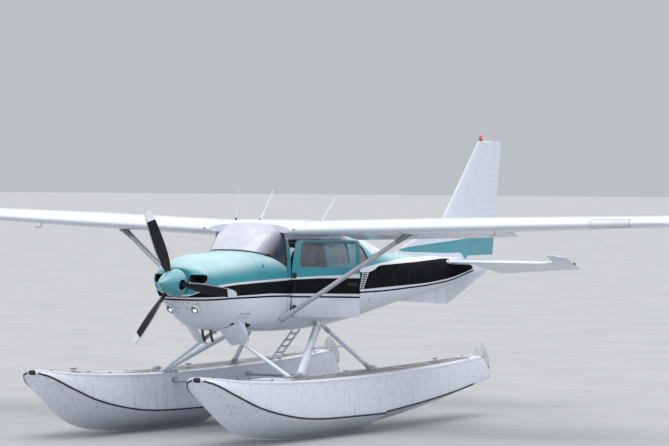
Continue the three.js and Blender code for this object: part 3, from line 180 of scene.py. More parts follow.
def rounded(corners: Outline, radius: float, steps: int = 7) -> Array:
    """An outline of straight sides, each corner replaced by a parabola that leaves the sides
    radius before and after it.

    Args:
        corners: corner points in order.
        radius: distance from the corner at which the curve starts.
        steps: points on each curve.

    Returns:
        The outline's points.
    """
    c = np.array(corners, float)
    before, after = np.roll(c, 1, 0) - c, np.roll(c, -1, 0) - c
    enter = c + radius * unit(before)
    leave = c + radius * unit(after)
    t = np.linspace(0, 1, steps)[None, :, None]
    curve = (1 - t)**2 * enter[:, None] + 2 * t * (1 - t) * c[:, None] + t**2 * leave[:, None]
    return curve.reshape(-1, 2)


def spread(outline: Array, step: float) -> Array:
    """The same closed outline with points at most step apart.

    Args:
        outline: corner points, (n, 2) or (n, 3).
        step: the longest side.

    Returns:
        Evenly spaced points along the outline.
    """
    closed = np.vstack([outline, outline[:1]])
    length = np.r_[0, np.cumsum(np.linalg.norm(np.diff(closed, axis=0), axis=1))]
    at = np.linspace(0, length[-1], int(length[-1] / step) + 8, endpoint=False)
    return np.stack([np.interp(at, length, closed[:, k]) for k in range(closed.shape[1])], -1)


def inside(points: Array, outline: Array) -> Array:
    """Distance to an outline, positive inside it and negative outside.

    Args:
        points: (..., 2).
        outline: (m, 2) corner points of a closed outline.

    Returns:
        Signed distances, the least distance to any side with the sign of the crossing count.
    """
    shape, p = points.shape[:-1], points.reshape(-1, 2)
    a, b = outline, np.roll(outline, -1, 0)
    d = b - a
    w = p[:, None] - a
    t = np.clip((w * d).sum(-1) / np.maximum((d * d).sum(-1), 1e-18), 0, 1)
    gap = np.sqrt(((w - t[..., None] * d)**2).sum(-1)).min(1)
    up = (a[:, 1] > p[:, 1:]) != (b[:, 1] > p[:, 1:])
    rise = np.where(np.abs(d[:, 1]) < 1e-12, 1e-12, d[:, 1])
    cross = up & (p[:, :1] < a[:, 0] + (p[:, 1:] - a[:, 1]) * d[:, 0] / rise)
    return np.where(cross.sum(1) % 2 == 1, gap, -gap).reshape(shape)


def least(distances: Sequence[Array]) -> Array:
    """The least of several signed distances, which is inside all of them where positive."""
    return np.minimum.reduce(distances)


class Skin:
    """A hull of superellipse sections: at each station the points are
    (half width * cos^(2/n), station, widest + height * sin^(2/n)), spaced evenly along each
    quarter of the section. Girth 0 is the left side, 0.25 the top, 0.5 the right, 0.75 the keel."""

    def __init__(self, rows: Outline, step: float = 0.008, quarter: int = 64) -> None:
        """Samples the sections closely.

        Args:
            rows: the section table in millimetres.
            step: distance between the sampled stations in metres.
            quarter: intervals in each quarter of a section.
        """
        self.rows = table(rows, 5)
        first, last = self.rows[0, 0], self.rows[-1, 0]
        self.stations = np.linspace(first, last, int((last - first) / step) + 2)
        r = smooth_rows(self.rows, self.stations)
        u = np.linspace(0, 1, 500)
        angle = 0.5 * math.pi * (u * u * (3 - 2 * u))
        quarters = []
        for sx, sz in ((1, 1), (-1, 1), (-1, -1), (1, -1)):
            n = r[:, 5 if sz > 0 else 6][:, None]
            tall = np.where(sz > 0, r[:, 3] - r[:, 2], r[:, 2] - r[:, 4])[:, None]
            x = sx * r[:, 1:2] * np.cos(angle)**(2 / n)
            z = r[:, 2:3] + sz * tall * np.sin(angle)**(2 / n)
            if sx * sz < 0:
                x, z = x[:, ::-1], z[:, ::-1]
            run = np.cumsum(np.hypot(np.diff(x, axis=1), np.diff(z, axis=1)), axis=1)
            run = np.hstack([np.zeros((len(r), 1)), run])
            at = run[:, -1:] * np.linspace(0, 1, quarter + 1)[None, :-1]
            pick = [np.stack([np.interp(a, w, p), np.interp(a, w, q)], -1)
                    for a, w, p, q in zip(at, run, x, z)]
            quarters.append(np.array(pick))
        self.ring = np.concatenate(quarters, axis=1)

    def point(self, station: Array, girth: Array) -> Array:
        """Points of the hull, by straight lines between the sampled ones.

        Args:
            station: metres aft of the firewall.
            girth: share of the way round.

        Returns:
            Points (..., 3).
        """
        i = np.clip(np.interp(station, self.stations, np.arange(len(self.stations))),
                    0, len(self.stations) - 1.001)
        n = self.ring.shape[1]
        j = np.mod(girth, 1) * n
        i0, j0 = i.astype(int), j.astype(int) % n
        fi, fj = (i - i0)[..., None], (j - np.floor(j))[..., None]
        j1 = (j0 + 1) % n
        g = self.ring
        p = ((1 - fi) * ((1 - fj) * g[i0, j0] + fj * g[i0, j1])
             + fi * ((1 - fj) * g[i0 + 1, j0] + fj * g[i0 + 1, j1]))
        return np.stack([p[..., 0], np.broadcast_to(station, p.shape[:-1]), p[..., 1]], -1)

    def side(self, station: Array, height: Array) -> Array:
        """Half width of the hull at a station and height.

        Args:
            station: metres aft of the firewall.
            height: metres above the propeller axis.

        Returns:
            half width * (1 - ratio^n)^(1/n), with the ratio measured from the widest place.
        """
        r = smooth_rows(self.rows, np.asarray(station, float))
        up = height >= r[..., 2]
        n = np.where(up, r[..., 5], r[..., 6])
        tall = np.where(up, r[..., 3] - r[..., 2], r[..., 2] - r[..., 4])
        ratio = np.clip(np.abs(height - r[..., 2]) / tall, 0, 1)
        return r[..., 1] * (1 - ratio**n)**(1 / n)

    def deck(self, station: Array, x: Array) -> Array:
        """Height of the hull's top at a station and distance from the middle.

        Args:
            station: metres aft of the firewall.
            x: metres from the middle.

        Returns:
            widest + height * (1 - ratio^n)^(1/n).
        """
        r = smooth_rows(self.rows, np.asarray(station, float))
        ratio = np.clip(np.abs(x) / r[..., 1], 0, 1)
        n = r[..., 5]
        return r[..., 2] + (r[..., 3] - r[..., 2]) * (1 - ratio**n)**(1 / n)


@dataclass
class Patch:
    """Points, faces and finish numbers of a surface; a triangle has -1 as its last corner."""

    points: Array
    faces: Array
    finish: Array
    values: dict[str, Array] = field(default_factory=dict)

    def mapped(self, change: Callable[[Array], Array]) -> Patch:
        """The same faces on changed points, turned outwards again if the change mirrors them."""
        return outward(Patch(change(self.points), self.faces, self.finish, self.values))

    def mirrored(self) -> Patch:
        """The same shape on the aircraft's other side."""
        return self.mapped(lambda p: p * np.array([-1.0, 1.0, 1.0]))

    def dressed(self, number: int) -> Patch:
        """The same shape with one finish number all over."""
        return Patch(self.points, self.faces, np.full(len(self.faces), number), self.values)


def flipped(faces: Array) -> Array:
    """Faces with their corners in the opposite order."""
    back = faces[:, ::-1].copy()
    three = faces[:, 3] < 0
    back[three] = np.concatenate([faces[three][:, 2::-1], faces[three][:, 3:]], axis=1)
    return back


def outward(patch: Patch) -> Patch:
    """Turns a closed surface's faces outwards.

    Args:
        patch: a closed surface.

    Returns:
        The surface, flipped if the sum of its faces' signed volumes is negative.
    """
    p, f = patch.points - patch.points.mean(0), patch.faces
    volume = np.einsum("ij,ij->i", p[f[:, 0]], np.cross(p[f[:, 1]], p[f[:, 2]])).sum()
    q = f[f[:, 3] >= 0]
    volume += np.einsum("ij,ij->i", p[q[:, 0]], np.cross(p[q[:, 2]], p[q[:, 3]])).sum()
    return patch if volume > 0 else Patch(patch.points, flipped(f), patch.finish, patch.values)


def joined(patches: Sequence[Patch]) -> Patch:
    """Several surfaces as one.

    Args:
        patches: the surfaces; a value that one lacks is zero on it.

    Returns:
        One surface.
    """
    starts = np.r_[0, np.cumsum([len(p.points) for p in patches])]
    names = sorted({n for p in patches for n in p.values})
    return Patch(
        np.concatenate([p.points for p in patches]),
        np.concatenate([np.where(p.faces >= 0, p.faces + s, -1) for p, s in zip(patches, starts)]),
        np.concatenate([p.finish for p in patches]),
        {n: np.concatenate([p.values.get(n, np.zeros(len(p.points))) for p in patches])
         for n in names})


def welded(patch: Patch) -> Patch:
    """Merges points that coincide, then drops faces that have become lines.

    Args:
        patch: any surface.

    Returns:
        The surface on its distinct points.
    """
    key = np.round(patch.points / 2e-6).astype(np.int64)
    _, first, back = np.unique(key, axis=0, return_index=True, return_inverse=True)
    back = back.ravel()
    f = np.where(patch.faces >= 0, back[patch.faces], -1)
    quad = f[:, 3] >= 0
    ring = np.where(quad[:, None], np.roll(f, -1, 1), f[:, [1, 2, 0, 3]])
    same = (f == ring) & (f >= 0)
    count = same.sum(1)
    crossed = quad & ((f[:, 0] == f[:, 2]) | (f[:, 1] == f[:, 3]))
    good = ((quad & (count <= 1)) | (~quad & (count == 0))) & ~crossed
    where = np.argmax(same, 1)
    three = quad & (count == 1)
    order = (where[:, None] + np.array([1, 2, 3])) % 4
    cut = np.take_along_axis(f, order, 1)
    f[three] = np.concatenate([cut[three], np.full((three.sum(), 1), -1)], 1)
    return Patch(patch.points[first], f[good], patch.finish[good],
                 {n: v[first] for n, v in patch.values.items()})


def loft(rings: Array, finish: int = 0) -> Patch:
    """A closed body through rings, its two ends closed by fans to their middles.

    Args:
        rings: (k, n, 3) points; each ring goes once round.
        finish: finish number.

    Returns:
        The closed surface.
    """
    k, n, _ = rings.shape
    index = np.arange(k * n).reshape(k, n)
    after = np.roll(index, -1, 1)
    body = np.stack([index[:-1], after[:-1], after[1:], index[1:]], -1).reshape(-1, 4)
    hub = np.full(n, k * n)
    none = np.full(n, -1)
    front = np.stack([after[0], index[0], hub, none], -1)
    rear = np.stack([index[-1], after[-1], hub + 1, none], -1)
    faces = np.concatenate([body, front, rear])
    points = np.concatenate([rings.reshape(-1, 3), rings[[0, -1]].mean(1)])
    return outward(Patch(points, faces, np.full(len(faces), finish)))


def frames(path: Array, up: Sequence[float]) -> tuple[Array, Array]:
    """Two directions across a path at each of its points.

    Args:
        path: (k, 3) points.
        up: the direction that the second stays nearest to.

    Returns:
        The sideways and upward unit directions, (k, 3) each.
    """
    along = unit(np.gradient(path, axis=0))
    across = np.cross(along, np.asarray(up, float))
    across /= np.maximum(np.linalg.norm(across, axis=1)[:, None], 1e-9)
    return across, np.cross(across, along)


def swept(path: Array, profile: Array, up: Sequence[float] = (0.0, 0.0, 1.0),
          scale: Array | float = 1.0, finish: int = 0) -> Patch:
    """A profile carried along a path: point = path + across * u + upward * v.

    Args:
        path: (k, 3) points.
        profile: (n, 2) closed outline.
        up: the profile's second direction.
        scale: size of the profile along the path.
        finish: finish number.

    Returns:
        The closed surface.
    """
    across, top = frames(path, up)
    size = np.broadcast_to(np.asarray(scale, float), (len(path),))[:, None, None]
    rings = (path[:, None] + size * (across[:, None] * profile[None, :, :1]
                                     + top[:, None] * profile[None, :, 1:]))
    return loft(rings, finish)


def circle(radius: float, sides: int = 16) -> Array:
    """A circle's points, (sides, 2)."""
    a = np.linspace(0, 2 * math.pi, sides, endpoint=False)
    return radius * np.stack([np.cos(a), np.sin(a)], -1)


def rod(path: Outline, radius: float, sides: int = 14, up: Sequence[float] = (0.1, 0.23, 0.97),
        finish: int = 0, round_ends: bool = True) -> Patch:
    """A round bar along a path, its ends drawn in along a quarter circle.

    Args:
        path: points along its middle.
        radius: its radius.
        sides: points round it.
        up: a direction that the path doesn't follow.
        finish: finish number.
        round_ends: whether the ends are domed.

    Returns:
        The closed surface.
    """
    p = np.array(path, float)
    scale = np.ones(len(p))
    if round_ends:
        phi = np.radians([14, 40, 65, 90])
        lead, tail = p[1] - p[0], p[-2] - p[-1]
        reach = radius * (1 - np.cos(phi))[:, None]
        head = p[0] + reach * unit(lead)
        foot = p[-1] + reach * unit(tail)
        p = np.vstack([head, p[1:-1], foot[::-1]])
        scale = np.r_[np.sin(phi), scale[2:], np.sin(phi)[::-1]]
    return swept(p, circle(radius, sides), up, scale, finish)


def lathe(profile: Outline, centre: Sequence[float], axis: Sequence[float], sides: int = 32,
          finish: int = 0) -> Patch:
    """A profile turned round an axis: point = centre + axis * h + r * (cos a, sin a) across it.

    Args:
        profile: (r, h) pairs; the body is closed where r is zero.
        centre: where h is zero.
        axis: the axis' direction.
        sides: points round it.
        finish: finish number.

    Returns:
        The closed surface.
    """
    d = unit(np.asarray(axis, float))
    helper = np.array([0.0, 0.0, 1.0]) if abs(d[2]) < 0.9 else np.array([1.0, 0.0, 0.0])
    e1 = unit(np.cross(d, helper))
    e2 = np.cross(d, e1)
    a = np.linspace(0, 2 * math.pi, sides, endpoint=False)
    ring = np.cos(a)[:, None] * e1 + np.sin(a)[:, None] * e2
    rows = np.array(profile, float)
    points = (np.asarray(centre, float) + rows[:, None, :1] * ring[None]
              + rows[:, None, 1:] * d)
    return outward(welded(loft(points, finish)))


def block(centre: Sequence[float], size: Sequence[float], power: float = 5.0, finish: int = 0,
          steps: int = 14) -> Patch:
    """A box with rounded edges: each coordinate is half its size times
    sign * |cos or sin|^(2/power) of two angles.

    Args:
        centre: its middle.
        size: its three widths.
        power: squareness, 2 for an ellipsoid.
        finish: finish number.
        steps: points along a quarter turn.

    Returns:
        The closed surface.
    """
    t = np.linspace(-1, 1, steps)
    lat = 0.5 * math.pi * np.sign(t) * (1 - (1 - np.abs(t))**1.6)
    lon = np.linspace(0, 2 * math.pi, 4 * steps, endpoint=False)

    def root(c: Array) -> Array:
        """Signed power of a cosine or sine."""
        return np.sign(c) * np.abs(c)**(2 / power)

    ring = np.stack([root(np.cos(lon)), root(np.sin(lon)), np.zeros_like(lon)], -1)
    rings = (root(np.cos(lat))[:, None, None] * ring[None]
             + root(np.sin(lat))[:, None, None] * np.array([0, 0, 1.0]))
    return welded(loft(rings * 0.5 * np.asarray(size, float) + np.asarray(centre, float), finish))


def slab(outline: Array, axis: int, low: float, high: float, edge: float = 0.0015,
         finish: int = 0) -> Patch:
    """A flat outline given a thickness, its rims drawn in by a small rounding.

    Args:
        outline: (n, 2) points in the two other axes, in their order.
        axis: the axis of the thickness, 0 to 2.
        low: where it begins.
        high: where it ends.
        edge: size of the rounding.
        finish: finish number.

    Returns:
        The closed surface.
    """
    middle = outline.mean(0)
    reach = np.linalg.norm(outline - middle, axis=1).max()
    rows = []
    for place, drawn in ((low, edge), (low + 0.3 * edge, 0.3 * edge), (low + edge, 0),
                         (high - edge, 0), (high - 0.3 * edge, 0.3 * edge), (high, edge)):
        ring = middle + (outline - middle) * (1 - drawn / reach)
        rows.append(np.insert(ring, axis, place, axis=1))
    return loft(np.array(rows), finish)


def cut_shell(surface: Callable[[Array, Array], Array], u: Array, v: Array,
              keep: Callable[[Array], Array], wall: float, wrap: bool = False,
              values: Callable[[Array], dict[str, Array]] | None = None) -> Patch:
    """The part of a surface where keep(points) is positive, as a closed shell with a wall.

    A grid of points surface(u, v) is taken. Those within half a cell of the edge slide onto it by
    Newton steps along keep's gradient, quads inside are kept, and those that the edge crosses
    corner to corner become triangles. The inside is the outside less wall times the normal.

    Args:
        surface: gives points for two parameters, with outward normal d/du x d/dv or its opposite.
        u: the first parameter's values.
        v: the second parameter's values.
        keep: signed distance of points to the edge, positive where the shell is.
        wall: thickness.
        wrap: whether the last v joins the first.
        values: named values per point, worked out on the outside.

    Returns:
        The shell with finish 0 outside, 1 on its rims and 2 inside.
    """
    uu, vv = np.meshgrid(u, v, indexing="ij")
    du, dv = u[1] - u[0], v[1] - v[0]
    su = np.linalg.norm(surface(uu + 0.5 * du, vv) - surface(uu - 0.5 * du, vv), axis=-1) / du
    sv = np.linalg.norm(surface(uu, vv + 0.5 * dv) - surface(uu, vv - 0.5 * dv), axis=-1) / dv
    su, sv = np.maximum(su, 1e-4), np.maximum(sv, 1e-4)
    level = keep(surface(uu, vv))
    near = np.abs(level) < 1.2 * np.maximum(su * du, sv * dv)
    on = np.zeros_like(near)
    for turn in range(4):
        a, b, k = uu[near], vv[near], level[near]
        h, g = 0.02 * du, 0.02 * dv
        ku = (keep(surface(a + h, b)) - k) / h
        kv = (keep(surface(a, b + g)) - k) / g
        if turn == 0:
            reach = 0.51 * np.maximum(np.abs(ku) * du, np.abs(kv) * dv)
            close = np.abs(k) <= reach
            on[near] = close
            a, b, k, ku, kv = a[close], b[close], k[close], ku[close], kv[close]
            near = on.copy()
        mu, mv = su[near]**2, sv[near]**2
        slope = ku**2 / mu + kv**2 / mv
        uu[near] = a - np.clip(k * ku / mu / np.maximum(slope, 1e-9), -0.8 * du, 0.8 * du)
        vv[near] = b - np.clip(k * kv / mv / np.maximum(slope, 1e-9), -0.8 * dv, 0.8 * dv)
        level[near] = keep(surface(uu[near], vv[near]))
    state = np.where(on, 0, np.sign(level)).astype(int)
    points = surface(uu, vv)
    e, w = 0.01 * du, 0.01 * dv
    normal = np.cross(surface(uu + e, vv) - surface(uu - e, vv),
                      surface(uu, vv + w) - surface(uu, vv - w))
    normal /= np.maximum(np.linalg.norm(normal, axis=-1, keepdims=True), 1e-15)
    rows, cols = uu.shape
    index = np.arange(rows * cols).reshape(rows, cols)
    right = np.roll(index, -1, 1) if wrap else index[:, 1:]
    left = index if wrap else index[:, :-1]
    quads = np.stack([left[:-1], right[:-1], right[1:], left[1:]], -1).reshape(-1, 4)
    flat, s = points.reshape(-1, 3), state.ravel()[quads]
    out = (s < 0).sum(1)
    where = np.argmin(s, 1)
    order = (where[:, None] + np.array([1, 2, 3])) % 4
    three = np.take_along_axis(quads, order, 1)
    faces = np.concatenate([quads[out == 0],
                            np.hstack([three[out == 1], np.full(((out == 1).sum(), 1), -1)])])
    corners = np.where(faces[:, 3:] < 0, faces[:, :1], faces)
    middle = np.where(faces[:, 3] < 0, 3, 4)[:, None]
    centre = (flat[faces[:, 0]] + flat[faces[:, 1]] + flat[faces[:, 2]]
              + np.where(faces[:, 3:] < 0, 0, flat[corners[:, 3]])) / middle
    strong = (state.ravel()[corners] > 0).any(1) & (state.ravel()[corners] >= 0).all(1)
    edge_only = (state.ravel()[corners] == 0).all(1)
    good = strong.copy()
    if edge_only.any():
        good[edge_only] = keep(centre[edge_only]) > 0
    faces = faces[good]
    span = flat[faces[:, 1]] - flat[faces[:, 0]]
    leg = flat[faces[:, 2]] - flat[faces[:, 0]]
    faces = faces[(np.linalg.norm(np.cross(span, leg), axis=1) > 1e-10) | (faces[:, 3] >= 0)]
    normal = normal.reshape(-1, 3)
    # The faces are wound to agree with the normals that the wall is measured along
    q = flat[faces[:, :3]]
    face_normal = np.cross(q[:, 1] - q[:, 0], q[:, 2] - q[:, 0])
    if (face_normal * normal[faces[:, 0]]).sum() < 0:
        faces = flipped(faces)
    base = rows * cols
    tri = faces[:, 3] < 0
    ends = np.where(tri[:, None], faces[:, [1, 2, 0, 3]], np.roll(faces, -1, 1))
    a, b = faces.ravel(), ends.ravel()
    real = (a >= 0) & (b >= 0)
    a, b = a[real], b[real]
    _, first, count = np.unique(np.minimum(a, b) * base + np.maximum(a, b),
                                return_index=True, return_counts=True)
    a, b = a[first[count == 1]], b[first[count == 1]]
    rim = np.stack([b, a, a + base, b + base], -1)
    inner = np.where(faces >= 0, faces + base, -1)
    every = np.concatenate([faces, rim, flipped(inner)])
    number = np.repeat([0, 1, 2], [len(faces), len(rim), len(inner)])
    both = np.concatenate([flat, flat - wall * normal])
    found = {n: np.tile(x, 2) for n, x in (values(flat) if values else {}).items()}
    found["edge"] = np.tile(np.maximum(level.ravel() * ~on.ravel(), 0), 2)
    used = np.zeros(2 * base, bool)
    used[every[every >= 0]] = True
    renumber = np.cumsum(used) - 1
    every = np.where(every >= 0, renumber[every], -1)
    return outward(Patch(both[used], every, number, {n: x[used] for n, x in found.items()}))


def piece(name: str, patch: Patch | Sequence[Patch], finishes: str, node: str | None = None,
          body: str = "airframe", sharp: float = 32.0,
          bevel: float = 0.0) -> bpy.types.Object:
    """Makes a Blender object from a surface and fixes it to a body.

    Args:
        name: the piece's name.
        patch: its surface in the aircraft frame, or surfaces to join.
        finishes: keys of its finishes in the order of their numbers.
        node: frame node that it stands for.
        body: the moving body that it belongs to.
        sharp: angle in degrees above which an edge is a crease.
        bevel: width of a small bevel on the creases.

    Returns:
        The object, its place in its mesh.
    """
    if not isinstance(patch, Patch):
        patch = joined(patch)
    mesh = bpy.data.meshes.new(name)
    corners = np.where(patch.faces[:, 3] < 0, 3, 4)
    loops = patch.faces[patch.faces >= 0]
    mesh.vertices.add(len(patch.points))
    mesh.vertices.foreach_set("co", (patch.points + TO_ROW).astype(np.float32).ravel())
    mesh.loops.add(len(loops))
    mesh.loops.foreach_set("vertex_index", loops.astype(np.int32))
    mesh.polygons.add(len(patch.faces))
    mesh.polygons.foreach_set("loop_start", np.r_[0, np.cumsum(corners)[:-1]].astype(np.int32))
    mesh.polygons.foreach_set("material_index", patch.finish.astype(np.int32))
    for key, numbers in patch.values.items():
        stored = mesh.attributes.new(key, "FLOAT", "POINT")
        stored.data.foreach_set("value", numbers.astype(np.float32))
    for key in finishes.split():
        mesh.materials.append(material(key))
    mesh.update(calc_edges=True)
    mesh.validate()
    mesh.shade_smooth()
    mesh.set_sharp_from_angle(angle=math.radians(sharp))
    obj = bpy.data.objects.new(name, mesh)
    bpy.context.scene.collection.objects.link(obj)
    if bevel:
        rounding = obj.modifiers.new("edge rounding", "BEVEL")
        rounding.width, rounding.segments = bevel, 1
        rounding.limit_method, rounding.angle_limit = "ANGLE", math.radians(40)
        rounding.harden_normals = False
    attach(obj, body)
    if node:
        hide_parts(node)
    LOG.info("%s: %d faces on %s", name, len(patch.faces), body)
    return obj


# Finishes


class Graph:
    """A material's or a group's nodes, with short calls that add one and return its output."""

    def __init__(self, tree: bpy.types.NodeTree) -> None:
        """Keeps the tree that the calls add to."""
        self.tree = tree

    def node(self, kind: str, inputs: dict[str | int, object] | None = None,
             **settings: object) -> bpy.types.Node:
        """Adds a node.

        Args:
            kind: the node's type name without its prefix.
            inputs: sockets or plain values by input name or number.
            settings: the node's own properties.

        Returns:
            The node.
        """
        made = self.tree.nodes.new("ShaderNode" + kind)
        for key, value in settings.items():
            setattr(made, key, value)
        return self.fed(made, inputs or {})

    def fed(self, node: bpy.types.Node, inputs: dict[str | int, object]) -> bpy.types.Node:
        """Links outputs to a node's inputs, or sets the inputs to plain values.

        Args:
            node: the node.
            inputs: sockets or plain values by input name or number.

        Returns:
            The node.
        """
        for key, value in inputs.items():
            if isinstance(value, bpy.types.NodeSocket):
                self.tree.links.new(value, node.inputs[key])
            else:
                node.inputs[key].default_value = value
        return node

    def math(self, operation: str, a: object, b: object = 0.0,
             clamp: bool = False) -> bpy.types.NodeSocket:
        """A Math node's output."""
        return self.node("Math", {0: a, 1: b}, operation=operation, use_clamp=clamp).outputs[0]

    def times(self, a: object, b: object) -> bpy.types.NodeSocket:
        """The product of two values."""
        return self.math("MULTIPLY", a, b)

    def ramp(self, value: object, low: float, high: float, to_low: float = 0.0,
             to_high: float = 1.0) -> bpy.types.NodeSocket:
        """A value's place between low and high, smoothed and clamped, mapped to a new range."""
        return self.node("MapRange", {0: value, 1: low, 2: high, 3: to_low, 4: to_high},
                         interpolation_type="SMOOTHSTEP").outputs[0]

    def mix(self, factor: object, a: object, b: object) -> bpy.types.NodeSocket:
        """A colour between a and b."""
        made = self.node("Mix", data_type="RGBA")
        return self.fed(made, {0: factor, 6: a, 7: b}).outputs[2]

    def noise(self, scale: float, detail: float = 3.0, vector: object = None,
              roughness: float = 0.5) -> bpy.types.NodeSocket:
        """Noise on object coordinates or on the vector given."""
        inputs = {"Vector": self.place() if vector is None else vector, "Scale": scale,
                  "Detail": detail, "Roughness": roughness}
        return self.node("TexNoise", inputs).outputs[0]

    def bump(self, height: object, strength: float, distance: float) -> bpy.types.NodeSocket:
        """The normal as a height bends it."""
        inputs = {"Strength": strength, "Distance": distance, "Height": height}
        return self.node("Bump", inputs).outputs[0]

    def place(self) -> bpy.types.NodeSocket:
        """Object coordinates."""
        return self.node("TexCoord").outputs["Object"]

    def axes(self, vector: object = None) -> list[bpy.types.NodeSocket]:
        """The three parts of object coordinates or of a vector."""
        source = self.place() if vector is None else vector
        return list(self.node("SeparateXYZ", {0: source}).outputs)

    def stored(self, name: str) -> bpy.types.NodeSocket:
        """A named value of the piece's points."""
        return self.node("Attribute", attribute_name=name).outputs["Fac"]

    def group(self, tree: bpy.types.NodeTree, inputs: dict[str, object]) -> dict:
        """Places a shared group, feeds its named inputs and gives its outputs."""
        made = self.tree.nodes.new("ShaderNodeGroup")
        made.node_tree = tree
        return self.fed(made, inputs).outputs


def new_group(name: str, inputs: dict[str, object],
              outputs: Sequence[str]) -> tuple[Graph, dict, bpy.types.Node]:
    """Starts a shared group of nodes.

    Args:
        name: the group's name.
        inputs: default value by input name; a tuple makes a colour input.
        outputs: names of the outputs; one that ends in Color carries a colour.

    Returns:
        Its graph, its input sockets by name, and its output node.
    """
    tree = bpy.data.node_groups.new(name, "ShaderNodeTree")
    for key, default in inputs.items():
        kind = "NodeSocketColor" if isinstance(default, tuple) else "NodeSocketFloat"
        tree.interface.new_socket(key, in_out="INPUT", socket_type=kind).default_value = default
    for key in outputs:
        kind = "NodeSocketColor" if key.endswith("Color") else "NodeSocketFloat"
        tree.interface.new_socket(key, in_out="OUTPUT", socket_type=kind)
    source = tree.nodes.new("NodeGroupInput")
    sink = tree.nodes.new("NodeGroupOutput")
    return Graph(tree), {k: source.outputs[k] for k in inputs}, sink


def weather_group() -> bpy.types.NodeTree:
    """Sun fading and a painted sky sheen, dirt and mottling that paint and metal share.

    Returns:
        The group: its colour is the base, paler where it faces up as a painted sky sheen with sun
            fading, darker in blotches and runs.
    """
    g, i, sink = new_group("weathering", {
        "Base": (0.5, 0.5, 0.5, 1), "Dirt": (0.2, 0.17, 0.13, 1), "Faded": (0.8, 0.8, 0.8, 1),
        "Dirt Amount": 0.15, "Fade Amount": 0.2, "Gloss": 0.3}, ("Color", "Roughness", "Height"))
    x, y, z = g.axes()
    up = g.axes(g.node("NewGeometry").outputs["Normal"])[2]
    # Painted sky sheen: the more a surface faces up, the more it turns to the paler colour, standing
    # in for the sky's reflection on top surfaces as well as sun fading
    fade = g.times(g.ramp(up, 0.08, 0.72), i["Fade Amount"])
    cloud = g.noise(1.7, 5.0, roughness=0.6)
    fade = g.times(fade, g.ramp(cloud, 0.2, 0.75, 0.6, 1.0))
    stretched = {0: g.times(x, 26.0), 1: g.times(y, 26.0), 2: g.times(z, 1.6)}
    runs = g.noise(1.0, 4.0, g.node("CombineXYZ", stretched).outputs[0])
    blotch = g.noise(7.0, 6.0, roughness=0.7)
    dirt = g.math("ADD", g.ramp(runs, 0.52, 0.8), g.ramp(blotch, 0.5, 0.85))
    fine = g.ramp(g.noise(90.0, 3.0), 0.2, 0.8, 0.6, 1.0)
    dirt = g.math("MULTIPLY", g.times(dirt, fine), i["Dirt Amount"], clamp=True)
    rough = g.math("ADD", i["Gloss"], g.times(dirt, 0.45))
    g.fed(sink, {
        "Color": g.mix(dirt, g.mix(fade, i["Base"], i["Faded"]), i["Dirt"]),
        "Roughness": g.math("ADD", rough, g.ramp(blotch, 0.3, 0.8, -0.03, 0.05), clamp=True),
        "Height": g.noise(3.2, 2.0)})
    return g.tree


def rivet_group() -> bpy.types.NodeTree:
    """A lapped seam with a row of rivets beside it, repeated at a spacing.

    Returns:
        The group: Height is low in the seam and high on the rivets, Mask is dark at both.
    """
    g, i, sink = new_group("seams", {
        "Across": 0.0, "Along": 0.0, "Spacing": 0.4, "Offset": 0.0, "Pitch": 0.03,
        "Rivet": 0.0022, "Seam": 0.0006}, ("Height", "Mask"))
    moved = g.math("ADD", i["Across"], i["Offset"])
    line = g.math("PINGPONG", moved, g.times(i["Spacing"], 0.5))
    seam = g.math("LESS_THAN", line, i["Seam"])
    beside = g.math("SUBTRACT", line, 0.012)
    step = g.math("PINGPONG", i["Along"], g.times(i["Pitch"], 0.5))
    reach = g.math("SQRT", g.math("ADD", g.times(beside, beside), g.times(step, step)))
    near = g.math("DIVIDE", reach, i["Rivet"])
    dome = g.times(g.ramp(near, 0.2, 1.0, 1.0, 0.0), 0.35)
    ring = g.times(g.ramp(near, 0.85, 1.05), g.ramp(near, 1.1, 1.6, 1.0, 0.0))
    g.fed(sink, {"Height": g.math("SUBTRACT", dome, seam),
                 "Mask": g.math("MAXIMUM", seam, g.times(ring, 0.5))})
    return g.tree


def livery_group() -> bpy.types.NodeTree:
    """The hull's paint scheme, from stored distances to each paint line.

    Returns:
        The group: Teal above the stripe and below the roof line, Black on the thin low line and in
        the band, whose slanted gap is a white ladder with black between its rungs.
    """
    g, i, sink = new_group("paint scheme", {
        "Top": 1.0, "Stripe": 1.0, "Low": 1.0, "Pin": 1.0, "Slant": -1.0, "Roof": -1.0},
        ("Teal", "Black"))

    def above(name: str) -> bpy.types.NodeSocket:
        """One where the distance of this name is positive, with a sharp but smooth step."""
        return g.ramp(i[name], -PAINT_EDGE, PAINT_EDGE)

    def other(value: bpy.types.NodeSocket) -> bpy.types.NodeSocket:
        """One less a value."""
        return g.math("SUBTRACT", 1.0, value)

    rung = g.ramp(g.math("PINGPONG", i["Low"], 0.0145), 0.0045, 0.0055)
    box = g.times(g.ramp(i["Slant"], 0.0165, 0.0175), rung)
    gap = g.math("SUBTRACT", above("Slant"), box)
    band = g.times(g.times(above("Low"), other(above("Top"))), other(gap))
    pin = g.ramp(g.math("ABSOLUTE", i["Pin"]), 0.0105, 0.0115, 1.0, 0.0)
    g.fed(sink, {"Teal": g.times(above("Stripe"), other(above("Roof"))),
                 "Black": g.math("MAXIMUM", band, pin)})
    return g.tree


# Half the width of the step at a paint line, and the colours that finishes share
PAINT_EDGE = 0.0006
TEAL = (0.058, 0.305, 0.378, 1.0)
# The paler twins of teal, white and black are mixed in where a surface faces up, as sun fading and a
# painted sky sheen
TEAL_FADE_AND_SHEEN = (0.62, 0.80, 0.82, 1.0)
WHITE = (0.72, 0.768, 0.86, 1.0)
WHITE_FADE_AND_SHEEN = (0.84, 0.865, 0.91, 1.0)
BLACK = (0.012, 0.013, 0.016, 1.0)
BLACK_FADE_AND_SHEEN = (0.022, 0.022, 0.025, 1.0)
TIP_WHITE = (0.74, 0.76, 0.79, 1.0)
BARE_ALLOY = (0.42, 0.43, 0.45, 1.0)


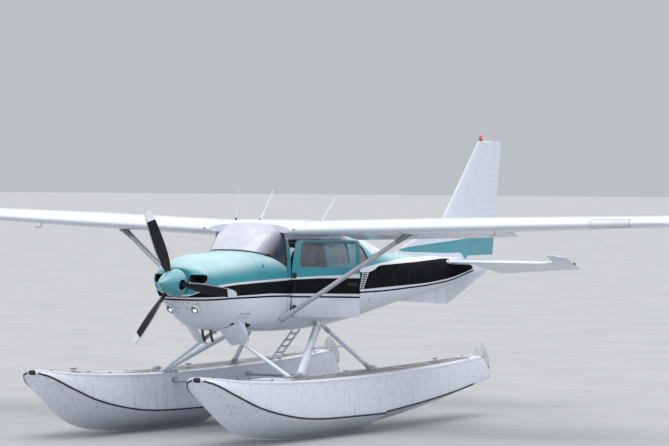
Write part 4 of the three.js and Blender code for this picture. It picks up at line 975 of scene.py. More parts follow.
class Shared:
    """The node groups that the finishes share, built once."""

    weather: bpy.types.NodeTree
    seams: bpy.types.NodeTree
    scheme: bpy.types.NodeTree

    @classmethod
    def build(cls) -> None:
        """Makes the groups."""
        cls.weather, cls.seams, cls.scheme = weather_group(), rivet_group(), livery_group()


class Seams(Enum):
    """Where a finish shows its seams and rivets."""

    NONE = "none"
    EDGE = "along the panel's own edges"
    SPAN = "at stations across the span"
    HULL = "at stations along the length"


class Scheme(Enum):
    """Which colours a paint shows."""

    PLAIN = "one colour"
    HULL = "teal, white and black by the paint lines"
    FIN = "teal below a slanting line, white above"
    BLADE = "black with a white tip and a bare leading edge"
    DECK = "a walkway strip down a white deck"


class Finish:
    """What every finish shares: it makes a material and says what feeds the shader."""

    name: str

    def inputs(self, g: Graph) -> dict[str, object]:
        """What feeds the shader's inputs, by name."""
        raise NotImplementedError

    def build(self) -> bpy.types.Material:
        """Makes the material.

        Returns:
            The material.
        """
        material = bpy.data.materials.new(self.name)
        material.use_nodes = True
        g = Graph(material.node_tree)
        g.fed(material.node_tree.nodes["Principled BSDF"], self.inputs(g))
        return material


@dataclass(frozen=True)
class Paint(Finish):
    """A coat of paint with its weathering, and a painted sky sheen on its up-facing parts."""

    name: str
    base: tuple = WHITE
    # Paler colour mixed in where the paint faces up: sun fading and a painted sky sheen
    faded: tuple = WHITE_FADE_AND_SHEEN
    dirt: tuple = (0.16, 0.135, 0.10, 1.0)
    dirt_amount: float = 0.16
    fade_amount: float = 0.35
    gloss: float = 0.22
    metal: float = 0.0
    coat: float = 0.35
    mirror: float = 0.5
    wave: float = 0.0035
    seams: Seams = Seams.NONE
    scheme: Scheme = Scheme.PLAIN
    spacing: float = 0.38

    def colours(self, g: Graph) -> tuple[object, object, dict[str, object]]:
        """The paint's colours by its scheme.

        Args:
            g: the material's graph.

        Returns:
            The fresh colour, the paler up-facing colour of sun fading and painted sky sheen, and the
            shader inputs that follow the scheme.
        """
        if self.scheme is Scheme.HULL:
            masks = g.group(Shared.scheme, {
                k: g.stored("line_" + k.lower())
                for k in ("Top", "Stripe", "Low", "Pin", "Slant", "Roof")})
            black = masks["Black"]
            fresh = g.mix(black, g.mix(masks["Teal"], self.base, TEAL), BLACK)
            faded = g.mix(black, g.mix(masks["Teal"], self.faded, TEAL_FADE_AND_SHEEN), BLACK_FADE_AND_SHEEN)
            return fresh, faded, {"Coat Weight": g.ramp(black, 0, 1, self.coat, 0.0)}
        if self.scheme is Scheme.FIN:
            teal = g.times(g.ramp(g.stored("line_fin"), -PAINT_EDGE, PAINT_EDGE, 1.0, 0.0),
                           g.ramp(g.stored("line_foot"), -PAINT_EDGE, PAINT_EDGE))
            cap = g.ramp(g.math("ABSOLUTE", g.stored("line_cap")), 0.0012, 0.002, 1.0, 0.0)
            fresh = g.mix(g.times(cap, 0.6), g.mix(teal, self.base, TEAL), (0.2, 0.2, 0.22, 1))
            return fresh, g.mix(teal, self.faded, TEAL_FADE_AND_SHEEN), {}
        if self.scheme is Scheme.BLADE:
            tip = g.ramp(g.stored("reach"), 0.8045, 0.8055)
            scuffed = g.math("ADD", g.stored("lead"), g.times(g.noise(60.0), 0.05))
            bare = g.times(g.ramp(scuffed, 0.93, 0.955), 0.85)
            fresh = g.mix(bare, g.mix(tip, self.base, TIP_WHITE), BARE_ALLOY)
            return fresh, fresh, {"Metallic": bare}
        if self.scheme is Scheme.DECK:
            strip = g.ramp(g.stored("walk"), -0.001, 0.001)
            tread = g.mix(g.ramp(g.noise(420.0, 2.0), 0.35, 0.7), (0.17, 0.155, 0.14, 1),
                          (0.30, 0.28, 0.26, 1))
            worn = g.ramp(g.noise(5.0, 5.0, roughness=0.7), 0.45, 0.72)
            tread = g.mix(g.times(worn, 0.5), tread, (0.42, 0.40, 0.38, 1))
            return g.mix(strip, self.base, tread), g.mix(strip, self.faded, tread), {}
        return self.base, self.faded, {}

    def inputs(self, g: Graph) -> dict[str, object]:
        """Weathers the scheme's colours, paints a sky sheen on their up-facing parts, and adds seams
        and a slight wave.

        Args:
            g: the material's graph.

        Returns:
            What feeds the shader's inputs, by name.
        """
        fresh, faded, own = self.colours(g)
        look = g.group(Shared.weather, {
            "Base": fresh, "Dirt": self.dirt, "Faded": faded, "Dirt Amount": self.dirt_amount,
            "Fade Amount": self.fade_amount, "Gloss": self.gloss})
        colour, height = look["Color"], g.times(look["Height"], self.wave)
        if self.seams is not Seams.NONE:
            colour, height = self.add_seams(g, colour, height)
        return {"Base Color": colour, "Roughness": look["Roughness"], "Metallic": self.metal,
                "Specular IOR Level": self.mirror, "Coat Weight": self.coat,
                "Coat Roughness": 0.08, "Normal": g.bump(height, 0.6, 1.0), **own}

    def add_seams(self, g: Graph, colour: bpy.types.NodeSocket,
                  height: bpy.types.NodeSocket) -> tuple[bpy.types.NodeSocket, bpy.types.NodeSocket]:
        """Adds seam lines and rivets to a colour and a height.

        Args:
            g: the material's graph.
            colour: the paint.
            height: the bump height so far, in metres.

        Returns:
            The darkened colour and the height with seams and rivets.
        """
        x, y, z = g.axes()
        once, shade = 20.0, 0.3
        if self.seams is Seams.EDGE:
            runs = [(g.stored("edge"), g.math("ADD", y, z), once, 0.0)]
        elif self.seams is Seams.SPAN:
            shade = 0.5
            runs = [(x, y, self.spacing, 0.03), (g.stored("chord"), x, once, -0.30)]
        else:
            runs = [(y, g.math("ADD", x, z), self.spacing, 0.11)]
        for across, along, spacing, offset in runs:
            row = g.group(Shared.seams, {"Across": across, "Along": along, "Spacing": spacing,
                                         "Offset": offset})
            height = g.math("ADD", height, g.times(row["Height"], 0.0009))
            colour = g.mix(g.times(row["Mask"], shade), colour, (0.06, 0.06, 0.065, 1))
        return colour, height


@dataclass(frozen=True)
class Glazing(Finish):
    """Acrylic sheet, clear or hazed by age, with fine scratches; the windshield's pale haze colour is
    painted sky glare.
    """

    name: str
    tint: tuple
    haze: tuple
    clear: float
    roughness: float = 0.03
    # Dark colour where the stored clear share is high: painted shade of the cabin behind the glass
    side: tuple | None = None

    def inputs(self, g: Graph) -> dict[str, object]:
        """A smeared tint, painted glare and cabin shade where a side colour is given, scratches in the
        gloss, and a plain transmission.

        Args:
            g: the material's graph.

        Returns:
            What feeds the shader's inputs, by name.
        """
        colour = g.mix(g.ramp(g.noise(2.3, 5.0, roughness=0.65), 0.35, 0.75), self.tint, self.haze)
        # Painted light: where a side colour is given, the pale tint and haze stand in for the sky's
        # glare, and the side colour, swapped in by the stored clear share, for the shaded cabin seen
        # through
        if self.side:
            colour = g.mix(g.stored("clear"), colour, self.side)
        fine = g.ramp(g.noise(240.0, 2.0), 0.62, 0.8, self.roughness, self.roughness + 0.06)
        return {"Base Color": colour, "Roughness": fine, "Transmission Weight": self.clear,
                "IOR": 1.49}


@dataclass(frozen=True)
class Metal(Finish):
    """Bare or burnt metal with grain and grime."""

    name: str
    base: tuple
    dark: tuple
    roughness: float = 0.35
    metal: float = 0.9

    def inputs(self, g: Graph) -> dict[str, object]:
        """Patches of two tones, weathered, with a fine grain.

        Args:
            g: the material's graph.

        Returns:
            What feeds the shader's inputs, by name.
        """
        patches = g.ramp(g.noise(7.2, 6.0, roughness=0.7), 0.4, 0.75)
        look = g.group(Shared.weather, {
            "Base": g.mix(patches, self.base, self.dark), "Dirt": (0.05, 0.045, 0.04, 1),
            "Faded": self.base, "Dirt Amount": 0.3, "Fade Amount": 0.05, "Gloss": self.roughness})
        return {"Base Color": look["Color"], "Roughness": look["Roughness"],
                "Metallic": self.metal, "Normal": g.bump(g.noise(300.0, 2.0), 0.25, 0.001)}


@dataclass(frozen=True)
class Cloth(Finish):
    """Woven seat cloth with a fine twill and a little sheen."""

    name: str
    dark: tuple
    light: tuple
    pitch: float = 900.0

    def inputs(self, g: Graph) -> dict[str, object]:
        """Two crossed sets of fine waves make the weave.

        Args:
            g: the material's graph.

        Returns:
            What feeds the shader's inputs, by name.
        """
        x, y, z = g.axes()
        up = g.math("SINE", g.times(g.math("ADD", y, z), self.pitch))
        over = g.math("SINE", g.times(g.math("ADD", x, g.times(z, 0.6)), self.pitch))
        weave = g.times(g.math("ADD", up, over), 0.5)
        worn = g.times(g.ramp(g.noise(9.0, 5.0), 0.45, 0.75), 0.4)
        colour = g.mix(g.ramp(weave, -0.6, 0.8), self.dark, self.light)
        return {"Base Color": g.mix(worn, colour, self.light),
                "Roughness": g.ramp(weave, -1.0, 1.0, 0.95, 0.8), "Sheen Weight": 0.25,
                "Normal": g.bump(weave, 0.5, 0.0006)}


@dataclass(frozen=True)
class Moulding(Finish):
    """Matt plastic, rubber or fibreglass trim with a pebbled grain."""

    name: str
    base: tuple
    light: tuple
    roughness: float = 0.7
    grain: float = 320.0

    def inputs(self, g: Graph) -> dict[str, object]:
        """A worn colour over a pebbled grain.

        Args:
            g: the material's graph.

        Returns:
            What feeds the shader's inputs, by name.
        """
        pebble = g.noise(self.grain, 3.0)
        worn = g.times(g.ramp(g.noise(6.0, 6.0, roughness=0.7), 0.45, 0.75), 0.6)
        gloss = g.ramp(pebble, 0.3, 0.7, self.roughness - 0.06, self.roughness + 0.08)
        return {"Base Color": g.mix(worn, self.base, self.light), "Roughness": gloss,
                "Normal": g.bump(pebble, 0.35, 0.0006)}


@dataclass(frozen=True)
class Lens(Finish):
    """A moulded lamp cover, ribbed inside."""

    name: str
    tint: tuple
    glow: tuple = (0.0, 0.0, 0.0, 1.0)
    strength: float = 0.0
    clear: float = 0.6

    def inputs(self, g: Graph) -> dict[str, object]:
        """A dusty tint over fine ribs, with a plain glow and transmission.

        Args:
            g: the material's graph.

        Returns:
            What feeds the shader's inputs, by name.
        """
        dust = g.ramp(g.noise(30.0, 5.0), 0.4, 0.8, 0.0, 0.35)
        ribs = g.math("SINE", g.times(g.axes()[2], 900.0))
        return {"Base Color": g.mix(dust, self.tint, (0.6, 0.55, 0.5, 1)),
                "Roughness": g.ramp(g.noise(80.0), 0.3, 0.7, 0.08, 0.2),
                "Transmission Weight": self.clear, "Emission Color": self.glow,
                "Emission Strength": self.strength, "Normal": g.bump(ribs, 0.3, 0.0008)}


@dataclass(frozen=True)
class Ground(Finish):
    """The studio floor in two close tones."""

    name: str
    dark: tuple
    light: tuple

    def inputs(self, g: Graph) -> dict[str, object]:
        """Broad patches of the two tones and an uneven gloss."""
        return {"Base Color": g.mix(g.ramp(g.noise(0.6, 4.0), 0.3, 0.7), self.dark, self.light),
                "Roughness": g.ramp(g.noise(3.0, 3.0), 0.3, 0.7, 0.55, 0.7)}


FINISHES = {
    # The hull, tail cone and joint paints take the strongest painted sky sheen, which turns the tops
    # of the cowling and cone nearly white
    "scheme": Paint("hull paint", seams=Seams.EDGE, scheme=Scheme.HULL, fade_amount=0.85,
                    gloss=0.16, coat=0.5, mirror=0.0),
    "cone": Paint("tail cone paint", seams=Seams.HULL, scheme=Scheme.HULL, fade_amount=0.9,
                  gloss=0.2, coat=0.3, mirror=0.0, spacing=0.49),
    "joint": Paint("joint strip paint", scheme=Scheme.HULL, fade_amount=0.85, coat=0.2, mirror=0.0),
    "white": Paint("white paint"),
    "panel_white": Paint("white panel paint", seams=Seams.EDGE, dirt_amount=0.3),
    "wing": Paint("wing paint", seams=Seams.SPAN, spacing=0.36, dirt_amount=0.12, gloss=0.26),
    "tail": Paint("tail surface paint", seams=Seams.SPAN, spacing=0.31, dirt_amount=0.14),
    "fin": Paint("fin paint", scheme=Scheme.FIN, dirt_amount=0.12),
    "ventral": Paint("ventral fin paint", dirt_amount=0.42),
    "float": Paint("float paint", seams=Seams.HULL, spacing=0.41, dirt_amount=0.42,
                   gloss=0.3, coat=0.15, wave=0.006),
    "deck": Paint("float deck paint", scheme=Scheme.DECK, seams=Seams.HULL, spacing=0.41,
                  dirt_amount=0.34, gloss=0.42, coat=0.0),
    "teal": Paint("teal paint", base=TEAL, faded=TEAL_FADE_AND_SHEEN, gloss=0.18, coat=0.6),
    "blade": Paint("blade paint", base=BLACK, scheme=Scheme.BLADE, fade_amount=0.0, gloss=0.4,
                   coat=0.0, mirror=0.15, wave=0.0, dirt_amount=0.03),
    "grey": Paint("strut paint", base=(0.43, 0.45, 0.49, 1), faded=(0.6, 0.62, 0.66, 1),
                  dirt_amount=0.3, gloss=0.3, metal=0.25),
    # The cuff paint is darker than the strut's, standing in for the shade under the wing where the
    # cuff meets it
    "cuff": Paint("strut cuff paint", base=(0.24, 0.255, 0.28, 1), faded=(0.34, 0.355, 0.38, 1),
                  dirt_amount=0.35, gloss=0.42, metal=0.25),
    "rudder": Paint("water rudder paint", base=(0.66, 0.67, 0.70, 1), dirt_amount=0.45, gloss=0.4,
                    coat=0.0),
    "steel": Metal("bare steel", (0.55, 0.56, 0.58, 1), (0.34, 0.33, 0.32, 1), 0.28),
    "engine": Metal("engine casting", (0.16, 0.16, 0.165, 1), (0.05, 0.048, 0.045, 1), 0.55, 0.7),
    "exhaust": Metal("burnt exhaust", (0.10, 0.085, 0.075, 1), (0.04, 0.03, 0.025, 1), 0.6, 0.6),
    "glass": Glazing("clear acrylic", (0.80, 0.92, 0.96, 1), (0.72, 0.84, 0.92, 1), 0.94),
    # The windshield's pale lavender colours are painted sky glare, and its dark side colour painted
    # shade of the cabin seen through
    "screen": Glazing("hazed acrylic", (0.70, 0.72, 0.83, 1), (0.86, 0.87, 0.93, 1), 0.26, 0.06,
                      (0.05, 0.07, 0.10, 1)),
    "cover": Glazing("hazed lamp cover", (0.78, 0.80, 0.84, 1), (0.86, 0.87, 0.90, 1), 0.15, 0.08),
    "cloth": Cloth("seat cloth", (0.018, 0.032, 0.085, 1), (0.05, 0.075, 0.15, 1)),
    "trim": Moulding("cream trim", (0.52, 0.49, 0.42, 1), (0.62, 0.60, 0.55, 1)),
    "dark": Moulding("dark trim", (0.025, 0.026, 0.028, 1), (0.07, 0.07, 0.072, 1)),
    "rubber": Moulding("rubber seal", (0.016, 0.016, 0.017, 1), (0.05, 0.05, 0.05, 1), 0.62),
    "floor": Moulding("floor mat", (0.06, 0.06, 0.065, 1), (0.11, 0.11, 0.11, 1), 0.85, 150.0),
    "seam": Moulding("seam sealant", (0.26, 0.26, 0.25, 1), (0.36, 0.36, 0.35, 1), 0.6),
    "ground": Ground("pale floor", (0.40, 0.405, 0.41, 1), (0.44, 0.445, 0.45, 1)),
    "dial": Moulding("dial glass", (0.004, 0.004, 0.005, 1), (0.012, 0.012, 0.014, 1), 0.15),
    "clear": Lens("landing lamp glass", (0.93, 0.94, 0.96, 1), clear=0.93),
    # The bulb's white glow is painted glare on the chin lamps
    "bulb": Lens("lamp bulb", (0.95, 0.95, 0.95, 1), (1.0, 1.0, 1.0, 1), 0.6, 0.0),
    "red": Lens("red lamp cover", (0.75, 0.035, 0.015, 1), (0.8, 0.03, 0.01, 1), 0.35, 0.35),
    "green": Lens("green lamp cover", (0.02, 0.42, 0.16, 1), clear=0.5),
}


@cache
def material(key: str) -> bpy.types.Material:
    """The material of a finish, made the first time it is asked for."""
    return FINISHES[key].build()


# Paint lines along the fuselage as station and height, in metres
BAND_TOP = [(-1.0, -.167), (-.978, -.16), (-.953, -.107), (-.88, -.07), (-.725, -.049),
            (-.46, -.029), (-.04, -.013), (.66, .005), (.70, .009), (1.06, .032), (1.29, .035),
            (1.55, .038), (2.43, .06), (2.73, .056), (2.84, .070), (2.95, .092), (3.05, .122),
            (3.163, .134), (3.91, .140), (4.449, .147), (4.976, .161), (5.45, .175), (5.9, .15),
            (6.35, .036)]
STRIPE_TOP = [(-1.0, -.14), (-.978, -.133), (-.953, -.08), (-.88, -.043), (-.725, -.022),
              (-.46, -.002), (-.04, .014), (.66, .032), (.70, .036), (1.06, .058), (1.33, .075),
              (1.55, .096), (2.52, .115), (3.03, .155), (3.18, .164), (3.93, .194),
              (4.413, .206), (5.219, .215), (5.648, .228), (6.2, .25)]
BAND_LOW = [(-.974, -.177), (-.92, -.173), (-.45, -.164), (.23, -.151), (.66, -.165),
            (.70, -.164), (1.06, -.159), (1.55, -.156), (2.54, -.162), (3.493, -.158),
            (4.031, -.154), (4.546, -.149), (4.889, -.140), (5.223, -.122), (5.475, -.104),
            (5.767, -.075), (6.146, -.014), (6.4, .03)]
PIN_LINE = [(-.955, -.207), (-.45, -.19), (.23, -.186), (.66, -.194), (.70, -.204), (1.06, -.199),
            (1.55, -.198), (2.61, -.200), (3.248, -.205), (3.698, -.201), (4.228, -.191),
            (4.746, -.180), (5.083, -.164), (5.435, -.146), (5.76, -.112), (6.1, -.05), (6.4, 0)]
ROOF_LINE = [(2.5, .50), (2.655, .452), (2.781, .358), (2.883, .285), (3.155, .293),
             (3.45, .306), (3.8, .30), (4.0, .29)]
SLANT_FRONT = ((2.432, -.170), (2.537, .066))
SLANT_REAR = ((2.545, -.165), (2.722, .056))
FIN_LINE = [(4.298, .313), (4.625, .343), (5.18, .376), (5.69, .406), (6.152, .434), (7.05, .480)]
FIN_FOOT = [(4.217, .305), (4.489, .283), (4.764, .269), (5.042, .262), (5.578, .243),
            (6.05, .242), (6.15, .15), (6.16, -1)]


def scheme_values(p: Array) -> dict[str, Array]:
    """Distances from points to the fuselage's paint lines.

    Args:
        p: (n, 3) points in the aircraft frame.

    Returns:
        Height above each line, the slanted gap's least horizontal distance, and the finish's names.
    """
    y, z = p[:, 1], p[:, 2]
    out = {}
    for name, rows in (("top", BAND_TOP), ("stripe", STRIPE_TOP), ("low", BAND_LOW),
                       ("pin", PIN_LINE), ("roof", ROOF_LINE)):
        at = np.array(rows)
        out["line_" + name] = z - np.interp(y, at[:, 0], at[:, 1])
    out["line_pin"] = np.where((y > 6.35) | (y < -0.985), 1.0, out["line_pin"])
    out["line_low"] = np.where(y > 6.3, -1.0, out["line_low"])

    def across(line: Outline) -> Array:
        """Distance aft of a slanted line."""
        (y0, z0), (y1, z1) = line
        return (y - y0 - (z - z0) * (y1 - y0) / (z1 - z0)) * 0.8

    out["line_slant"] = np.minimum(across(SLANT_FRONT), -across(SLANT_REAR))
    return out


def torus(rings: Array, finish: int = 0) -> Patch:
    """A body through rings whose last one joins the first, so that it is closed both ways.

    Args:
        rings: (k, n, 3) points.
        finish: finish number.

    Returns:
        The closed surface.
    """
    k, n, _ = rings.shape
    index = np.arange(k * n).reshape(k, n)
    right, down = np.roll(index, -1, 1), np.roll(index, -1, 0)
    faces = np.stack([index, right, np.roll(right, -1, 0), down], -1).reshape(-1, 4)
    return outward(Patch(rings.reshape(-1, 3), faces, np.full(len(faces), finish)))


def hoop(path: Array, profile: Array, normal: Array, finish: int = 0) -> Patch:
    """A profile carried round a closed path: point = path + normal * u + across * v.

    Args:
        path: (k, 3) points of a closed path.
        profile: (n, 2) outline, its first direction along the normal.
        normal: (k, 3) or (3,) directions away from the surface that the path lies on.
        finish: finish number.

    Returns:
        The closed surface.
    """
    along = unit(np.roll(path, -1, 0) - np.roll(path, 1, 0))
    out = np.broadcast_to(np.asarray(normal, float), path.shape)
    across = unit(np.cross(along, out))
    rings = (path[:, None] + out[:, None] * profile[None, :, :1]
             + across[:, None] * profile[None, :, 1:])
    return torus(rings, finish)


def box_ring(half_u: float, half_v: float, corner: float) -> Array:
    """A rounded rectangle round the origin, 4 to 5 points on each corner."""
    return rounded([[half_u, half_v], [-half_u, half_v], [-half_u, -half_v], [half_u, -half_v]],
                   corner, 4)


# Wing section and plan

WING_ROOT_X, WING_BREAK_X, WING_TIP_X = 0.580, 2.540, 5.660
INCIDENCE, DIHEDRAL = math.radians(1.5), math.radians(1.9)
TRAILING_EDGE = 0.0025


def airfoil(share: Array) -> tuple[Array, Array]:
    """Upper and lower height of the wing section as shares of the chord.

    Args:
        share: distance behind the leading edge as a share of the chord.

    Returns:
        The mean line plus and minus the half thickness of a 12 percent section.
    """
    half = 0.6 * (0.2969 * np.sqrt(share) - 0.126 * share - 0.3516 * share**2
                  + 0.2843 * share**3 - 0.1036 * share**4)
    fore = 0.125 * (0.8 * share - share**2)
    aft = 0.02 / 0.36 * (0.2 + 0.8 * share - share**2)
    line = np.where(share < 0.4, fore, aft)
    return line + half, line - half


def wing_plan(x: Array) -> tuple[Array, Array, Array]:
    """Chord, leading edge station and leading edge height at a distance from the middle."""
    share = np.clip((x - WING_BREAK_X) / (WING_TIP_X - WING_BREAK_X), 0, None)
    return (1.630 - 0.5 * share, 0.590 + 0.241 * share,
            0.620 + (x - WING_ROOT_X) * math.tan(DIHEDRAL))


def wing_point(x: Array, share: Array, rise: Array) -> Array:
    """A point at a share of the chord, raised by a share of the chord, turned by the incidence.

    Args:
        x: distance from the middle.
        share: along the chord.
        rise: across the chord.

    Returns:
        Points (..., 3).
    """
    chord, front, height = wing_plan(x)
    c, s = math.cos(INCIDENCE), math.sin(INCIDENCE)
    x, share, rise = np.broadcast_arrays(x, share, rise)
    return np.stack([x, front + chord * (share * c + rise * s),
                     height + chord * (rise * c - share * s)], -1)


@dataclass
class Fuselage:
    """Cowling, cabin shell with its doors and windows, roof and tail cone."""

    cell: float = 0.0155
    wall: float = 0.032
    cowl_wall: float = 0.012
    door_open: float = 70.0
    door_station: float = 0.700
    flap_open: float = 32.0
    cowl: Skin = field(default_factory=lambda: Skin(COWL_ROWS))
    cabin: Skin = field(default_factory=lambda: Skin(CABIN_ROWS))

    def __post_init__(self) -> None:
        """Works out the outlines of openings, as station and height in metres."""
        windows = {
            "middle": (.060, [[1690, 168], [2170, 168], [2170, 474], [1690, 486]]),
            "rear": (.070, [[2285, 168], [2775, 168], [2640, 400], [2285, 470]]),
            "pilot": (.056, [[784, 160], [1516, 160], [1502, 478], [812, 478]]),
            "right": (.060, [[820, 170], [1520, 170], [1520, 488], [840, 488]]),
            "cargo_front": (.050, [[1722, 168], [2150, 168], [2150, 400], [1722, 405]]),
            "cargo_rear": (.050, [[2305, 168], [2680, 168], [2560, 345], [2305, 392]])}
        self.openings = {key: rounded(np.array(corners) * MM, radius)
                         for key, (radius, corners) in windows.items()}
        self.hinge = np.array([float(self.cabin.side(self.door_station, -0.08)) + 0.004,
                               self.door_station, 0.0])

    def door_outline(self, grow: float) -> Array:
        """The pilot's door, grown by a clearance."""
        a, b, low, high = .700 - grow, 1.560 + grow, -.452 - grow, .505 + grow
        return rounded([[a, low], [b, low], [b, .120], [1.538 + grow, high], [.736 - grow, high],
                        [a, .120]], .046)

    @staticmethod
    def cargo_outlines() -> tuple[Array, Array, Array]:
        """The two cargo doors and the opening that they share."""
        front = rounded([[1.640, -.440], [2.222, -.440], [2.200, .452], [1.640, .452]], .036)
        rear = rounded([[2.228, -.440], [2.770, -.440], [2.770, .150], [2.600, .400],
                        [2.228, .452]], .036)
        both = rounded([[1.634, -.446], [2.776, -.446], [2.776, .150], [2.606, .406],
                        [2.225, .458], [1.634, .458]], .040)
        return front, rear, both

    def under_roof(self, p: Array) -> Array:
        """Distance below the roof piece and outside the rear roof, whichever is nearer.

        Args:
            p: points on the cabin's skin.

        Returns:
            One distance for each point, above zero where a wall may stand.
        """
        y, z = p[..., 1], p[..., 2]
        share = np.clip((y - 0.590) / (1.630 * math.cos(INCIDENCE)), 0, 1)
        low = airfoil(share)[1] - TRAILING_EDGE * share
        floor = np.minimum(wing_point(np.full_like(y, WING_ROOT_X), share, low)[..., 2] - FIT, 0.640)
        ahead = np.maximum(floor - z, y - REAR_ROOF_FRONT)
        beside = np.abs(p[..., 0]) - (REAR_ROOF_HALF + FIT)
        return np.minimum(ahead, np.maximum(beside, ROOF_FOOT - z))

    def panel(self, name: str, skin: Skin, stations: tuple[float, float],
              girths: tuple[float, float], keep: Callable[[Array], Array], wall: float,
              node: str | None = None, body: str = "airframe",
              inner: str = "trim", outer: str = "scheme", turn: bool = False) -> bpy.types.Object:
        """Makes one panel of the hull.

        Args:
            name: the piece's name.
            skin: the hull surface.
            stations: first and last station.
            girths: first and last share of the way round.
            keep: signed distance to the panel's edge.
            wall: thickness.
            node: the frame node that it stands for.
            body: the body that it rides on.
            inner: finish of the inside.
            outer: finish of the outside.
            turn: whether it hangs on the open pilot's door.

        Returns:
            The panel's object.
        """
        u = np.arange(stations[0] - 1.3 * self.cell, stations[1] + 2 * self.cell, self.cell)
        wrap = girths[1] - girths[0] >= 0.999
        count = 4 * int(round(50 * (girths[1] - girths[0])))
        v = np.linspace(*girths, count + 1)[:-1] if wrap else np.linspace(*girths, count + 1)
        patch = cut_shell(skin.point, u, v, keep, wall, wrap, scheme_values)
        if turn:
            patch = patch.mapped(self.open_door)
        return piece(name, patch, f"{outer} {outer} {inner}", node or name, body,
                     bevel=0.0011)

    def open_door(self, p: Array) -> Array:
        """Swings points of the shut pilot's door to where it stands open."""
        return turned(p, (0, 0, 1), -self.door_open, self.hinge)

    def build(self) -> None:
        """Makes every piece of the fuselage."""
        self.build_nose()
        self.build_cowling()
        self.build_cabin()
        self.build_doors()
        self.build_tail_cone()
        self.build_windshield()
        self.build_details()

    def nose_surface(self, u: Array, girth: Array) -> Array:
        """The nose bowl: hull sections to station -0.965, then a rounded face that draws in to
        the shaft's opening.

        Args:
            u: 0 at the bowl's back edge, -1 at the opening.
            girth: share of the way round.

        Returns:
            Points (..., 3).
        """
        t = np.clip(-u, -0.1, 1.05)
        station = -0.88 - np.clip(t / 0.4, -0.2, 1) * 0.085
        p = self.cowl.point(station, girth)
        q = np.clip((t - 0.4) / 0.6, 0, 1.1)
        angle = np.arctan2(p[..., 2] / 0.15, p[..., 0] / 0.33)
        hole = np.stack([0.115 * np.cos(angle), 0 * angle, 0.115 * np.sin(angle)], -1)
        drawn = p * (1 - q[..., None]) + hole * q[..., None]
        dome = 0.035 * np.sin(0.5 * math.pi * np.clip(q / 0.5, 0, 1))
        drawn[..., 1] = station - dome
        return drawn

    def build_nose(self) -> None:
        """Nose bowl with rolled intake lips, ducts and the lamps in its chin."""
        intake = rounded([[.160, -.008], [.384, -.008], [.384, .106], [.160, .106]], .048)

        def keep(p: Array) -> Array:
            """Distance to the shaft's opening, the intakes and the bowl's back edge."""
            flat = np.stack([np.abs(p[..., 0]), p[..., 2]], -1)
            return least([BOWL_REAR - p[..., 1], np.hypot(p[..., 0], p[..., 2]) - 0.125,
                -inside(flat, intake)])

        u = np.linspace(-1.04, 0.06, 44)
        v = np.linspace(0, 1, 241)[:-1]
        bowl = cut_shell(self.nose_surface, u, v, keep, self.cowl_wall, True, scheme_values)
        piece("nose_bowl_panel", bowl, "scheme scheme dark", "nose_bowl",
            bevel=0.002)
        dense = self.nose_surface(*np.meshgrid(np.linspace(-1, 0, 220), np.linspace(0, 1, 700),
                                               indexing="ij")).reshape(-1, 3)
        lips = []
        for side in Side:
            edge = spread(intake, 0.012) * np.array([side.value, 1.0])
            gap = (edge[:, None, 0] - dense[None, :, 0])**2 + (edge[:, None, 1] - dense[None, :, 2])**2
            depth = dense[np.argmin(gap + 0.002 * (dense[None, :, 1] + 1)**2, 1), 1]
            for _ in range(4):
                depth = (np.roll(depth, 1) + depth + np.roll(depth, -1)) / 3
            path = np.stack([edge[:, 0], depth, edge[:, 1]], -1)
            lips.append(hoop(path, circle(0.0075, 10), np.array([0, -1.0, 0])))
            middle = np.array([0.272 * side.value, 0, 0.049])
            rows = []
            for place, share in ((0, 0.97), (0.5, 0.9), (1, 0.84), (1, 0.80), (0.5, 0.87), (0, 0.94)):
                ring = middle + (path - middle) * share
                ring[:, 1] = path[:, 1] * (1 - place) - 0.862 * place + 0.002
                rows.append(ring)
            lips.append(torus(np.array(rows), 1))
            fins = [block((0.272 * side.value, -0.840 + 0.001 * k, 0.000 + 0.0115 * k),
                          (0.21, 0.05, 0.005), 6, 2, 7) for k in range(9)]
            # The dark plate behind the fins closes each intake and stands in for the shade deep inside
            # it
            lips += fins + [slab(intake * np.array([side.value, 1.0]), 1, -0.822, -0.812, finish=1)]
        piece("intake_lips", lips, "teal dark engine")
        studs = []
        rows = [(.04, -.240), (.10, -.240), (.22, -.240), (.34, -.240), (.06, -.308), (.19, -.273)]
        for x, z in rows + [(-x, z) for x, z in rows]:
            gap = (dense[:, 0] - x)**2 + (dense[:, 2] - z)**2
            near = dense[np.argmin(gap + 0.002 * (dense[:, 1] + 1)**2)]
            studs.append(lathe([(0.0, -0.002), (0.0085, -0.001), (0.0075, 0.0016), (0.0, 0.0026)],
                               near, (x, -0.6, z), 12))
        piece("cowl_fasteners", studs, "dark")
        lamps = []
        # Each chin lamp: a white rim, a clear lens, a dark bowl standing in for the shade in the
        # lamp's recess, and a glowing bulb disc that paints the glare on the lens
        for side in Side:
            place = np.array([0.175 * side.value, -0.868, -0.318])
            aim = unit(np.array([0.10 * side.value, -0.86, -0.50]))
            lamps += [lathe([(0.0, 0.0), (0.058, 0.0), (0.064, 0.012), (0.062, 0.022),
                             (0.056, 0.024), (0.052, 0.016), (0.0, 0.014)], place, aim, 36, 0),
                      lathe([(0.0, 0.014), (0.0515, 0.0145), (0.0515, 0.017), (0.0, 0.016)],
                            place, aim, 36, 2),
                      lathe([(0.0, 0.016), (0.026, 0.017), (0.022, 0.024), (0.0, 0.026)],
                            place - [0, 0, 0.008], aim, 24, 3),
                      lathe([(0.0, 0.0175), (0.051, 0.018), (0.046, 0.026), (0.025, 0.031),
                             (0.0, 0.032)], place, aim, 36, 1)]
        piece("chin_lamps", lamps, "white clear dark bulb")

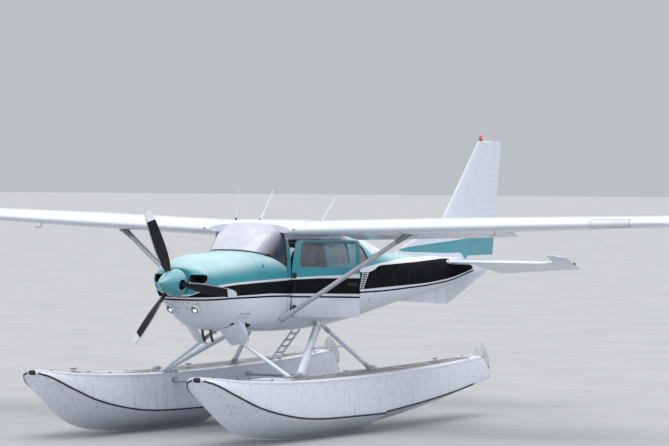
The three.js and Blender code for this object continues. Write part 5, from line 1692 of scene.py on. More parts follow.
    def build_cowling(self) -> None:
        """Upper and lower cowling, boot cowl, belly, cowl flaps and the strip over their joint."""
        def upper(p: Array) -> Array:
            """The cowling above the split."""
            return least([p[..., 1] - (BOWL_REAR + FIT), -FIT - p[..., 1], p[..., 2] - COWL_SPLIT])

        def lower(p: Array) -> Array:
            """The cowling below the split, without the openings of its flaps."""
            x, y, z = np.abs(p[..., 0]), p[..., 1], p[..., 2]
            hole = least([x - 0.170, 0.420 - x, y + 0.330, -0.5 - z])
            return least([y - (BOWL_REAR + FIT), -FIT - y, COWL_SPLIT - FIT - z, -hole])

        def boot(p: Array) -> Array:
            """The boot cowl ahead of the doors, open behind the windshield's foot."""
            x, y, z = p[..., 0], p[..., 1], p[..., 2]
            foot = 0.134 + 0.505 * (np.abs(x) / 0.530)**3.6
            return least([y - (BOOT_FRONT + FIT), BOOT_REAR - FIT - y, z - SILL,
                          np.maximum(0.15 - z, foot - y)])

        def belly(p: Array) -> Array:
            """The bottom skin from the firewall to the tail cone."""
            return least([p[..., 1] - (BOOT_FRONT + FIT), CONE_FRONT - p[..., 1],
                          SILL - FIT - p[..., 2]])

        self.panel("upper_cowling_panel", self.cowl, (-0.88, 0.0), (-0.08, 0.58), upper,
                   self.cowl_wall, "upper_cowling", inner="dark")
        self.panel("lower_cowling_panel", self.cowl, (-0.88, 0.0), (0.42, 1.08), lower,
                   self.cowl_wall, "lower_cowling", inner="dark")
        self.panel("boot_cowl_panel", self.cowl, (0.0, 0.625), (-0.26, 0.76), boot,
                   self.wall / 2, "boot_cowl", inner="dark")
        self.panel("belly_panel", self.cabin, (0.0, 3.0), (0.55, 0.95), belly,
                   self.wall / 2, "belly", inner="dark", outer="panel_white")
        for side in Side:
            # The flaps' inner faces take the dark trim, standing in for the shade inside the open
            # flaps
            piece(f"cowl_flap_box_{side.word}", side.of(self.cowl_flap()), "white white dark",
                  f"cowl_flap_{side.word}")
        girth = np.linspace(0, 1, 161)[:-1]
        path = self.cowl.point(np.full(160, 0.006), girth)
        across = np.roll(path, -1, 0) - np.roll(path, 1, 0)
        normal = np.stack([across[:, 2], 0 * girth, -across[:, 0]], -1)
        normal *= np.sign((normal * path).sum(1).mean()) / np.linalg.norm(normal, axis=1)[:, None]
        strip = hoop(path, box_ring(0.0009, 0.0061, 0.0006), normal)
        strip.values = scheme_values(strip.points)
        piece("cowl_joint", strip, "joint")

    def cowl_flap(self) -> Patch:
        """The left cowl flap: a piece of the cowling's bottom turned down about its front edge,
        with a cheek up its outer side to the cowling.

        Returns:
            The closed flap with its cheek and a hinge rod.
        """
        front, x0, x1, rear = -0.3297, 0.1703, 0.408, -0.001

        def under(y: float, x: float) -> float:
            """Height of the cowling's bottom skin."""
            p = self.cowl.point(np.full(200, y), np.linspace(0.75, 1.0, 200))
            return float(np.interp(x, p[:, 0], p[:, 2]))

        def keep(p: Array) -> Array:
            """Distance inside the flap's edges."""
            x, y = p[..., 0], p[..., 1]
            return least([x - x0, x1 - x, y - front, rear - y, -0.3 - p[..., 2]])

        plate = cut_shell(self.cowl.point, np.linspace(front - 0.02, 0.02, 26),
                          np.linspace(0.74, 1.0, 64), keep, 0.008)
        pivot = (0, front, under(front, 0.0))
        parts = [plate.mapped(lambda p: turned(p, (1, 0, 0), -self.flap_open, pivot))]
        x = x1 - 0.006
        head = np.array([front + 0.010, under(front, x) + 0.006])
        shut = np.array([rear - 0.125, under(rear - 0.125, x) + 0.014])
        low = turned(np.array([[x, rear, under(rear, x) + 0.003]]), (1, 0, 0),
                     -self.flap_open, pivot)[0, 1:]
        cheek = rounded([head, shut, low + [0.004, 0.010], low], 0.010, 5)
        parts.append(slab(cheek, 0, x - 0.004, x + 0.004, 0.002))
        parts.append(rod([(x0, front - 0.002, under(front, 0.29) + 0.002),
                          (x1, front - 0.002, under(front, 0.29) + 0.002)], 0.005))
        return joined(parts)

    def build_cabin(self) -> None:
        """Side walls, roof and rear roof."""
        door, both = self.door_outline(0.006), self.cargo_outlines()[2]

        def wall(p: Array) -> Array:
            """Both walls, between the boot cowl, the tail cone, the belly and the roof."""
            y, z = p[..., 1], p[..., 2]
            return least([y - (WALL_FRONT + FIT), CONE_FRONT - y, z - SILL, self.under_roof(p)])

        def left(p: Array) -> Array:
            """The left wall without the door and its two windows."""
            flat = p[..., 1:3]
            holes = [door, self.openings["middle"], self.openings["rear"]]
            return least([wall(p), p[..., 0], *(-inside(flat, hole) for hole in holes)])

        def right(p: Array) -> Array:
            """The right wall without the cargo opening and the front window."""
            flat = p[..., 1:3]
            return least([wall(p), -p[..., 0], -inside(flat, both),
                          -inside(flat, self.openings["right"])])

        def rear(p: Array) -> Array:
            """The roof behind the wing."""
            x, y, z = np.abs(p[..., 0]), p[..., 1], p[..., 2]
            return least([REAR_ROOF_HALF - x, y - REAR_ROOF_FRONT, CONE_FRONT - y,
                          z - ROOF_FOOT])

        self.panel("left_wall", self.cabin, (0.63, 3.0), (-0.26, 0.26), left, self.wall, "left_side")
        self.panel("right_wall", self.cabin, (0.63, 3.0), (0.24, 0.76), right, self.wall, "right_side")
        self.panel("rear_roof_panel", self.cabin, (2.24, 3.0), (0.10, 0.40), rear, self.wall,
                   "rear_roof", outer="panel_white")
        y = np.linspace(0.606, 2.240, 84)
        share = np.clip((y - 0.590) / (1.630 * math.cos(INCIDENCE)), 0, 1)
        up, low = airfoil(share)
        root = np.full_like(y, WING_ROOT_X)
        floor = wing_point(root, share, low - TRAILING_EDGE * share)[:, 2]
        side = wing_point(root, share, up + TRAILING_EDGE * share)[:, 2]
        top = smooth_rows(self.cabin.rows, y)[:, 3] - 0.4 * np.clip(0.700 - y, 0, None)
        middle = np.maximum(side + 0.004, top)
        half = WING_ROOT_X - FIT
        across = np.linspace(1, -1, 41)
        crown = np.stack(np.broadcast_arrays(
            half * across[None], y[:, None],
            side[:, None] + (middle - side)[:, None] * (1 - across[None]**4)), -1)
        ends = np.stack([np.stack([np.full_like(y, s * half), y, floor], -1) for s in (1, -1)], 1)
        rings = np.concatenate([ends[:, :1], crown, ends[:, 1:]], 1)
        piece("cabin_roof", welded(loft(rings)), "wing", "roof", bevel=0.004)
        self.window("left_middle_pane", self.openings["middle"], Side.LEFT, "left_middle_window")
        self.window("left_rear_pane", self.openings["rear"], Side.LEFT, "left_rear_window")
        self.window("right_front_pane", self.openings["right"], Side.RIGHT, "right_front_window")

    def window(self, name: str, outline: Array, side: Side, node: str, body: str = "airframe",
               turn: bool = False) -> None:
        """A pane half way through the wall, with a rubber seal and a retaining strip outside.

        Args:
            name: the pane's name.
            outline: the opening.
            side: left or right.
            node: the frame node that the pane stands for.
            body: the body that it rides on.
            turn: whether it hangs on the open pilot's door.
        """
        inset = 0.011

        def surface(station: Array, girth: Array) -> Array:
            """The hull moved in to the pane's outer face."""
            p = self.cabin.point(station, girth)
            q = self.cabin.point(station, girth + 1e-3) - self.cabin.point(station, girth - 1e-3)
            r = self.cabin.point(station + 1e-3, girth) - self.cabin.point(station - 1e-3, girth)
            n = np.cross(r, q)
            return p - inset * n / np.maximum(np.linalg.norm(n, axis=-1, keepdims=True), 1e-12)

        low, high = outline.min(0), outline.max(0)
        u = np.arange(low[0] - 0.03, high[0] + 0.04, 0.018)
        v = np.linspace(-0.01, 0.20, 50) if side is Side.LEFT else np.linspace(0.30, 0.51, 50)
        pane = cut_shell(surface, u, v, lambda p: inside(p[..., 1:3], outline) - 0.0004, 0.005)
        edge = spread(outline, 0.014)
        x = self.cabin.side(edge[:, 0], edge[:, 1])
        lean = (self.cabin.side(edge[:, 0], edge[:, 1] + 0.01) - x) / 0.01
        normal = unit(np.stack([np.ones_like(x), np.zeros_like(x), -lean], -1))
        path = np.stack([x, edge[:, 0], edge[:, 1]], -1)
        seals = joined([
            hoop(path + normal * 0.0005, box_ring(0.0032, 0.007, 0.002), normal, 0),
            hoop(path - normal * 0.009, box_ring(0.006, 0.0055, 0.003), normal, 1),
            hoop(path - normal * 0.0325, box_ring(0.003, 0.009, 0.002), normal, 2)])
        seals = side.of(seals)
        if turn:
            pane, seals = pane.mapped(self.open_door), seals.mapped(self.open_door)
        piece(name, pane, "glass glass glass", node, body=body)
        piece(name.replace("pane", "frame"), seals, "teal rubber trim",
            body=body)

    def build_doors(self) -> None:
        """The pilot's door standing open and the two cargo doors, with handles and hinges."""
        front, rear, _ = self.cargo_outlines()
        left, right, height = (-0.24, 0.22), (0.28, 0.74), -0.040
        doors = [
            ("pilot", "pilot_door", self.door_outline(0.0), (0.69, 1.57), left, 1.475, 0.735),
            ("cargo_front", "cargo_door_front", front, (1.63, 2.23), right, 2.145, 1.665),
            ("cargo_rear", "cargo_door_rear", rear, (2.22, 2.78), right, 2.300, 2.745)]
        for key, body, outline, stations, girths, latch, hinge in doors:
            turn = key == "pilot"
            side = Side.LEFT if turn else Side.RIGHT

            def keep(p: Array) -> Array:
                """The door round its window."""
                flat = p[..., 1:3]
                near = [inside(flat, outline), -inside(flat, self.openings[key]),
                        side.value * p[..., 0]]
                return least(near if turn else [*near, self.under_roof(p)])

            self.panel(body + "_panel", self.cabin, stations, girths, keep, self.wall, body, body,
                       turn=turn)
            names = ("pilot_door_pane", "pilot_door_window") if turn else (
                key + "_pane", key + "_window")
            self.window(names[0], self.openings[key], side, names[1], body, turn)
            x = float(self.cabin.side(latch, height))
            inner = x - self.wall
            grip = rod([(x, latch - 0.045, height), (x + 0.018, latch - 0.035, height),
                        (x + 0.020, latch + 0.035, height), (x, latch + 0.045, height)], 0.0075)
            plate = block((x, latch, height), (0.008, 0.13, 0.045), 4)
            inside_grip = rod([(inner - 0.002, latch, height + 0.04),
                               (inner - 0.022, latch, height + 0.03),
                               (inner - 0.022, latch - 0.10, height)], 0.006)
            middle = (latch + hinge) / 2
            soft = []
            for z, size, power in ((-0.10, (0.05, 0.34, 0.055), 4), (-0.30, (0.03, 0.42, 0.16), 7)):
                reach = min(float(self.cabin.side(middle + s * size[1] / 2, z - size[2] / 2))
                            for s in (1, -1)) - self.wall
                soft.append(block((reach - size[0] / 2 + 0.003, middle, z), size, power, 1))
            parts = [grip, plate, inside_grip, *soft]
            for z in (0.06, -0.34):
                hx = float(self.cabin.side(hinge, z))
                parts.append(block((hx + 0.002, hinge, z), (0.010, 0.055, 0.07), 5))
            patch = side.of(joined(parts))
            if turn:
                patch = patch.mapped(self.open_door)
            piece("pilot_door_fittings" if turn else key + "_fittings", patch, "dark dark",
                  body=body)

    def build_tail_cone(self) -> None:
        """The tail cone as one closed body, rings spaced along it and a rounded tail end."""
        station = np.r_[np.linspace(CONE_FRONT + FIT, 6.80, 190), 6.825, 6.842, 6.850]
        draw = np.r_[np.ones(191), 0.92, 0.6]
        girth = np.linspace(0, 1, 129)[:-1]
        rings = self.cabin.point(*np.meshgrid(station, girth, indexing="ij"))
        middle = rings.mean(1, keepdims=True)
        rings = middle + (rings - middle) * draw[:, None, None]
        patch = loft(rings)
        patch.values = scheme_values(patch.points)
        piece("tail_cone_skin", patch, "cone", "tail_cone", sharp=50)
        corners = [(4.18, -.300), (4.18, -.372), (5.70, -.465), (6.835, -.048), (6.835, 0)]
        parts = [slab(rounded(corners, 0.012, 4), 0, -0.014, 0.014, 0.004)]
        for y in (4.55, 5.02, 5.42, 5.70):
            foot = float(np.interp(y, (4.18, 5.70, 6.835), (-.372, -.465, -.048))) + 0.002
            head = float(self.cabin.point(np.array(y), np.array(1.0))[2])
            strip = block((0, y, (foot + head) / 2), (0.0300, 0.007, head - foot), 9, 1, 9)
            parts.append(strip)
        piece("ventral_skin", parts, "ventral seam", "ventral_fin")

    def windshield_point(self, u: Array, v: Array, inset: float = 0.0) -> Array:
        """Ruled from its foot on the cowl deck to its top under the roof, and bulged forward.

        Args:
            u: -1 at the right edge, 1 at the left.
            v: 0 at the foot, 1 at the top.
            inset: depth below the outer face.

        Returns:
            Points (..., 3).
        """
        x0, x1 = u * 0.528, u * 0.468
        y0 = 0.120 + 0.505 * (np.abs(x0) / 0.530)**3.6
        z0 = self.cowl.deck(y0, x0)
        share = np.abs(x1) / 0.470
        foot = np.stack([x0, y0, z0], -1)
        top = np.stack([x1, 0.600 + 0.022 * share**2, 0.722 - 0.120 * share**3], -1)
        out = 0.030 * np.sin(math.pi * v) - inset
        return (foot + (top - foot) * v[..., None]
                + np.stack([out * u * 0.8, -out * (1 - 0.6 * u * u), 0.55 * out], -1))

    def build_windshield(self) -> None:
        """The windshield with a seal at its foot and strips up its sides."""
        u, v = np.meshgrid(np.linspace(-1, 1, 97), np.linspace(0.015, 0.985, 41), indexing="ij")
        outer, inner = self.windshield_point(u, v), self.windshield_point(u, v, 0.006)
        rings = np.concatenate([outer, inner[:, ::-1]], 1)
        sheet = loft(rings)
        x, z = sheet.points[:, 0], sheet.points[:, 2]
        # Share of the sheet, growing towards its left edge, where painted cabin shade replaces the
        # painted sky glare
        sheet.values = {"clear": np.clip((x - 0.31 - 0.16 * (z - 0.3)) / 0.15, 0, 1)}
        piece("windshield_sheet", sheet, "screen", "windshield", sharp=60)
        across = np.linspace(-1, 1, 60)
        up = np.linspace(0, 0.97, 24)
        foot = self.windshield_point(across, np.full_like(across, 0.012)) + [0, -0.004, 0.003]
        sides = [self.windshield_point(np.full_like(up, s * 0.995), up) for s in (1, -1)]
        seals = [swept(foot, box_ring(0.010, 0.006, 0.004), (0, -0.5, 1), finish=0)]
        # The side strips are dark rubber made wide enough to stand in also for the shade along the
        # windshield posts
        seals += [swept(s, box_ring(0.024, 0.005, 0.003), (s[0, 0], -0.6, 0.2)) for s in sides]
        piece("windshield_seals", seals, "rubber")

    def build_details(self) -> None:
        """Vents, louvres, aerials, steps, drains and the cowl's exhaust stubs."""
        dark, white, metal = [], [], []
        # The dark blocks in the louvres and in the vents beside the boot cowl stand in for the shade
        # inside their openings
        for y, z in ((-.283, -.386), (-.236, -.387), (-.188, -.388), (-.140, -.389)):
            for side in Side:
                x = float(self.cowl.side(y, z)) * side.value
                slot = block((x, y, z), (0.006, 0.032, 0.011), 3, steps=8)
                hood = block((x + 0.003 * side.value, y, z + 0.012), (0.014, 0.040, 0.012), 3, steps=8)
                dark.append(slot.mapped(lambda p, a=(x, y, z): turned(p, (1, 0, 0), -24, a)))
                run = [(float(self.cowl.side(y - t, z - 1.2 * t)) * side.value, y - t, z - 1.2 * t)
                       for t in (0.012, 0.03, 0.048)]
                dark.append(rod(run, 0.003, 8, finish=1))
                white.append(hood.mapped(lambda p, a=(x, y, z): turned(p, (1, 0, 0), -24, a)))
        for side in Side:
            for y, z, h in ((0.110, 0.175, 0.070), (0.126, 0.097, 0.016)):
                x = float(self.cowl.side(y, z)) * side.value
                dark.append(block((x, y, z), (0.006, 0.016, h), 5, steps=8))
        x = float(self.cabin.side(3.09, 0.296))
        metal.append(lathe([(0, -0.003), (0.012, -0.002), (0.011, 0.004), (0.005, 0.006), (0, 0.006)],
                           (x, 3.09, 0.296), (1, 0, 0.3), 16))
        x = float(self.cabin.side(2.778, -0.298))
        metal.append(lathe([(0, -0.003), (0.025, -0.001), (0.024, 0.004), (0.012, 0.006), (0, 0.003)],
                           (x, 2.778, -0.298), (1, 0, -0.2), 24))
        piece("hull_slots", dark, "rubber seam")
        piece("louvre_hoods", white, "white")
        piece("hull_studs", metal, "steel")
        aerials = []
        for base, tip, radius in (((-.3, .766, .736), (-.3, .842, 1.151), .0035),
                                  ((0, .855, .727), (0, 1.158, 1.103), .0065),
                                  ((.3, 1.827, .70), (.3, 2.208, 1.028), .0065)):
            a, b = np.array(base), np.array(tip)
            path = a + (b - a) * np.linspace(-0.03, 1, 12)[:, None]
            aerials.append(swept(path, circle(radius, 10), (1, 0, 0), np.linspace(1.3, 0.55, 12)))
            aerials.append(lathe([(0, -0.012), (0.026, -0.006), (0.022, 0.006), (0.012, 0.018),
                                  (0.009, 0.03), (0, 0.032)], a, (0, 0.12, 1), 20, 1))
        piece("aerials", aerials, "white dark")
        stacks = []
        for side in Side:
            x = 0.060 * side.value
            path = np.array([(x, -.36, -.55), (x, -.35, -.62), (x, -.335, -.68), (x, -.30, -.735)])
            fine = smooth_rows(np.c_[np.arange(4.0), path], np.linspace(0, 3, 16))[:, 1:]
            across, top = frames(fine, (0, 0, 1))
            rows = []
            for radius in (0.017, 0.014):
                ring = circle(radius, 20)
                rings = (fine[:, None] + across[:, None] * ring[None, :, :1]
                         + top[:, None] * ring[None, :, 1:])
                rows.append(rings if radius > 0.015 else rings[::-1])
            stacks.append(torus(np.concatenate(rows)))
        piece("exhaust_stubs", stacks, "exhaust")


def half_section(share: Array, ratio: float) -> Array:
    """Half thickness of a streamlined section, as a share of its chord.

    Args:
        share: distance s behind its nose as a share of the chord.
        ratio: its greatest thickness over the chord.

    Returns:
        5 ratio (0.2969 sqrt s - 0.126 s - 0.3516 s^2 + 0.2843 s^3 - 0.1015 s^4).
    """
    s = np.clip(share, 0, 1)
    return 5 * ratio * (0.2969 * np.sqrt(s) - 0.126 * s - 0.3516 * s**2 + 0.2843 * s**3
                        - 0.1015 * s**4)


def teardrop(chord: float, thickness: float, count: int = 14) -> Array:
    """The outline of a streamlined section, nose forward.

    Args:
        chord: its length.
        thickness: its greatest thickness.
        count: points on each side.

    Returns:
        (n, 2) points, across and along the chord.
    """
    s = 0.5 - 0.5 * np.cos(np.linspace(0, math.pi, count))
    half = np.maximum(half_section(s, thickness), 0.03 * thickness)
    half[0] = 0
    along = (s - 0.5) * chord
    return np.concatenate([np.stack([half, along], -1), np.stack([-half, along], -1)[:0:-1]])


def stay(start: Sequence[float], end: Sequence[float], chord: float, thickness: float,
         finish: int = 0, steps: int = 6) -> Patch:
    """A streamlined tube between two points, its chord in the flight direction."""
    a, b = np.array(start, float), np.array(end, float)
    path = a + (b - a) * np.linspace(0, 1, steps)[:, None]
    return swept(path, teardrop(chord, thickness), (0, 1, 0), finish=finish)


def bead(along: Array, pitch: float, height: float) -> Array:
    """Height of stiffening beads: height * max(0, cos(2 pi along / pitch))^1.5."""
    return height * np.clip(np.cos(2 * math.pi * along / pitch), 0, 1)**1.5


@dataclass
class PowerPlant:
    """Engine behind the intakes, the three-bladed propeller and its spinner."""

    hub: tuple = (0.0, -1.118, 0.0)
    rest: float = 7.0
    spinner_radius: float = 0.170
    spinner_back: float = -1.035
    spinner_length: float = 0.354
    blades: Array = field(default_factory=lambda: table([
        [60, 62, 52, 62], [150, 66, 46, 55], [230, 110, 30, 45], [400, 142, 20, 34],
        [620, 138, 14, 25], [820, 116, 9, 20], [905, 88, 7, 18], [930, 42, 5, 18]], 3))

    def turn(self, p: Array) -> Array:
        """Turns points to the propeller's place at rest."""
        return turned(p, (0, 1, 0), self.rest, self.hub)

    def blade(self) -> Patch:
        """One blade along +x: at each radius a section c = chord/2 cos a, t = thickness/2 sin a
        (1 + 0.35 cos a), turned by the pitch.

        Returns:
            The closed blade with its radius and closeness to the leading edge stored.
        """
        radius = np.r_[np.linspace(0.06, 0.90, 46), np.linspace(0.905, 0.93, 8)]
        r = smooth_rows(self.blades, radius)
        a = np.linspace(0, 2 * math.pi, 33)[:-1]
        c = 0.5 * r[:, 1:2] * np.cos(a)
        t = 0.5 * r[:, 2:3] * np.sin(a) * (1 + 0.35 * np.cos(a))
        pitch = np.radians(r[:, 3:4])
        rings = np.stack([np.broadcast_to(radius[:, None], c.shape),
                          self.hub[1] - c * np.sin(pitch) + t * np.cos(pitch),
                          c * np.cos(pitch) + t * np.sin(pitch)], -1)
        patch = loft(rings)
        lead = np.r_[np.broadcast_to(0.5 + 0.5 * np.cos(a), c.shape).ravel(), 0, 0]
        patch.values = {"lead": np.where(patch.points[:, 0] < 0.25, 0.0, lead),
                        "reach": patch.points[:, 0].copy()}
        return patch

    def build(self) -> None:
        """Makes the propeller, spinner and engine."""
        blade = self.blade()
        parts = []
        for angle in (0, 120, 240):
            parts.append(blade.mapped(lambda p, a=angle: self.turn(turned(p, (0, 1, 0), a, self.hub))))
            cuff = lathe([(0, 0.0), (0.047, 0.0), (0.049, 0.05), (0.044, 0.088), (0.037, 0.10),
                          (0.0, 0.10)], (0.03, self.hub[1], 0), (1, 0, 0), 24)
            parts.append(cuff.mapped(lambda p, a=angle: self.turn(turned(p, (0, 1, 0), a, self.hub))))
        parts.append(lathe([(0, -0.098), (0.070, -0.098), (0.078, -0.09), (0.078, 0.05), (0.06, 0.068),
                            (0, 0.07)], self.hub, (0, -1, 0), 32).mapped(self.turn))
        piece("propeller_blades", parts, "blade", "propeller", body="propeller",
            sharp=40)

        def surface(u: Array, v: Array) -> Array:
            """Spinner: radius * (1 - t^1.6)^0.75 at t = -u of its length."""
            t = np.clip(-u, 0, 0.99999)
            r = self.spinner_radius * (1 - t**1.6)**0.75
            y = self.spinner_back - self.spinner_length * t - 0.2 * np.minimum(0, -u)
            return np.stack([r * np.cos(2 * math.pi * v), y, r * np.sin(2 * math.pi * v)], -1)

        def keep(p: Array) -> Array:
            """Distance to the back edge and to the round cut-outs for the blades."""
            gaps = []
            for angle in (0, 120, 240):
                a = math.radians(angle)
                reach = p[..., 0] * math.cos(a) - p[..., 2] * math.sin(a)
                side = p[..., 0] * math.sin(a) + p[..., 2] * math.cos(a)
                off = np.hypot(side * 0.86, p[..., 1] - self.hub[1]) - 0.054
                gaps.append(np.where(reach > 0, off, 1.0))
            return least([*gaps, self.spinner_back - p[..., 1]])

        shell = cut_shell(surface, np.linspace(-0.99999, 0.03, 84), np.linspace(0, 1, 145)[:-1],
                          keep, 0.004, True)
        button = lathe([(0, -0.003), (0.010, -0.003), (0.008, 0.002), (0, 0.003)],
                       (0, self.spinner_back - self.spinner_length, 0), (0, -1, 0), 20, 0)
        screws = []
        for k in range(18):
            a = 2 * math.pi * (k + 0.5) / 18
            place = np.array([0.1692 * math.cos(a), self.spinner_back - 0.012, 0.1692 * math.sin(a)])
            screws.append(lathe([(0, -0.002), (0.005, -0.001), (0.004, 0.001), (0, 0.0015)],
                                place, (math.cos(a), 0, math.sin(a)), 10, 1))
        plate = lathe([(0.081, 0.0), (0.163, 0.0), (0.1635, 0.004), (0.081, 0.004), (0.081, 0.0)],
                      (0, self.spinner_back - 0.002, 0), (0, -1, 0), 48, 2)
        piece("spinner_shell", joined([shell.dressed(0), button, *screws, plate]).mapped(self.turn),
            "teal steel dark", "spinner", body="propeller", sharp=40)
        parts = [block((0, -0.45, -0.05), (0.30, 0.56, 0.26), 6),
                 rod([(0, -0.72, 0), (0, -0.9, 0), (0, -1.056, 0)], 0.032, 24, round_ends=False),
                 block((0, -0.45, -0.22), (0.24, 0.40, 0.10), 5)]
        for side in Side:
            for y in (-0.62, -0.45, -0.28):
                rows = [(0.0, 0.0)]
                for k in range(14):
                    rows += [(0.060, 0.013 * k), (0.060, 0.013 * k + 0.004),
                             (0.050, 0.013 * k + 0.0045), (0.050, 0.013 * k + 0.0125)]
                rows += [(0.055, 0.19), (0.045, 0.205), (0.0, 0.205)]
                parts.append(lathe(rows, (0.13 * side.value, y, -0.03), (side.value, 0, 0), 24))
                parts.append(rod([(0.20 * side.value, y, -0.08), (0.24 * side.value, y + 0.02, -0.16),
                                  (0.22 * side.value, y + 0.08, -0.22)], 0.022, finish=1))
            parts.append(rod([(0.22 * side.value, -0.64, -0.235), (0.22 * side.value, -0.42, -0.235),
                              (0.19 * side.value, -0.16, -0.22)], 0.030, finish=1))
            for z in (-0.14, 0.06):
                parts.append(rod([(0.13 * side.value, -0.25, z * 0.6), (0.22 * side.value, -0.12, z),
                                  (0.33 * side.value, -0.002, z)], 0.013, finish=2))
        piece("engine_block", parts, "engine exhaust steel", "engine")


@dataclass
class Wing:
    """Both wings with their flaps, ailerons, struts and lights."""

    flap: tuple = (0.640, 2.960, 0.715, 0.012)
    aileron: tuple = (3.014, 5.330, 0.735, 0.010)
    flap_rest: float = 12.0
    front_shares: int = 26
    rear_shares: int = 9
    split_share: float = 0.60

    def ring(self, x: float, end: float = 1.0, flatten: float = 1.0, cut: float = 0.0) -> Array:
        """A wing section over the top from the leading edge and back underneath.

        Args:
            x: distance from the middle.
            end: share of the chord at which it stops.
            flatten: share of its height that is left.
            cut: share by which the chord is drawn back at the tip.

        Returns:
            (n, 3) points.
        """
        lead = self.split_share * (1 - np.cos(np.linspace(0, 0.5 * math.pi, self.front_shares)))
        s = np.r_[lead, self.split_share + (end - self.split_share)
                  * np.linspace(0, 1, self.rear_shares)[1:]]
        up, low = airfoil(s)
        top = wing_point(x, s, flatten * (up + TRAILING_EDGE * s))
        under = wing_point(x, s, flatten * (low - TRAILING_EDGE * s))[:0:-1]
        p = np.concatenate([top, under])
        chord, front, _ = wing_plan(x)
        share = (p[:, 1] - front) / chord
        p[:, 1] = front + chord * (cut + share * (1 - 1.5 * cut))
        p[:, 2] -= (1 - flatten) * 0.022
        return p

    def hinge_end(self, x: float, surface: tuple) -> float:
        """Share of the chord at which the wing ends ahead of a control surface."""
        up, low = airfoil(np.array(surface[2]))
        return float(surface[2] - (up - low) / 2 - surface[3] / wing_plan(x)[0])

    def panel(self) -> Patch:
        """The left wing: full sections, cut sections ahead of the flap and aileron, and a tip
        that flattens as sqrt(1 - (0.94 t)^2).

        Returns:
            The closed wing with its share of the chord stored.
        """
        rings = []
        f0, f1 = self.flap[0] - self.flap[3], self.flap[1] + self.flap[3]
        a0, a1 = self.aileron[0] - self.aileron[3], self.aileron[1] + self.aileron[3]
        spans = [(WING_ROOT_X, f0, None), (f0, f1, self.flap), (f1, a0, None),
                 (a0, a1, self.aileron), (a1, 5.48, None)]
        for low, high, surface in spans:
            stops = np.r_[np.linspace(low, high, max(2, int((high - low) / 0.24) + 2)), WING_BREAK_X]
            for x in np.unique(stops[(stops >= low) & (stops <= high)]):
                rings.append(self.ring(x, self.hinge_end(x, surface) if surface else 1.0))
        for t in np.sin(np.linspace(0, 0.5 * math.pi, 12))[1:]:
            rings.append(self.ring(5.48 + 0.18 * t, 1.0, math.sqrt(1 - (0.94 * t)**2), 0.16 * t**2.35))
        patch = welded(loft(np.array(rings)))
        chord, front, _ = wing_plan(patch.points[:, 0])
        patch.values = {"chord": (patch.points[:, 1] - front) / chord}
        return patch

    def control(self, surface: tuple) -> Patch:
        """A flap or aileron: a round nose about its hinge, then the wing's own surfaces with
        stiffening beads across them.

        Args:
            surface: first and last x, share of the chord at the hinge, gap.

        Returns:
            The closed surface.
        """
        x0, x1, share, _ = surface
        x = np.linspace(x0, x1, int((x1 - x0) / 0.0085))[:, None]
        up, low = airfoil(np.array(share))
        middle, half = (up + low) / 2, (up - low) / 2
        a = np.radians(-np.linspace(90, 270, 11))[None]
        nose = wing_point(x, share + half * np.cos(a), middle + half * np.sin(a))
        s = np.linspace(share + 0.018, 1.0, 15)[None]
        chord = wing_plan(x)[0]
        fade = np.clip((s - share - 0.045) / 0.02, 0, 1) * np.clip((0.985 - s) / 0.02, 0, 1)
        rise = bead(x - x0, 0.085, 0.0024) * fade / chord
        up, low = airfoil(s)
        top = wing_point(x, s, up + TRAILING_EDGE * s - 0.0006 + rise)
        under = wing_point(x, s, low - TRAILING_EDGE * s + 0.0006 - rise)
        return loft(np.concatenate([nose, top, under[:, ::-1]], 1))

    def build(self) -> None:
        """Makes both wings."""
        wing, flap, aileron = self.panel(), self.control(self.flap), self.control(self.aileron)
        x0, x1, share, _ = self.flap
        up, low = airfoil(np.array(share))
        ends = wing_point(np.array([x0, x1]), share, (up + low) / 2)
        flap = flap.mapped(lambda p: turned(p, ends[1] - ends[0], -self.flap_rest, ends[0]))
        strut, cuffs = self.strut()
        details, lenses = self.lights()
        for side in Side:
            word = side.word
            piece(f"wing_panel_{word}", side.of(wing), "wing", f"wing_{word}", sharp=38)
            piece(f"flap_skin_{word}", side.of(flap), "white", f"flap_{word}", body=f"flap_{word}",
                sharp=50)
            piece(f"aileron_skin_{word}", side.of(aileron), "white", f"aileron_{word}",
                body=f"aileron_{word}", sharp=50)
            piece(f"wing_strut_tube_{word}", side.of(strut), "grey", f"wing_strut_{word}")
            # The upper cuff's darker paint is painted shade under the wing
            piece(f"wing_strut_cuffs_{word}", side.of(cuffs), "cuff grey steel")
            piece(f"wing_fittings_{word}", side.of(details), "steel white rubber")
            piece(f"wing_lamps_{word}", side.of(lenses), "cover")
            tip = lathe([(0, -0.008), (0.017, -0.006), (0.018, 0.006), (0.013, 0.020), (0, 0.026)],
                        (5.640, 1.16, 0.770), (0.85, -0.5, 0), 20)
            piece(f"wing_tip_lamp_{word}", side.of(tip), "red" if side is Side.LEFT else "green")

    @staticmethod
    def strut() -> tuple[Patch, Patch]:
        """The left wing strut, and its cuffs and the bolt at its top.

        Returns:
            The tube and the fittings.
        """
        a, b = np.array([.505, .570, -.492]), np.array([2.085, .930, .580])
        way = unit(b - a)
        top = b + way * 0.07
        tube = stay(a, top, 0.118, 0.056, steps=12)
        t = np.linspace(0, 1, 12)
        size = 1.05 + 0.28 * t**2
        cuff = swept(b - way * 0.16 + (way * 0.215) * t[:, None], teardrop(0.118, 0.062), (0, 1, 0),
                     size, 0)
        foot = swept(a + way * 0.02 + (way * 0.17) * t[:, None], teardrop(0.120, 0.064), (0, 1, 0),
                     1.34 - 0.28 * t, 1)
        bolt = lathe([(0, -0.045), (0.013, -0.045), (0.015, -0.038), (0.015, 0.038),
                      (0.013, 0.045), (0, 0.045)], b - way * 0.03 - [0, 0.02, 0],
                     (0.5, 0, -0.86), 16, 2)
        return tube, joined([cuff, foot, bolt])

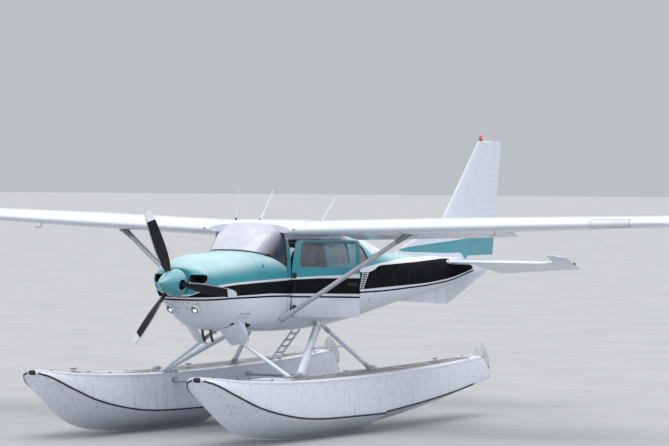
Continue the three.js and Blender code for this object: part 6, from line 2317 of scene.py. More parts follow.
    def lights(self) -> tuple[Patch, Patch]:
        """Landing lights behind a clear strip of the leading edge, fuel cap, pitot and tie-down.

        Returns:
            Fittings, and the clear strip.
        """
        x = np.linspace(4.64, 5.14, 14)[:, None]
        s = np.linspace(0, 1, 9)**2 * 0.052
        up, low = airfoil(s)
        rows = []
        for lift in (0.0016, -0.002):
            top = wing_point(x, s[None] - lift * 0.6, up[None] + TRAILING_EDGE * s + lift)
            under = wing_point(x, s[None] - lift * 0.6, low[None] - TRAILING_EDGE * s - lift)
            row = np.concatenate([under[:, ::-1], top[:, 1:]], 1)
            rows.append(row if lift > 0 else row[:, ::-1])
        lens = loft(np.concatenate(rows, 1))
        edge = np.concatenate([
            wing_point(np.full(9, 4.64), s, up + 0.0014)[::-1],
            wing_point(np.full(9, 4.64), s, low - 0.0014),
            wing_point(np.full(9, 5.14), s, low - 0.0014)[::-1],
            wing_point(np.full(9, 5.14), s, up + 0.0014)])
        rim = hoop(spread(edge, 0.02), circle(0.003, 8), np.array([0, -1.0, 0.01]), 2)
        cap_z = float(wing_point(1.35, 0.30, float(airfoil(np.array(0.30))[0]))[2])
        cap = lathe([(0, -0.004), (0.048, -0.003), (0.046, 0.003), (0.030, 0.005), (0.026, 0.009),
                     (0, 0.009)], (1.35, 1.08, cap_z), (0, 0.03, 1), 32, 0)
        pitot_z = float(wing_point(3.35, 0.12, float(airfoil(np.array(0.12))[1]))[2])
        pitot = rod([(3.35, 0.82, pitot_z), (3.35, 0.82, pitot_z - 0.035),
                     (3.35, 0.80, pitot_z - 0.048), (3.35, 0.68, pitot_z - 0.048)],
                    0.006, up=(1, 0.1, 0.1))
        ring_z = float(wing_point(2.18, 0.22, float(airfoil(np.array(0.22))[1]))[2])
        a = np.linspace(0, 2 * math.pi, 25)[:-1]
        loop = np.stack([2.18 + 0.018 * np.cos(a), np.full(24, 0.95),
                         ring_z - 0.014 + 0.018 * np.sin(a)], -1)
        tie = hoop(loop, circle(0.004, 8), np.array([0, 1.0, 0]), 0)
        vents = []
        for x0, y0 in ((1.20, 0.62), (0.66, 0.60)):
            centre = (x0, y0 - 0.006, 0.617 + (x0 - 0.58) * 0.033)
            vents.append(lathe([(0, -0.004), (0.021, -0.003), (0.022, 0.001), (0.018, 0.003),
                                (0.016, 0.0005), (0, 0.0005)], centre, (0, -0.92, -0.4), 22, 2))
        hinges = []
        for x0, _, share, _ in (self.flap, self.aileron):
            for k in (0.2, 1.15, 2.1):
                p = wing_point(x0 + k, share - 0.02, float(airfoil(np.array(share))[1]))
                hinges.append(block(p + [0, -0.02, -0.006], (0.022, 0.16, 0.026), 3, 1, 9))
        return joined([rim, cap, pitot, tie, *vents, *hinges]), lens


@dataclass
class Tail:
    """Stabilizer, elevator, fin with its dorsal, rudder and beacon."""

    axis_y: float = 6.102
    height: float = 0.124
    droop: float = 20.0
    ratio: float = 0.072
    fin_ratio: float = 0.05

    def stabilizer(self) -> Patch:
        """Sections from tip to tip: y from the leading edge to ahead of the elevator's nose,
        z = height +- chord * half thickness.

        Returns:
            The closed stabilizer.
        """
        x = np.r_[np.linspace(0, 1.38, 24), 1.40, 1.42, 1.44, 1.455, 1.470, 1.485, 1.5]
        x = np.r_[-x[:0:-1], x][:, None]
        r = np.abs(x)
        front = 5.440 + 0.18 * r + 0.190 * (np.clip(r - 1.380, 0, None) / 0.120)**2.2
        chord = 6.690 - 0.195 * r - front
        rear = self.axis_y - (0.034 - 0.0085 * r) - 0.007
        s = (1 - np.cos(np.linspace(0, 0.5 * math.pi, 22)))[None]
        y = front + (rear - front) * s
        edge = np.sqrt(np.clip(1 - ((r - 1.46) / 0.046)**2 * (r > 1.46), 0.12, 1))
        h = chord * np.maximum(half_section((y - front) / chord, self.ratio), 0.002) * edge
        x = np.broadcast_to(x, y.shape)
        top, under = np.stack([x, y, self.height + h], -1), np.stack([x, y, self.height - h], -1)
        patch = welded(loft(np.concatenate([top, under[:, :0:-1]], 1)))
        patch.values = {"chord": (patch.points[:, 1] - 5.44) * 0.65}
        return patch

    def elevator(self) -> Patch:
        """Both elevator halves with beads, their horns and the tube that joins them.

        Returns:
            The closed surfaces joined, at the elevator's droop.
        """
        x = np.unique(np.r_[np.linspace(.165, 1.70, 180), .390, np.linspace(1.70, 1.77, 8)])[:, None]
        nose = 0.034 - 0.0085 * x
        rear = np.where(x < .390, 6.330 + (6.614 - 6.330) * (x - .165) / .225, 6.690 - .195 * x)
        rear = np.where(x > 1.70, 6.3585 - 0.0285 * ((x - 1.70) / .07)**2, rear) - self.axis_y
        a = np.radians(np.linspace(90, 270, 11))[None]
        t = np.linspace(0, 1, 14)[None]
        fade = np.clip((t - 0.14) / 0.05, 0, 1) * np.clip((0.95 - t) / 0.05, 0, 1)
        lift = bead(x, 0.075, 0.0022) * fade * (x < 1.68)
        thick = nose + (0.0025 - nose) * t + lift
        run = rear * t
        y = np.concatenate([run[:, ::-1], nose * np.cos(a), run[:, 1:]], 1)
        z = np.concatenate([thick[:, ::-1], nose * np.sin(a), -thick[:, 1:]], 1)
        keep = np.r_[0:13, 14:y.shape[1]]
        y, z = y[:, keep], z[:, keep]
        flat = loft(np.stack([np.broadcast_to(x, y.shape), self.axis_y + y, self.height + z], -1))
        hx = np.linspace(1.508, 1.77, 10)[:, None]
        k = (hx - 1.508) / 0.262
        front = 5.770 + 0.110 * k**1.6
        s = (1 - np.cos(np.linspace(0, 0.5 * math.pi, 18)))[None]
        hy = front + (6.150 - front) * s
        chord = 0.720 - 0.110 * k
        half = np.maximum(half_section((hy - front) / chord, 0.075), 0.002)
        h = chord * half * np.sqrt(1 - 0.7 * k**4)
        hx = np.broadcast_to(hx, hy.shape)
        horn = loft(np.concatenate([np.stack([hx, hy, self.height + h], -1),
                                    np.stack([hx, hy, self.height - h], -1)[:, :0:-1]], 1))
        tube = rod([(-0.2, self.axis_y, self.height), (0, self.axis_y, self.height),
                    (0.2, self.axis_y, self.height)], 0.016)
        both = [flat, horn, flat.mirrored(), horn.mirrored(), tube]
        return joined(both).mapped(lambda p: turned(p, (1, 0, 0), -self.droop,
                                                    (0, self.axis_y, self.height)))

    @staticmethod
    def fin_front(z: Array) -> Array:
        """Station of the fin's leading edge at a height."""
        return 5.030 + 0.952 * (z - 0.150)

    @staticmethod
    def rudder_rear(z: Array) -> Array:
        """Station of the rudder's trailing edge at a height."""
        return 7.040 + 0.1476 * (z - 0.150)

    @staticmethod
    def hinge(z: Array) -> Array:
        """Station of the rudder's hinge line at a height."""
        return 6.262 + (6.965 - 6.262) * (z - 0.150) / 1.655

    def rudder_nose(self, z: Array) -> Array:
        """Radius of the rudder's nose at a height."""
        front = self.fin_front(z)
        chord = self.rudder_rear(z) - front
        return chord * half_section((self.hinge(z) - front) / chord, self.fin_ratio)

    @staticmethod
    def fin_values(patch: Patch) -> Patch:
        """Stores the distances to the teal line and to the cap's joints.

        Args:
            patch: the fin or the rudder.

        Returns:
            The same patch.
        """
        p = patch.points
        line = np.array(FIN_LINE)
        cap = np.minimum(np.abs(p[:, 2] - 1.760), np.abs(p[:, 2] - 1.528))
        foot = np.array(FIN_FOOT)
        patch.values = {"line_fin": p[:, 2] - np.interp(p[:, 1], line[:, 0], line[:, 1]),
                        "line_foot": p[:, 2] - np.interp(p[:, 1], foot[:, 0], foot[:, 1]),
                        "line_cap": cap}
        return patch

    def build(self) -> None:
        """Makes the tail surfaces."""
        piece("stabilizer_skin", self.stabilizer(), "tail", "stabilizer", sharp=50)
        piece("elevator_skin", self.elevator(), "white", "elevator", body="elevator", sharp=50)
        z = np.r_[np.linspace(0.131, 1.76, 110), 1.772, 1.784, 1.795, 1.805][:, None]
        shrink = np.r_[np.ones(110), 0.98, 0.92, 0.8, 0.5][:, None]
        front = self.fin_front(z) + np.r_[np.zeros(110), 0.003, 0.010, 0.022, 0.040][:, None]
        chord = self.rudder_rear(z) - self.fin_front(z)
        rear = self.hinge(z) - self.rudder_nose(z) - 0.009
        y = front + (rear - front) * (1 - np.cos(np.linspace(0, 0.5 * math.pi, 20)))[None]
        half = half_section((y - self.fin_front(z)) / chord, self.fin_ratio)
        h = chord * np.maximum(half, .0025) * shrink
        h[:, 0] = 0
        zz = np.broadcast_to(z, y.shape)
        fin = welded(loft(np.concatenate([np.stack([h, y, zz], -1),
                                          np.stack([-h, y, zz], -1)[:, :0:-1]], 1)))
        rows = smooth_rows(table([[3950, 100, 8], [4400, 320, 13], [5000, 505, 20],
                                  [5580, 712, 30], [5900, 720, 34]], 3), np.linspace(3.95, 5.9, 90))
        a = np.linspace(0, math.pi, 25)[None]
        x = rows[:, 2:] * np.sign(np.cos(a)) * np.abs(np.cos(a))**0.6
        top = 0.06 + (rows[:, 1:2] - 0.06) * np.sin(a)**0.35
        dorsal = loft(np.stack([x, np.broadcast_to(rows[:, :1], x.shape), top], -1))
        piece("fin_skin", self.fin_values(joined([fin, dorsal])), "fin", "fin", sharp=45)
        z = np.linspace(0.196, 1.805, 230)[:, None]
        nose = self.rudder_nose(z)
        run = self.rudder_rear(z) - self.hinge(z)
        a = np.radians(np.linspace(90, 270, 11))[None]
        t = np.linspace(0, 1, 14)[None]
        fade = np.clip((t - 0.14) / 0.05, 0, 1) * np.clip((0.95 - t) / 0.05, 0, 1)
        ridge = bead(z - 0.27, 0.098, 0.0022) * fade * (z < 1.50) * (z > 0.24)
        thick = nose + (0.0025 - nose) * t + ridge
        across = np.concatenate([thick[:, ::-1], nose * np.sin(a)[:, 1:], -thick[:, 1:]], 1)
        along = np.concatenate([(run * t)[:, ::-1], nose * np.cos(a)[:, 1:], (run * t)[:, 1:]], 1)
        rudder = loft(np.stack([across, self.hinge(z) + along, np.broadcast_to(z, along.shape)], -1))
        pins = rod([(0, float(self.hinge(zz)), zz) for zz in (0.130, 0.17, 0.216)], 0.007)
        piece("rudder_skin", self.fin_values(joined([rudder, pins])), "fin", "rudder",
            body="rudder", sharp=50)
        base = lathe([(0, 0), (0.026, 0), (0.026, 0.010), (0.023, 0.014), (0, 0.014)],
                     (0, 6.672, 1.8053), (0, 0, 1), 32, 1)
        dome = lathe([(0, 0.013), (0.0225, 0.014), (0.0235, 0.030), (0.0215, 0.052), (0.015, 0.068),
                      (0.007, 0.076), (0, 0.0775)], (0, 6.672, 1.8053), (0, 0, 1), 36, 0)
        piece("beacon_lamp", [dome, base], "red dark", "beacon")
        parts = []
        for side in Side:
            x = np.linspace(0, 1, 20)
            path = np.stack([side.value * (0.168 - 0.055 * x), 5.46 + 0.60 * x, 0.128 + 0 * x], -1)
            parts.append(swept(path, box_ring(0.012, 0.042, 0.010), (0, 0, 1),
                               0.35 + 0.65 * np.sin(math.pi * np.clip(x, 0.02, 0.98))**0.5))
        parts.append(block((0, 6.838, 0.03), (0.045, 0.05, 0.075), 3, 0))
        piece("tail_fairings", parts, "white")


@dataclass
class Floats:
    """The two floats with their struts, spreader bars, ladder and water rudders."""

    middle: float = 1.170
    transom_top: float = 4.330
    transom_height: float = -1.100
    transom_lean: float = 0.8
    fore: Array = field(default_factory=lambda: table([
        [-2350, -1085, -1068, -1050, 45, 38, -1034], [-2250, -1240, -1120, -1058, 190, 168, -1034],
        [-2000, -1490, -1250, -1090, 300, 280, -1060], [-1500, -1740, -1435, -1130, 365, 340, -1102],
        [-800, -1852, -1575, -1165, 385, 355, -1137], [-200, -1880, -1630, -1182, 385, 355, -1156],
        [800, -1880, -1650, -1188, 385, 350, -1162], [1360, -1880, -1655, -1182, 380, 345, -1157]], 7))
    after: Array = field(default_factory=lambda: table([
        [1360, -1815, -1640, -1182, 375, 345, -1157], [2200, -1745, -1585, -1168, 350, 325, -1143],
        [3000, -1655, -1525, -1146, 300, 280, -1121], [3800, -1545, -1450, -1118, 228, 212, -1094],
        [4330, -1405, -1372, -1100, 160, 156, -1078]], 7))
    blade_outline: tuple = ((-223, 394), (-345, 324), (-325, 189), (-112, 79), (0, 0), (59, 54),
                            (47, 139), (-62, 275))
    pivot: tuple = (4.738, -1.245)
    post_station: float = 4.650

    def row(self, y: Array) -> Array:
        """The hull table at a station, before or behind the step."""
        y = np.asarray(y, float)
        return np.where((y < 1.36)[..., None], smooth_rows(self.fore, y), smooth_rows(self.after, y))

    def deck(self, y: float) -> float:
        """Height of the deck's middle at a station."""
        return float(self.row(np.array(y))[6])

    def hull(self) -> Patch:
        """The left float: from the keel a slightly hollow bottom x = chine s,
        z = keel + rise (s - 0.1 s (1 - s)), a lip, a side to the deck edge, and the deck
        z = edge + crown (1 - u^6).

        Returns:
            The closed hull, its deck with finish 1, and the walkway strip's distance stored.
        """
        fore_y = -2.35 + 3.71 * np.linspace(0, 1, 90)**1.25
        rows = np.concatenate([smooth_rows(self.fore, fore_y),
                               smooth_rows(self.after, np.linspace(1.36, 4.33, 72))])
        y, keel, chine, edge, chine_half, edge_half, crown = [rows[:, k:k + 1] for k in range(7)]
        s = np.linspace(0, 1, 10)[None]
        t = np.linspace(0, 1, 7)[None]
        u = np.array([1.0, 0.985, 0.955, 0.91, 0.84, 0.7, 0.5, 0.25, 0.0])[None]
        x = np.concatenate([
            chine_half * s, chine_half + 0.006 + (edge_half - chine_half - 0.006) * t
            + 0.008 * np.sin(math.pi * t), edge_half * u], 1)
        z = np.concatenate([keel + (chine - keel) * (s - 0.10 * s * (1 - s)),
                            chine + 0.018 + (edge - chine - 0.018) * t,
                            edge + (crown - edge) * (1 - u**6)], 1)
        keep = np.r_[0:17, 18:26]
        x, z = x[:, keep], z[:, keep]
        x, z = np.concatenate([x, -x[:, -2:0:-1]], 1), np.concatenate([z, z[:, -2:0:-1]], 1)
        share = np.clip((y - 3.8) / 0.53, 0, 1)
        back = share * np.clip(self.transom_height - z, 0, None) * self.transom_lean
        patch = loft(np.stack([self.middle + x, np.broadcast_to(y, x.shape) + back, z], -1))
        p, n = patch.points, x.shape[1]
        r = self.row(p[:, 1])
        off = np.abs(p[:, 0] - self.middle)
        corner = np.where(patch.faces[:, 3:] < 0, patch.faces[:, :1], patch.faces)
        column = corner.astype(int) % n
        deck = ((column >= 16) & (column <= n - 16)).all(1) & (patch.faces[:, 3] >= 0)
        patch.finish[deck] = 1
        patch.values = {"walk": least([0.62 * r[:, 5] - off, p[:, 1] + 1.95, 4.05 - p[:, 1]])}
        return patch

    def trimming(self) -> Patch:
        """Keel strip, spray rails, bow bumper, hatches, pump-out cups, cleats and brackets.

        Returns:
            The left float's closed pieces joined.
        """
        parts = []
        for rows in (self.fore, self.after):
            y = np.linspace(rows[0, 0] + 0.02, rows[-1, 0] - 0.01, 60)
            r = smooth_rows(rows, y)
            for side in (1, -1):
                lip = np.stack([self.middle + side * (r[:, 4] + 0.005), y, r[:, 2] + 0.010], -1)
                parts.append(swept(lip, box_ring(0.007, 0.011, 0.004), (0, 0, 1), finish=2))
                gunwale = np.stack([self.middle + side * (r[:, 5] - 0.001), y, r[:, 3] + 0.004], -1)
                parts.append(swept(gunwale, box_ring(0.005, 0.013, 0.003), (0, 0, 1), finish=0))
            keel = np.stack([np.full_like(y, self.middle), y, r[:, 1] + 0.004], -1)
            parts.append(swept(keel, box_ring(0.012, 0.005, 0.003), (0, 0, 1), finish=0))
        parts.append(block((self.middle, -2.335, -1.062), (0.105, 0.055, 0.060), 3.2, 2, 12))
        for y in (-1.90, -1.12, -0.30, 0.62, 2.30, 3.02, 3.72, 4.14):
            z = self.deck(y)
            parts.append(lathe([(0, -0.006), (0.072, -0.006), (0.074, 0.001), (0.070, 0.0045),
                                (0.060, 0.005), (0.056, 0.003), (0.012, 0.003), (0.010, 0.007),
                                (0, 0.007)], (self.middle, y, z), (0, 0, 1), 40, 3))
            for side in (1, -1):
                parts.append(lathe([(0, -0.004), (0.017, -0.004), (0.017, 0.003), (0.013, 0.004),
                                    (0.011, 0.0015), (0, 0.0015)],
                                   (self.middle + side * 0.16, y + 0.16, z - 0.001), (0, 0, 1), 18, 2))
        z = self.deck(-0.72)
        parts.append(block((self.middle, -0.72, z + 0.002), (0.40, 0.46, 0.016), 9, 0))
        for dy in (-0.17, 0.17):
            parts.append(block((self.middle + 0.205, -0.72 + dy, z + 0.006), (0.03, 0.055, 0.010),
                4, 1))
        for y in (-1.50, 1.02, 3.30):
            z = self.deck(y)
            parts.append(block((self.middle, y, z + 0.003), (0.088, 0.178, 0.017), 7, 1))
            for dy in (-0.028, 0.028):
                parts.append(rod([(self.middle, y + dy * 1.4, z + 0.006),
                    (self.middle, y + dy, z + 0.03), (self.middle, y + dy * 0.8, z + 0.048)],
                    0.0075, 12, finish=1))
            t = np.linspace(-1, 1, 17)
            horn = np.stack([np.full(17, self.middle), y + 0.080 * t, z + 0.046 + 0.006 * t**2], -1)
            parts.append(swept(horn, circle(0.0092, 12), (0, 0, 1), 1.05 - 0.55 * np.abs(t)**1.6, 1))
            for dx in (-0.03, 0.03):
                for dy in (-0.07, 0.07):
                    parts.append(lathe([(0, 0), (0.0065, 0), (0.005, 0.004), (0, 0.0045)],
                                       (self.middle + dx, y + dy, z + 0.011), (0, 0, 1), 8, 1))
        for z in (-1.350, -1.252):
            back = self.transom_top + max(0.0, self.transom_height - z) * self.transom_lean
            a = np.linspace(-0.5 * math.pi, 0.5 * math.pi, 12)
            nose = np.stack([self.middle - 0.026 * np.sin(a),
                             self.post_station + 0.026 * np.cos(a)], -1)
            outline = np.vstack([[self.middle - 0.03, back - 0.02],
                                 [self.middle + 0.03, back - 0.02], nose])
            parts.append(slab(outline, 2, z - 0.008, z + 0.008, finish=1))
        return joined(parts)

    def struts(self, stepped: bool) -> Patch:
        """One side's struts with their end fittings, and the step tube on the left.

        Args:
            stepped: whether the step tube is there.

        Returns:
            The closed pieces joined.
        """
        front, rear = np.array([.115, -.018, -.640]), np.array([.485, 1.514, -.560])
        front_foot, rear_foot = np.array([1.040, .088, -1.215]), np.array([1.040, 1.886, -1.140])
        lines = [(front, front_foot, .084, .044), (rear - [0, .02, 0], front_foot, .104, .056),
                 (rear + [0, .02, 0], rear_foot, .096, .050)]
        parts = []
        for a, b, chord, thick in lines:
            way = unit(b - a)
            parts.append(stay(a, b, chord, thick, 0, 8))
            t = np.linspace(0, 1, 8)
            parts.append(swept(b - way * 0.12 + way * 0.12 * t[:, None], teardrop(chord, thick),
                (0, 1, 0), 1.10 + 0.05 * t, 1))
            parts.append(swept(a + way * 0.09 + way * 0.07 * t[:, None], teardrop(chord, thick),
                (0, 1, 0), 1.10 - 0.05 * t, 1))
            pin = b - way * 0.05
            parts.append(rod([pin - [0.05, 0, 0], pin, pin + [0.05, 0, 0]], 0.011, finish=2))
        parts += [block((0.945, 0.175, self.deck(0.175) + 0.004), (0.165, 0.340, 0.030), 7, 1),
                  block((1.040, 1.886, self.deck(1.886) + 0.004), (0.088, 0.178, 0.030), 7, 1),
                  block((1.040, 0.110, self.deck(0.1) + 0.03), (0.05, 0.15, 0.07), 4, 1),
                  block((1.040, 1.886, self.deck(1.9) + 0.03), (0.05, 0.12, 0.06), 4, 1),
                  block((0.115, -0.018, -0.635), (0.055, 0.095, 0.05), 4, 2),
                  block((0.485, 1.514, -0.575), (0.075, 0.17, 0.05), 4, 2)]
        for x, y in ((0.89, 0.06), (0.89, 0.29), (1.0, 0.29), (1.015, 1.82), (1.065, 1.95)):
            parts.append(lathe([(0, 0), (0.011, 0), (0.011, 0.006), (0.006, 0.007), (0.006, 0.012),
                (0, 0.013)], (x, y, self.deck(y) + 0.017), (0, 0, 1), 12, 2))
        if stepped:
            parts.append(rod([(0.748, 0.853, -0.846), (0.748, 1.28, -0.846), (0.748, 1.73, -0.846)],
                             0.016, 16, finish=0))
            for y in (0.93, 1.65):
                parts.append(rod([(0.748, y - 0.03, -0.846), (0.748, y, -0.846),
                                  (0.748, y + 0.03, -0.846)], 0.020, 16, finish=2))
        return joined(parts)

    def rudder(self) -> tuple[Patch, Patch]:
        """The left water rudder: its post with the fork, and its blade with pressed ribs.

        Returns:
            The post and the blade.
        """
        x, (py, pz) = self.middle, self.pivot
        y = self.post_station
        stack = [([(0, 0), (0.012, 0), (0.012, 0.136), (0, 0.136)], -1.368, 20),
                 ([(0, 0), (0.020, 0), (0.022, 0.004), (0.022, 0.065), (0.020, 0.069),
                   (0, 0.069)], -1.335, 24),
                 ([(0, 0), (0.016, 0), (0.016, 0.007), (0.009, 0.009), (0, 0.010)], -1.2315, 6)]
        post = [lathe(shape, (x, y, z), (0, 0, 1), sides) for shape, z, sides in stack]
        fork = rounded([[4.650, -1.330], [4.720, -1.296], [4.762, -1.262], [4.762, -1.226],
                        [4.716, -1.226], [4.690, -1.268], [4.650, -1.268]], 0.010, 5)
        for side in (1, -1):
            low, high = sorted((x + side * 0.0112, x + side * 0.0208))
            post.append(slab(fork, 0, low, high))
            post.append(lathe([(0, 0), (0.013, 0), (0.013, 0.005), (0, 0.006)],
                              (x + side * 0.0208, py, pz), (side, 0, 0), 6, 1))
        corners = np.array(self.blade_outline) * MM + [py, pz - 0.027]
        outline = rounded(corners, 0.030, 7)
        plate = slab(outline, 0, x - 0.0042, x + 0.0042, 0.002)
        inner = corners.mean(0) + (corners - corners.mean(0)) * 0.72
        ribs = []
        for a, b in ((0.12, 0.80), (0.30, 0.88)):
            top = inner[0] * (1 - a) + inner[2] * a
            foot = inner[5] * (1 - a * 0.5) + inner[4] * a * 0.5
            share = np.linspace(0.05, b, 10)[:, None]
            path = np.column_stack([np.full(10, x), top + (foot - top) * share])
            ribs.append(swept(path, circle(0.0075, 12), (1, 0, 0),
                              np.sin(math.pi * np.linspace(0.08, 0.92, 10))**0.3))
        boss = lathe([(0, -0.0095), (0.024, -0.0095), (0.026, -0.006), (0.026, 0.006), (0.024, 0.0095),
                      (0, 0.0095)], (x, py, pz), (1, 0, 0), 28)
        pin = rod([(x - 0.028, py, pz), (x, py, pz), (x + 0.028, py, pz)], 0.008, finish=1)
        return joined(post), joined([plate, *ribs, boss, pin])

    def ladder(self) -> Patch:
        """Two streamlined rails from the right float to arms under the belly, with four rungs.

        Returns:
            The closed pieces joined.
        """
        foot = np.array([-.985, 2.820, self.deck(2.82) + 0.006])
        head = np.array([-.420, 2.430, -.706])
        parts = []
        for dy in (-0.09, 0.09):
            shift = np.array([0, dy, 0])
            t = np.linspace(0, 1, 20)[:, None]
            bend = head + shift
            rail = foot + shift + (bend - foot - shift) * t
            top = bend + np.array([0.0, 0.0, 1.0]) * np.linspace(0.02, 0.215, 8)[:, None]
            path = np.vstack([rail, top])
            for _ in range(3):
                path[1:-1] = (path[:-2] + 2 * path[1:-1] + path[2:]) / 4
            parts.append(swept(path, box_ring(0.011, 0.016, 0.008), (0, 1, 0)))
            parts.append(block(foot + shift + [0, 0, 0.004], (0.07, 0.05, 0.02), 5, 1, 9))
        for k in range(4):
            centre = foot + (head - foot) * (k + 1) / 4.6
            parts.append(rod([centre - [0, 0.092, 0], centre, centre + [0, 0.092, 0]], 0.0125))
            parts.append(rod([centre - [0, 0.072, 0], centre, centre + [0, 0.072, 0]], 0.0145,
                finish=2))
        return joined(parts)

    def build(self) -> None:
        """Makes both sides."""
        hull, trimming = self.hull(), self.trimming()
        post, blade = self.rudder()
        for side in Side:
            word = side.word
            piece(f"float_hull_{word}", side.of(hull), "float deck", f"float_{word}", sharp=40)
            piece(f"float_fittings_{word}", side.of(trimming), "white steel rubber grey")
            piece(f"float_strut_tubes_{word}", side.of(self.struts(side is Side.LEFT)),
                "white grey steel rubber", f"float_struts_{word}")
            piece(f"water_rudder_fork_{word}", side.of(post), "steel steel",
                f"water_rudder_post_{word}", body=f"water_rudder_post_{word}")
            piece(f"water_rudder_blade_{word}", side.of(blade), "rudder steel",
                f"water_rudder_{word}", body=f"water_rudder_{word}")
        for name, station in (("front", 0.174), ("rear", 1.905)):
            r = self.row(np.array(station))
            half = self.middle - float(r[5]) + 0.030
            bar = stay((-half, station, -1.270), (half, station, -1.270), 0.090, 0.046, 0, 14)
            ends = [block((s * (self.middle - float(r[5]) - 0.004), station, -1.270),
                          (0.022, 0.150, 0.085), 5, 1) for s in (1, -1)]
            piece(f"spreader_tube_{name}", [bar, *ends], "grey steel", f"spreader_bar_{name}")
        piece("ladder", self.ladder(), "white grey grey", "boarding_ladder")


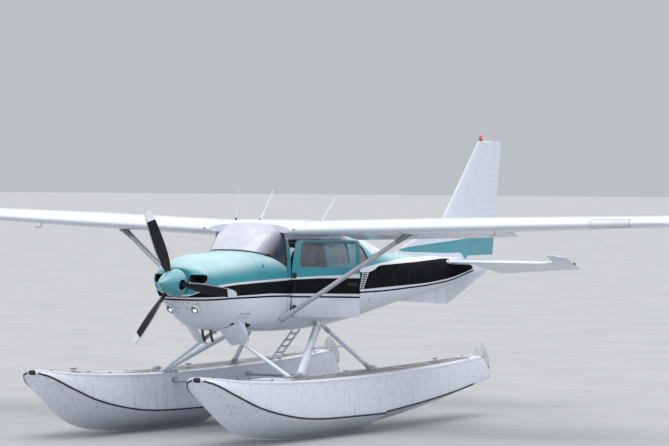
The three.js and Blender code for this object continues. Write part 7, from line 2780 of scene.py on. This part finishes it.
@dataclass
class Cabin:
    """Seats, instrument panel, control wheels and trim."""

    floor: float = -0.524
    voxel: float = 0.010
    swell: float = 0.016
    wheel_x: tuple = (-0.27, 0.27)

    def cushion(self, name: str, patch: Patch, face: int, node: str | None, channels: float) -> None:
        """A stuffed pad: its block is remeshed, blown up as cloth, capped, and grooved by sewn
        channels of depth 4 mm * exp(-(distance / 7 mm)^2).

        Args:
            name: the piece's name.
            patch: the starting block.
            face: axis that the sewn face looks along.
            node: frame node that the pad stands for.
            channels: spacing of the channels across the seat.
        """
        obj = piece(name, patch, "cloth", node, sharp=80)
        self.inflate(obj)
        co, normal = self.points(obj), self.points(obj, "normal")
        x = co[:, 0]
        low, high = x.min(), x.max()
        off = np.abs(np.mod(x - (high + low) / 2 + channels / 2, channels) - channels / 2)
        facing = np.clip(np.abs(normal[:, face]), 0, 1)**2
        rim = np.clip((x - low - 0.04) / 0.02, 0, 1) * np.clip((high - x - 0.04) / 0.02, 0, 1)
        co -= normal * (0.004 * np.exp(-(off / 0.007)**2) * facing * rim)[:, None]
        obj.data.vertices.foreach_set("co", co.astype(np.float32).ravel())
        obj.data.update()

    def inflate(self, obj: bpy.types.Object) -> None:
        """Remeshes a pad, lets pressure swell it as cloth for 20 steps, caps how far each point
        may go, and smooths it once.

        Args:
            obj: the pad.
        """
        remesh = obj.modifiers.new("remesh", "REMESH")
        remesh.mode, remesh.voxel_size = "VOXEL", self.voxel
        self.bake(obj)
        start = self.points(obj)
        cloth = obj.modifiers.new("swell", "CLOTH")
        cloth.settings.quality = 4
        cloth.settings.use_pressure = True
        cloth.settings.uniform_pressure_force = 4.0
        cloth.settings.effector_weights.gravity = 0.0
        cloth.point_cache.frame_start, cloth.point_cache.frame_end = 1, 20
        for step in range(1, 21):
            bpy.context.scene.frame_set(step)
        graph = bpy.context.evaluated_depsgraph_get()
        end = self.points(obj.evaluated_get(graph))
        obj.modifiers.remove(cloth)
        bpy.context.scene.frame_set(1)
        move = end - start
        length = np.linalg.norm(move, axis=1, keepdims=True)
        move *= np.minimum(1, self.swell / np.maximum(length, 1e-9))
        obj.data.vertices.foreach_set("co", (start + move).astype(np.float32).ravel())
        fine = obj.modifiers.new("smooth", "SUBSURF")
        fine.levels = fine.render_levels = 1
        self.bake(obj)
        obj.data.shade_smooth()

    @staticmethod
    def points(obj: bpy.types.Object, key: str = "co") -> Array:
        """The points of an object's mesh, or its normals there."""
        numbers = np.zeros(len(obj.data.vertices) * 3, np.float32)
        obj.data.vertices.foreach_get(key, numbers)
        return numbers.reshape(-1, 3).astype(float)

    @staticmethod
    def bake(obj: bpy.types.Object) -> None:
        """Replaces an object's mesh by what its modifiers make of it.

        Args:
            obj: the object, which keeps no modifiers.
        """
        graph = bpy.context.evaluated_depsgraph_get()
        made = bpy.data.meshes.new_from_object(obj.evaluated_get(graph))
        old = obj.data
        obj.modifiers.clear()
        obj.data = made
        made.name = obj.name
        bpy.data.meshes.remove(old)

    def seat(self, name: str, x0: float, x1: float, front: float, top: float,
             runners: Sequence[float], length: float) -> None:
        """A seat: cushion, back, and a tube frame on runners.

        Args:
            name: its frame node.
            x0: right edge.
            x1: left edge.
            front: station of its front edge.
            top: height of its back.
            runners: x of the runners.
            length: length of the runners.
        """
        middle, width = (x0 + x1) / 2, x1 - x0
        pad = block((middle, front + 0.232, -0.232), (width - 0.035, 0.430, 0.100), 6, steps=12)
        self.cushion(name + "_cushion", pad, 2, name, 0.105)
        height = top + 0.150
        rest = block((middle, 0, 0), (width - 0.050, 0.085, height - 0.03), 6, steps=12)
        lean = -math.degrees(math.atan2(0.150, height))
        place = np.array([0, front + 0.505, (top - 0.170) / 2])
        back = rest.mapped(lambda p: turned(p, (1, 0, 0), lean, (0, 0, 0)) + place)
        self.cushion(name + "_back", back, 1, None, 0.105)
        parts = []
        for x in runners:
            parts.append(rod([(x, front + 0.05, self.floor + 0.012), (x, front + 0.05 + length / 2,
                self.floor + 0.012), (x, front + 0.05 + length, self.floor + 0.012)], 0.011))
            for y in (front + 0.09, front + 0.05 + length * 0.8):
                parts.append(rod([(x, y, self.floor + 0.012), (x, y + 0.01, -0.40), (x, y, -0.292)],
                    0.012))
        parts.append(block((middle, front + 0.235, -0.296), (width - 0.06, 0.42, 0.018), 8, 1))
        piece(name + "_frame", parts, "grey dark")

    def panel(self) -> None:
        """The instrument panel with its dials, radio stack, knobs and two control wheels."""
        cowl = Skin(COWL_ROWS)
        g = np.linspace(0, 1, 161)[:-1]
        ring = cowl.point(np.full(160, 0.450), g)[:, [0, 2]]
        middle = np.array([0, 0.05])
        ring = middle + (ring - middle) * 0.958
        ring[:, 1] = np.clip(ring[:, 1], -0.140, 0.300)
        parts = [slab(ring, 1, 0.430, 0.470, 0.006)]
        dials = [(x, z) for x in (0.40, 0.30, 0.20) for z in (0.225, 0.125)]
        dials += [(x, 0.225) for x in (-0.24, -0.34, -0.44)] + [(-0.34, 0.125)]
        for x, z in dials:
            parts.append(lathe([(0.0, 0.0), (0.044, 0.0), (0.045, 0.004), (0.041, 0.006),
                (0.039, 0.002), (0.0, 0.002)], (x, 0.469, z), (0, 1, 0), 32, 1))
            needle = block((x, 0.4725, z + 0.012), (0.004, 0.002, 0.034), 4, 2, 6)
            hub = (x, 0.47, z)
            parts.append(needle.mapped(lambda p, a=hub: turned(p, (0, 1, 0), 1200 * a[2], a)))
        for k in range(5):
            z = 0.255 - 0.052 * k
            parts.append(block((0.0, 0.474, z), (0.165, 0.012, 0.044), 9, 3))
            for x in (-0.066, 0.066):
                parts.append(lathe([(0, 0), (0.010, 0), (0.009, 0.014), (0, 0.015)], (x, 0.479, z),
                    (0, 1, 0), 16, 2))
        for x in np.arange(-0.09, 0.10, 0.045):
            parts.append(rod([(x, 0.47, -0.02), (x, 0.50, -0.02), (x, 0.525, -0.02)], 0.004, finish=2))
            parts.append(lathe([(0, 0), (0.013, 0.001), (0.014, 0.010), (0, 0.014)],
                (x, 0.522, -0.02), (0, 1, 0), 18, 3))
        for x in self.wheel_x:
            parts.append(rod([(x, 0.465, 0.06), (x, 0.56, 0.06), (x, 0.655, 0.06)], 0.013, finish=2))
            path = np.array([(-.118, .656, .150), (-.124, .658, .110), (-.130, .660, .075),
                (-.105, .660, .052), (-.05, .660, .056), (0, .660, .060)])
            path = np.vstack([path, path[-2::-1] * [-1, 1, 1]])
            rows = np.c_[np.arange(len(path)), path]
            fine = smooth_rows(rows, np.linspace(0, len(path) - 1, 50))[:, 1:]
            parts.append(rod(fine + [x, 0, 0], 0.0125, 14, (0, 1, 0), 3))
            parts.append(block((x, 0.662, 0.060), (0.075, 0.030, 0.055), 3.5, 3))
        piece("panel_and_wheels", parts, "dark dial steel rubber", "instrument_panel")
        hood = block((0, 0.385, 0.318), (0.90, 0.20, 0.040), 5, 0)
        piece("glare_shield", hood, "dark")

    def build(self) -> None:
        """Makes the cabin's pieces."""
        seats = [("front_seat_left", 0.05, 0.45, 0.930, 0.400, (0.10, 0.38), 0.39),
                 ("front_seat_right", -0.45, -0.05, 0.930, 0.400, (-0.38, -0.10), 0.39),
                 ("middle_bench", -0.40, 0.40, 1.700, 0.340, (-0.33, 0.33), 0.39),
                 ("rear_bench", -0.32, 0.32, 2.290, 0.200, (-0.18, 0.18), 0.155)]
        for seat in seats:
            self.seat(*seat)
        self.panel()


@dataclass
class Studio:
    """Floor, sky, lights and the camera that matches the photograph."""

    azimuth: float = 0.538523992
    elevation: float = 0.0158241122
    roll: float = 0.00770426625
    focal: float = 3228.08549
    image_width: int = 669
    sensor: float = 36.0
    place: tuple = (21.5624034, -35.8819, 3.2301)
    floor_radius: float = 420.0
    skyline: tuple = (0.50, 0.53, 0.56, 1)
    overhead: tuple = (1.02, 1.04, 1.08, 1)

    def camera(self) -> None:
        """Places the camera: forward from its azimuth and elevation, then the roll."""
        a, e, r = self.azimuth, self.elevation, self.roll
        forward = np.array([-math.sin(a) * math.cos(e), math.cos(a) * math.cos(e), -math.sin(e)])
        right = unit(np.cross(forward, [0, 0, 1]))
        up = np.cross(right, forward)
        right, up = (math.cos(r) * right + math.sin(r) * up, -math.sin(r) * right + math.cos(r) * up)
        data = bpy.data.cameras.new("camera")
        data.sensor_width, data.sensor_fit = self.sensor, "HORIZONTAL"
        data.lens = self.focal * self.sensor / self.image_width
        data.clip_start, data.clip_end = 0.5, 2000
        camera = bpy.data.objects.new("camera", data)
        bpy.context.scene.collection.objects.link(camera)
        camera.matrix_world = Matrix(np.vstack([np.column_stack([right, up, -forward, self.place]),
                                                [0, 0, 0, 1]]).tolist())
        bpy.context.scene.camera = camera

    def sky(self) -> None:
        """An even sky: pale grey at the skyline, much brighter overhead."""
        world = bpy.data.worlds.new("studio sky")
        world.use_nodes = True
        g = Graph(world.node_tree)
        z = g.axes(g.node("TexCoord").outputs["Generated"])[2]
        colour = g.mix(g.ramp(z, 0.06, 0.42), self.skyline, self.overhead)
        g.fed(world.node_tree.nodes["Background"], {0: colour})
        bpy.context.scene.world = world
        bpy.context.scene.view_settings.view_transform = "Standard"

    def lamp(self, name: str, aim: Sequence[float], spread: float, power: float,
             colour: tuple) -> None:
        """A distant soft light.

        Args:
            name: its name.
            aim: the direction that it shines in.
            spread: how wide it is, in degrees.
            power: its strength.
            colour: its colour.
        """
        data = bpy.data.lights.new(name, "SUN")
        data.angle, data.energy, data.color = math.radians(spread), power, colour
        lamp = bpy.data.objects.new(name, data)
        bpy.context.scene.collection.objects.link(lamp)
        lamp.rotation_mode = "QUATERNION"
        lamp.rotation_quaternion = Vector(aim).to_track_quat("-Z", "Y")

    def build(self) -> None:
        """Makes the floor, sky, lights and camera."""
        self.camera()
        self.sky()
        a = np.linspace(0, 2 * math.pi, 97)[:-1]
        radii = np.r_[0.001, 4, 12, 40, 120, self.floor_radius]
        ring = np.stack([np.cos(a), np.sin(a), np.zeros_like(a)], -1)
        patch = loft(radii[:, None, None] * ring[None] - TO_ROW * [0, 1, 1])
        faces = flipped(patch.faces[patch.faces[:, 3] >= 0])
        mesh = bpy.data.meshes.new("floor")
        mesh.from_pydata((patch.points + TO_ROW).tolist(), [], faces.tolist())
        floor = bpy.data.objects.new("floor", mesh)
        bpy.context.scene.collection.objects.link(floor)
        mesh.materials.append(material("ground"))
        self.lamp("overhead", (-0.25, 0.30, -1.0), 50, 1.3, (1.0, 0.99, 0.97))


def dress_frame() -> None:
    """Gives the frame's own pieces that stay in view their finishes."""
    for name, key in (("firewall", "steel"), ("cabin_floor", "floor"), ("rear_bulkhead", "trim")):
        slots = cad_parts[name].data.materials
        slots.clear()
        slots.append(material(key))
        LOG.info("%s: dressed in %s", name, key)


def main() -> None:
    """Builds the studio and every sub-assembly in order."""
    logging.basicConfig(level=logging.INFO, format="%(name)s %(message)s")
    Shared.build()
    Studio().build()
    dress_frame()
    for assembly in (Fuselage, PowerPlant, Wing, Tail, Floats, Cabin):
        assembly().build()
    LOG.info("built")


if __name__ == "__main__":
    main()
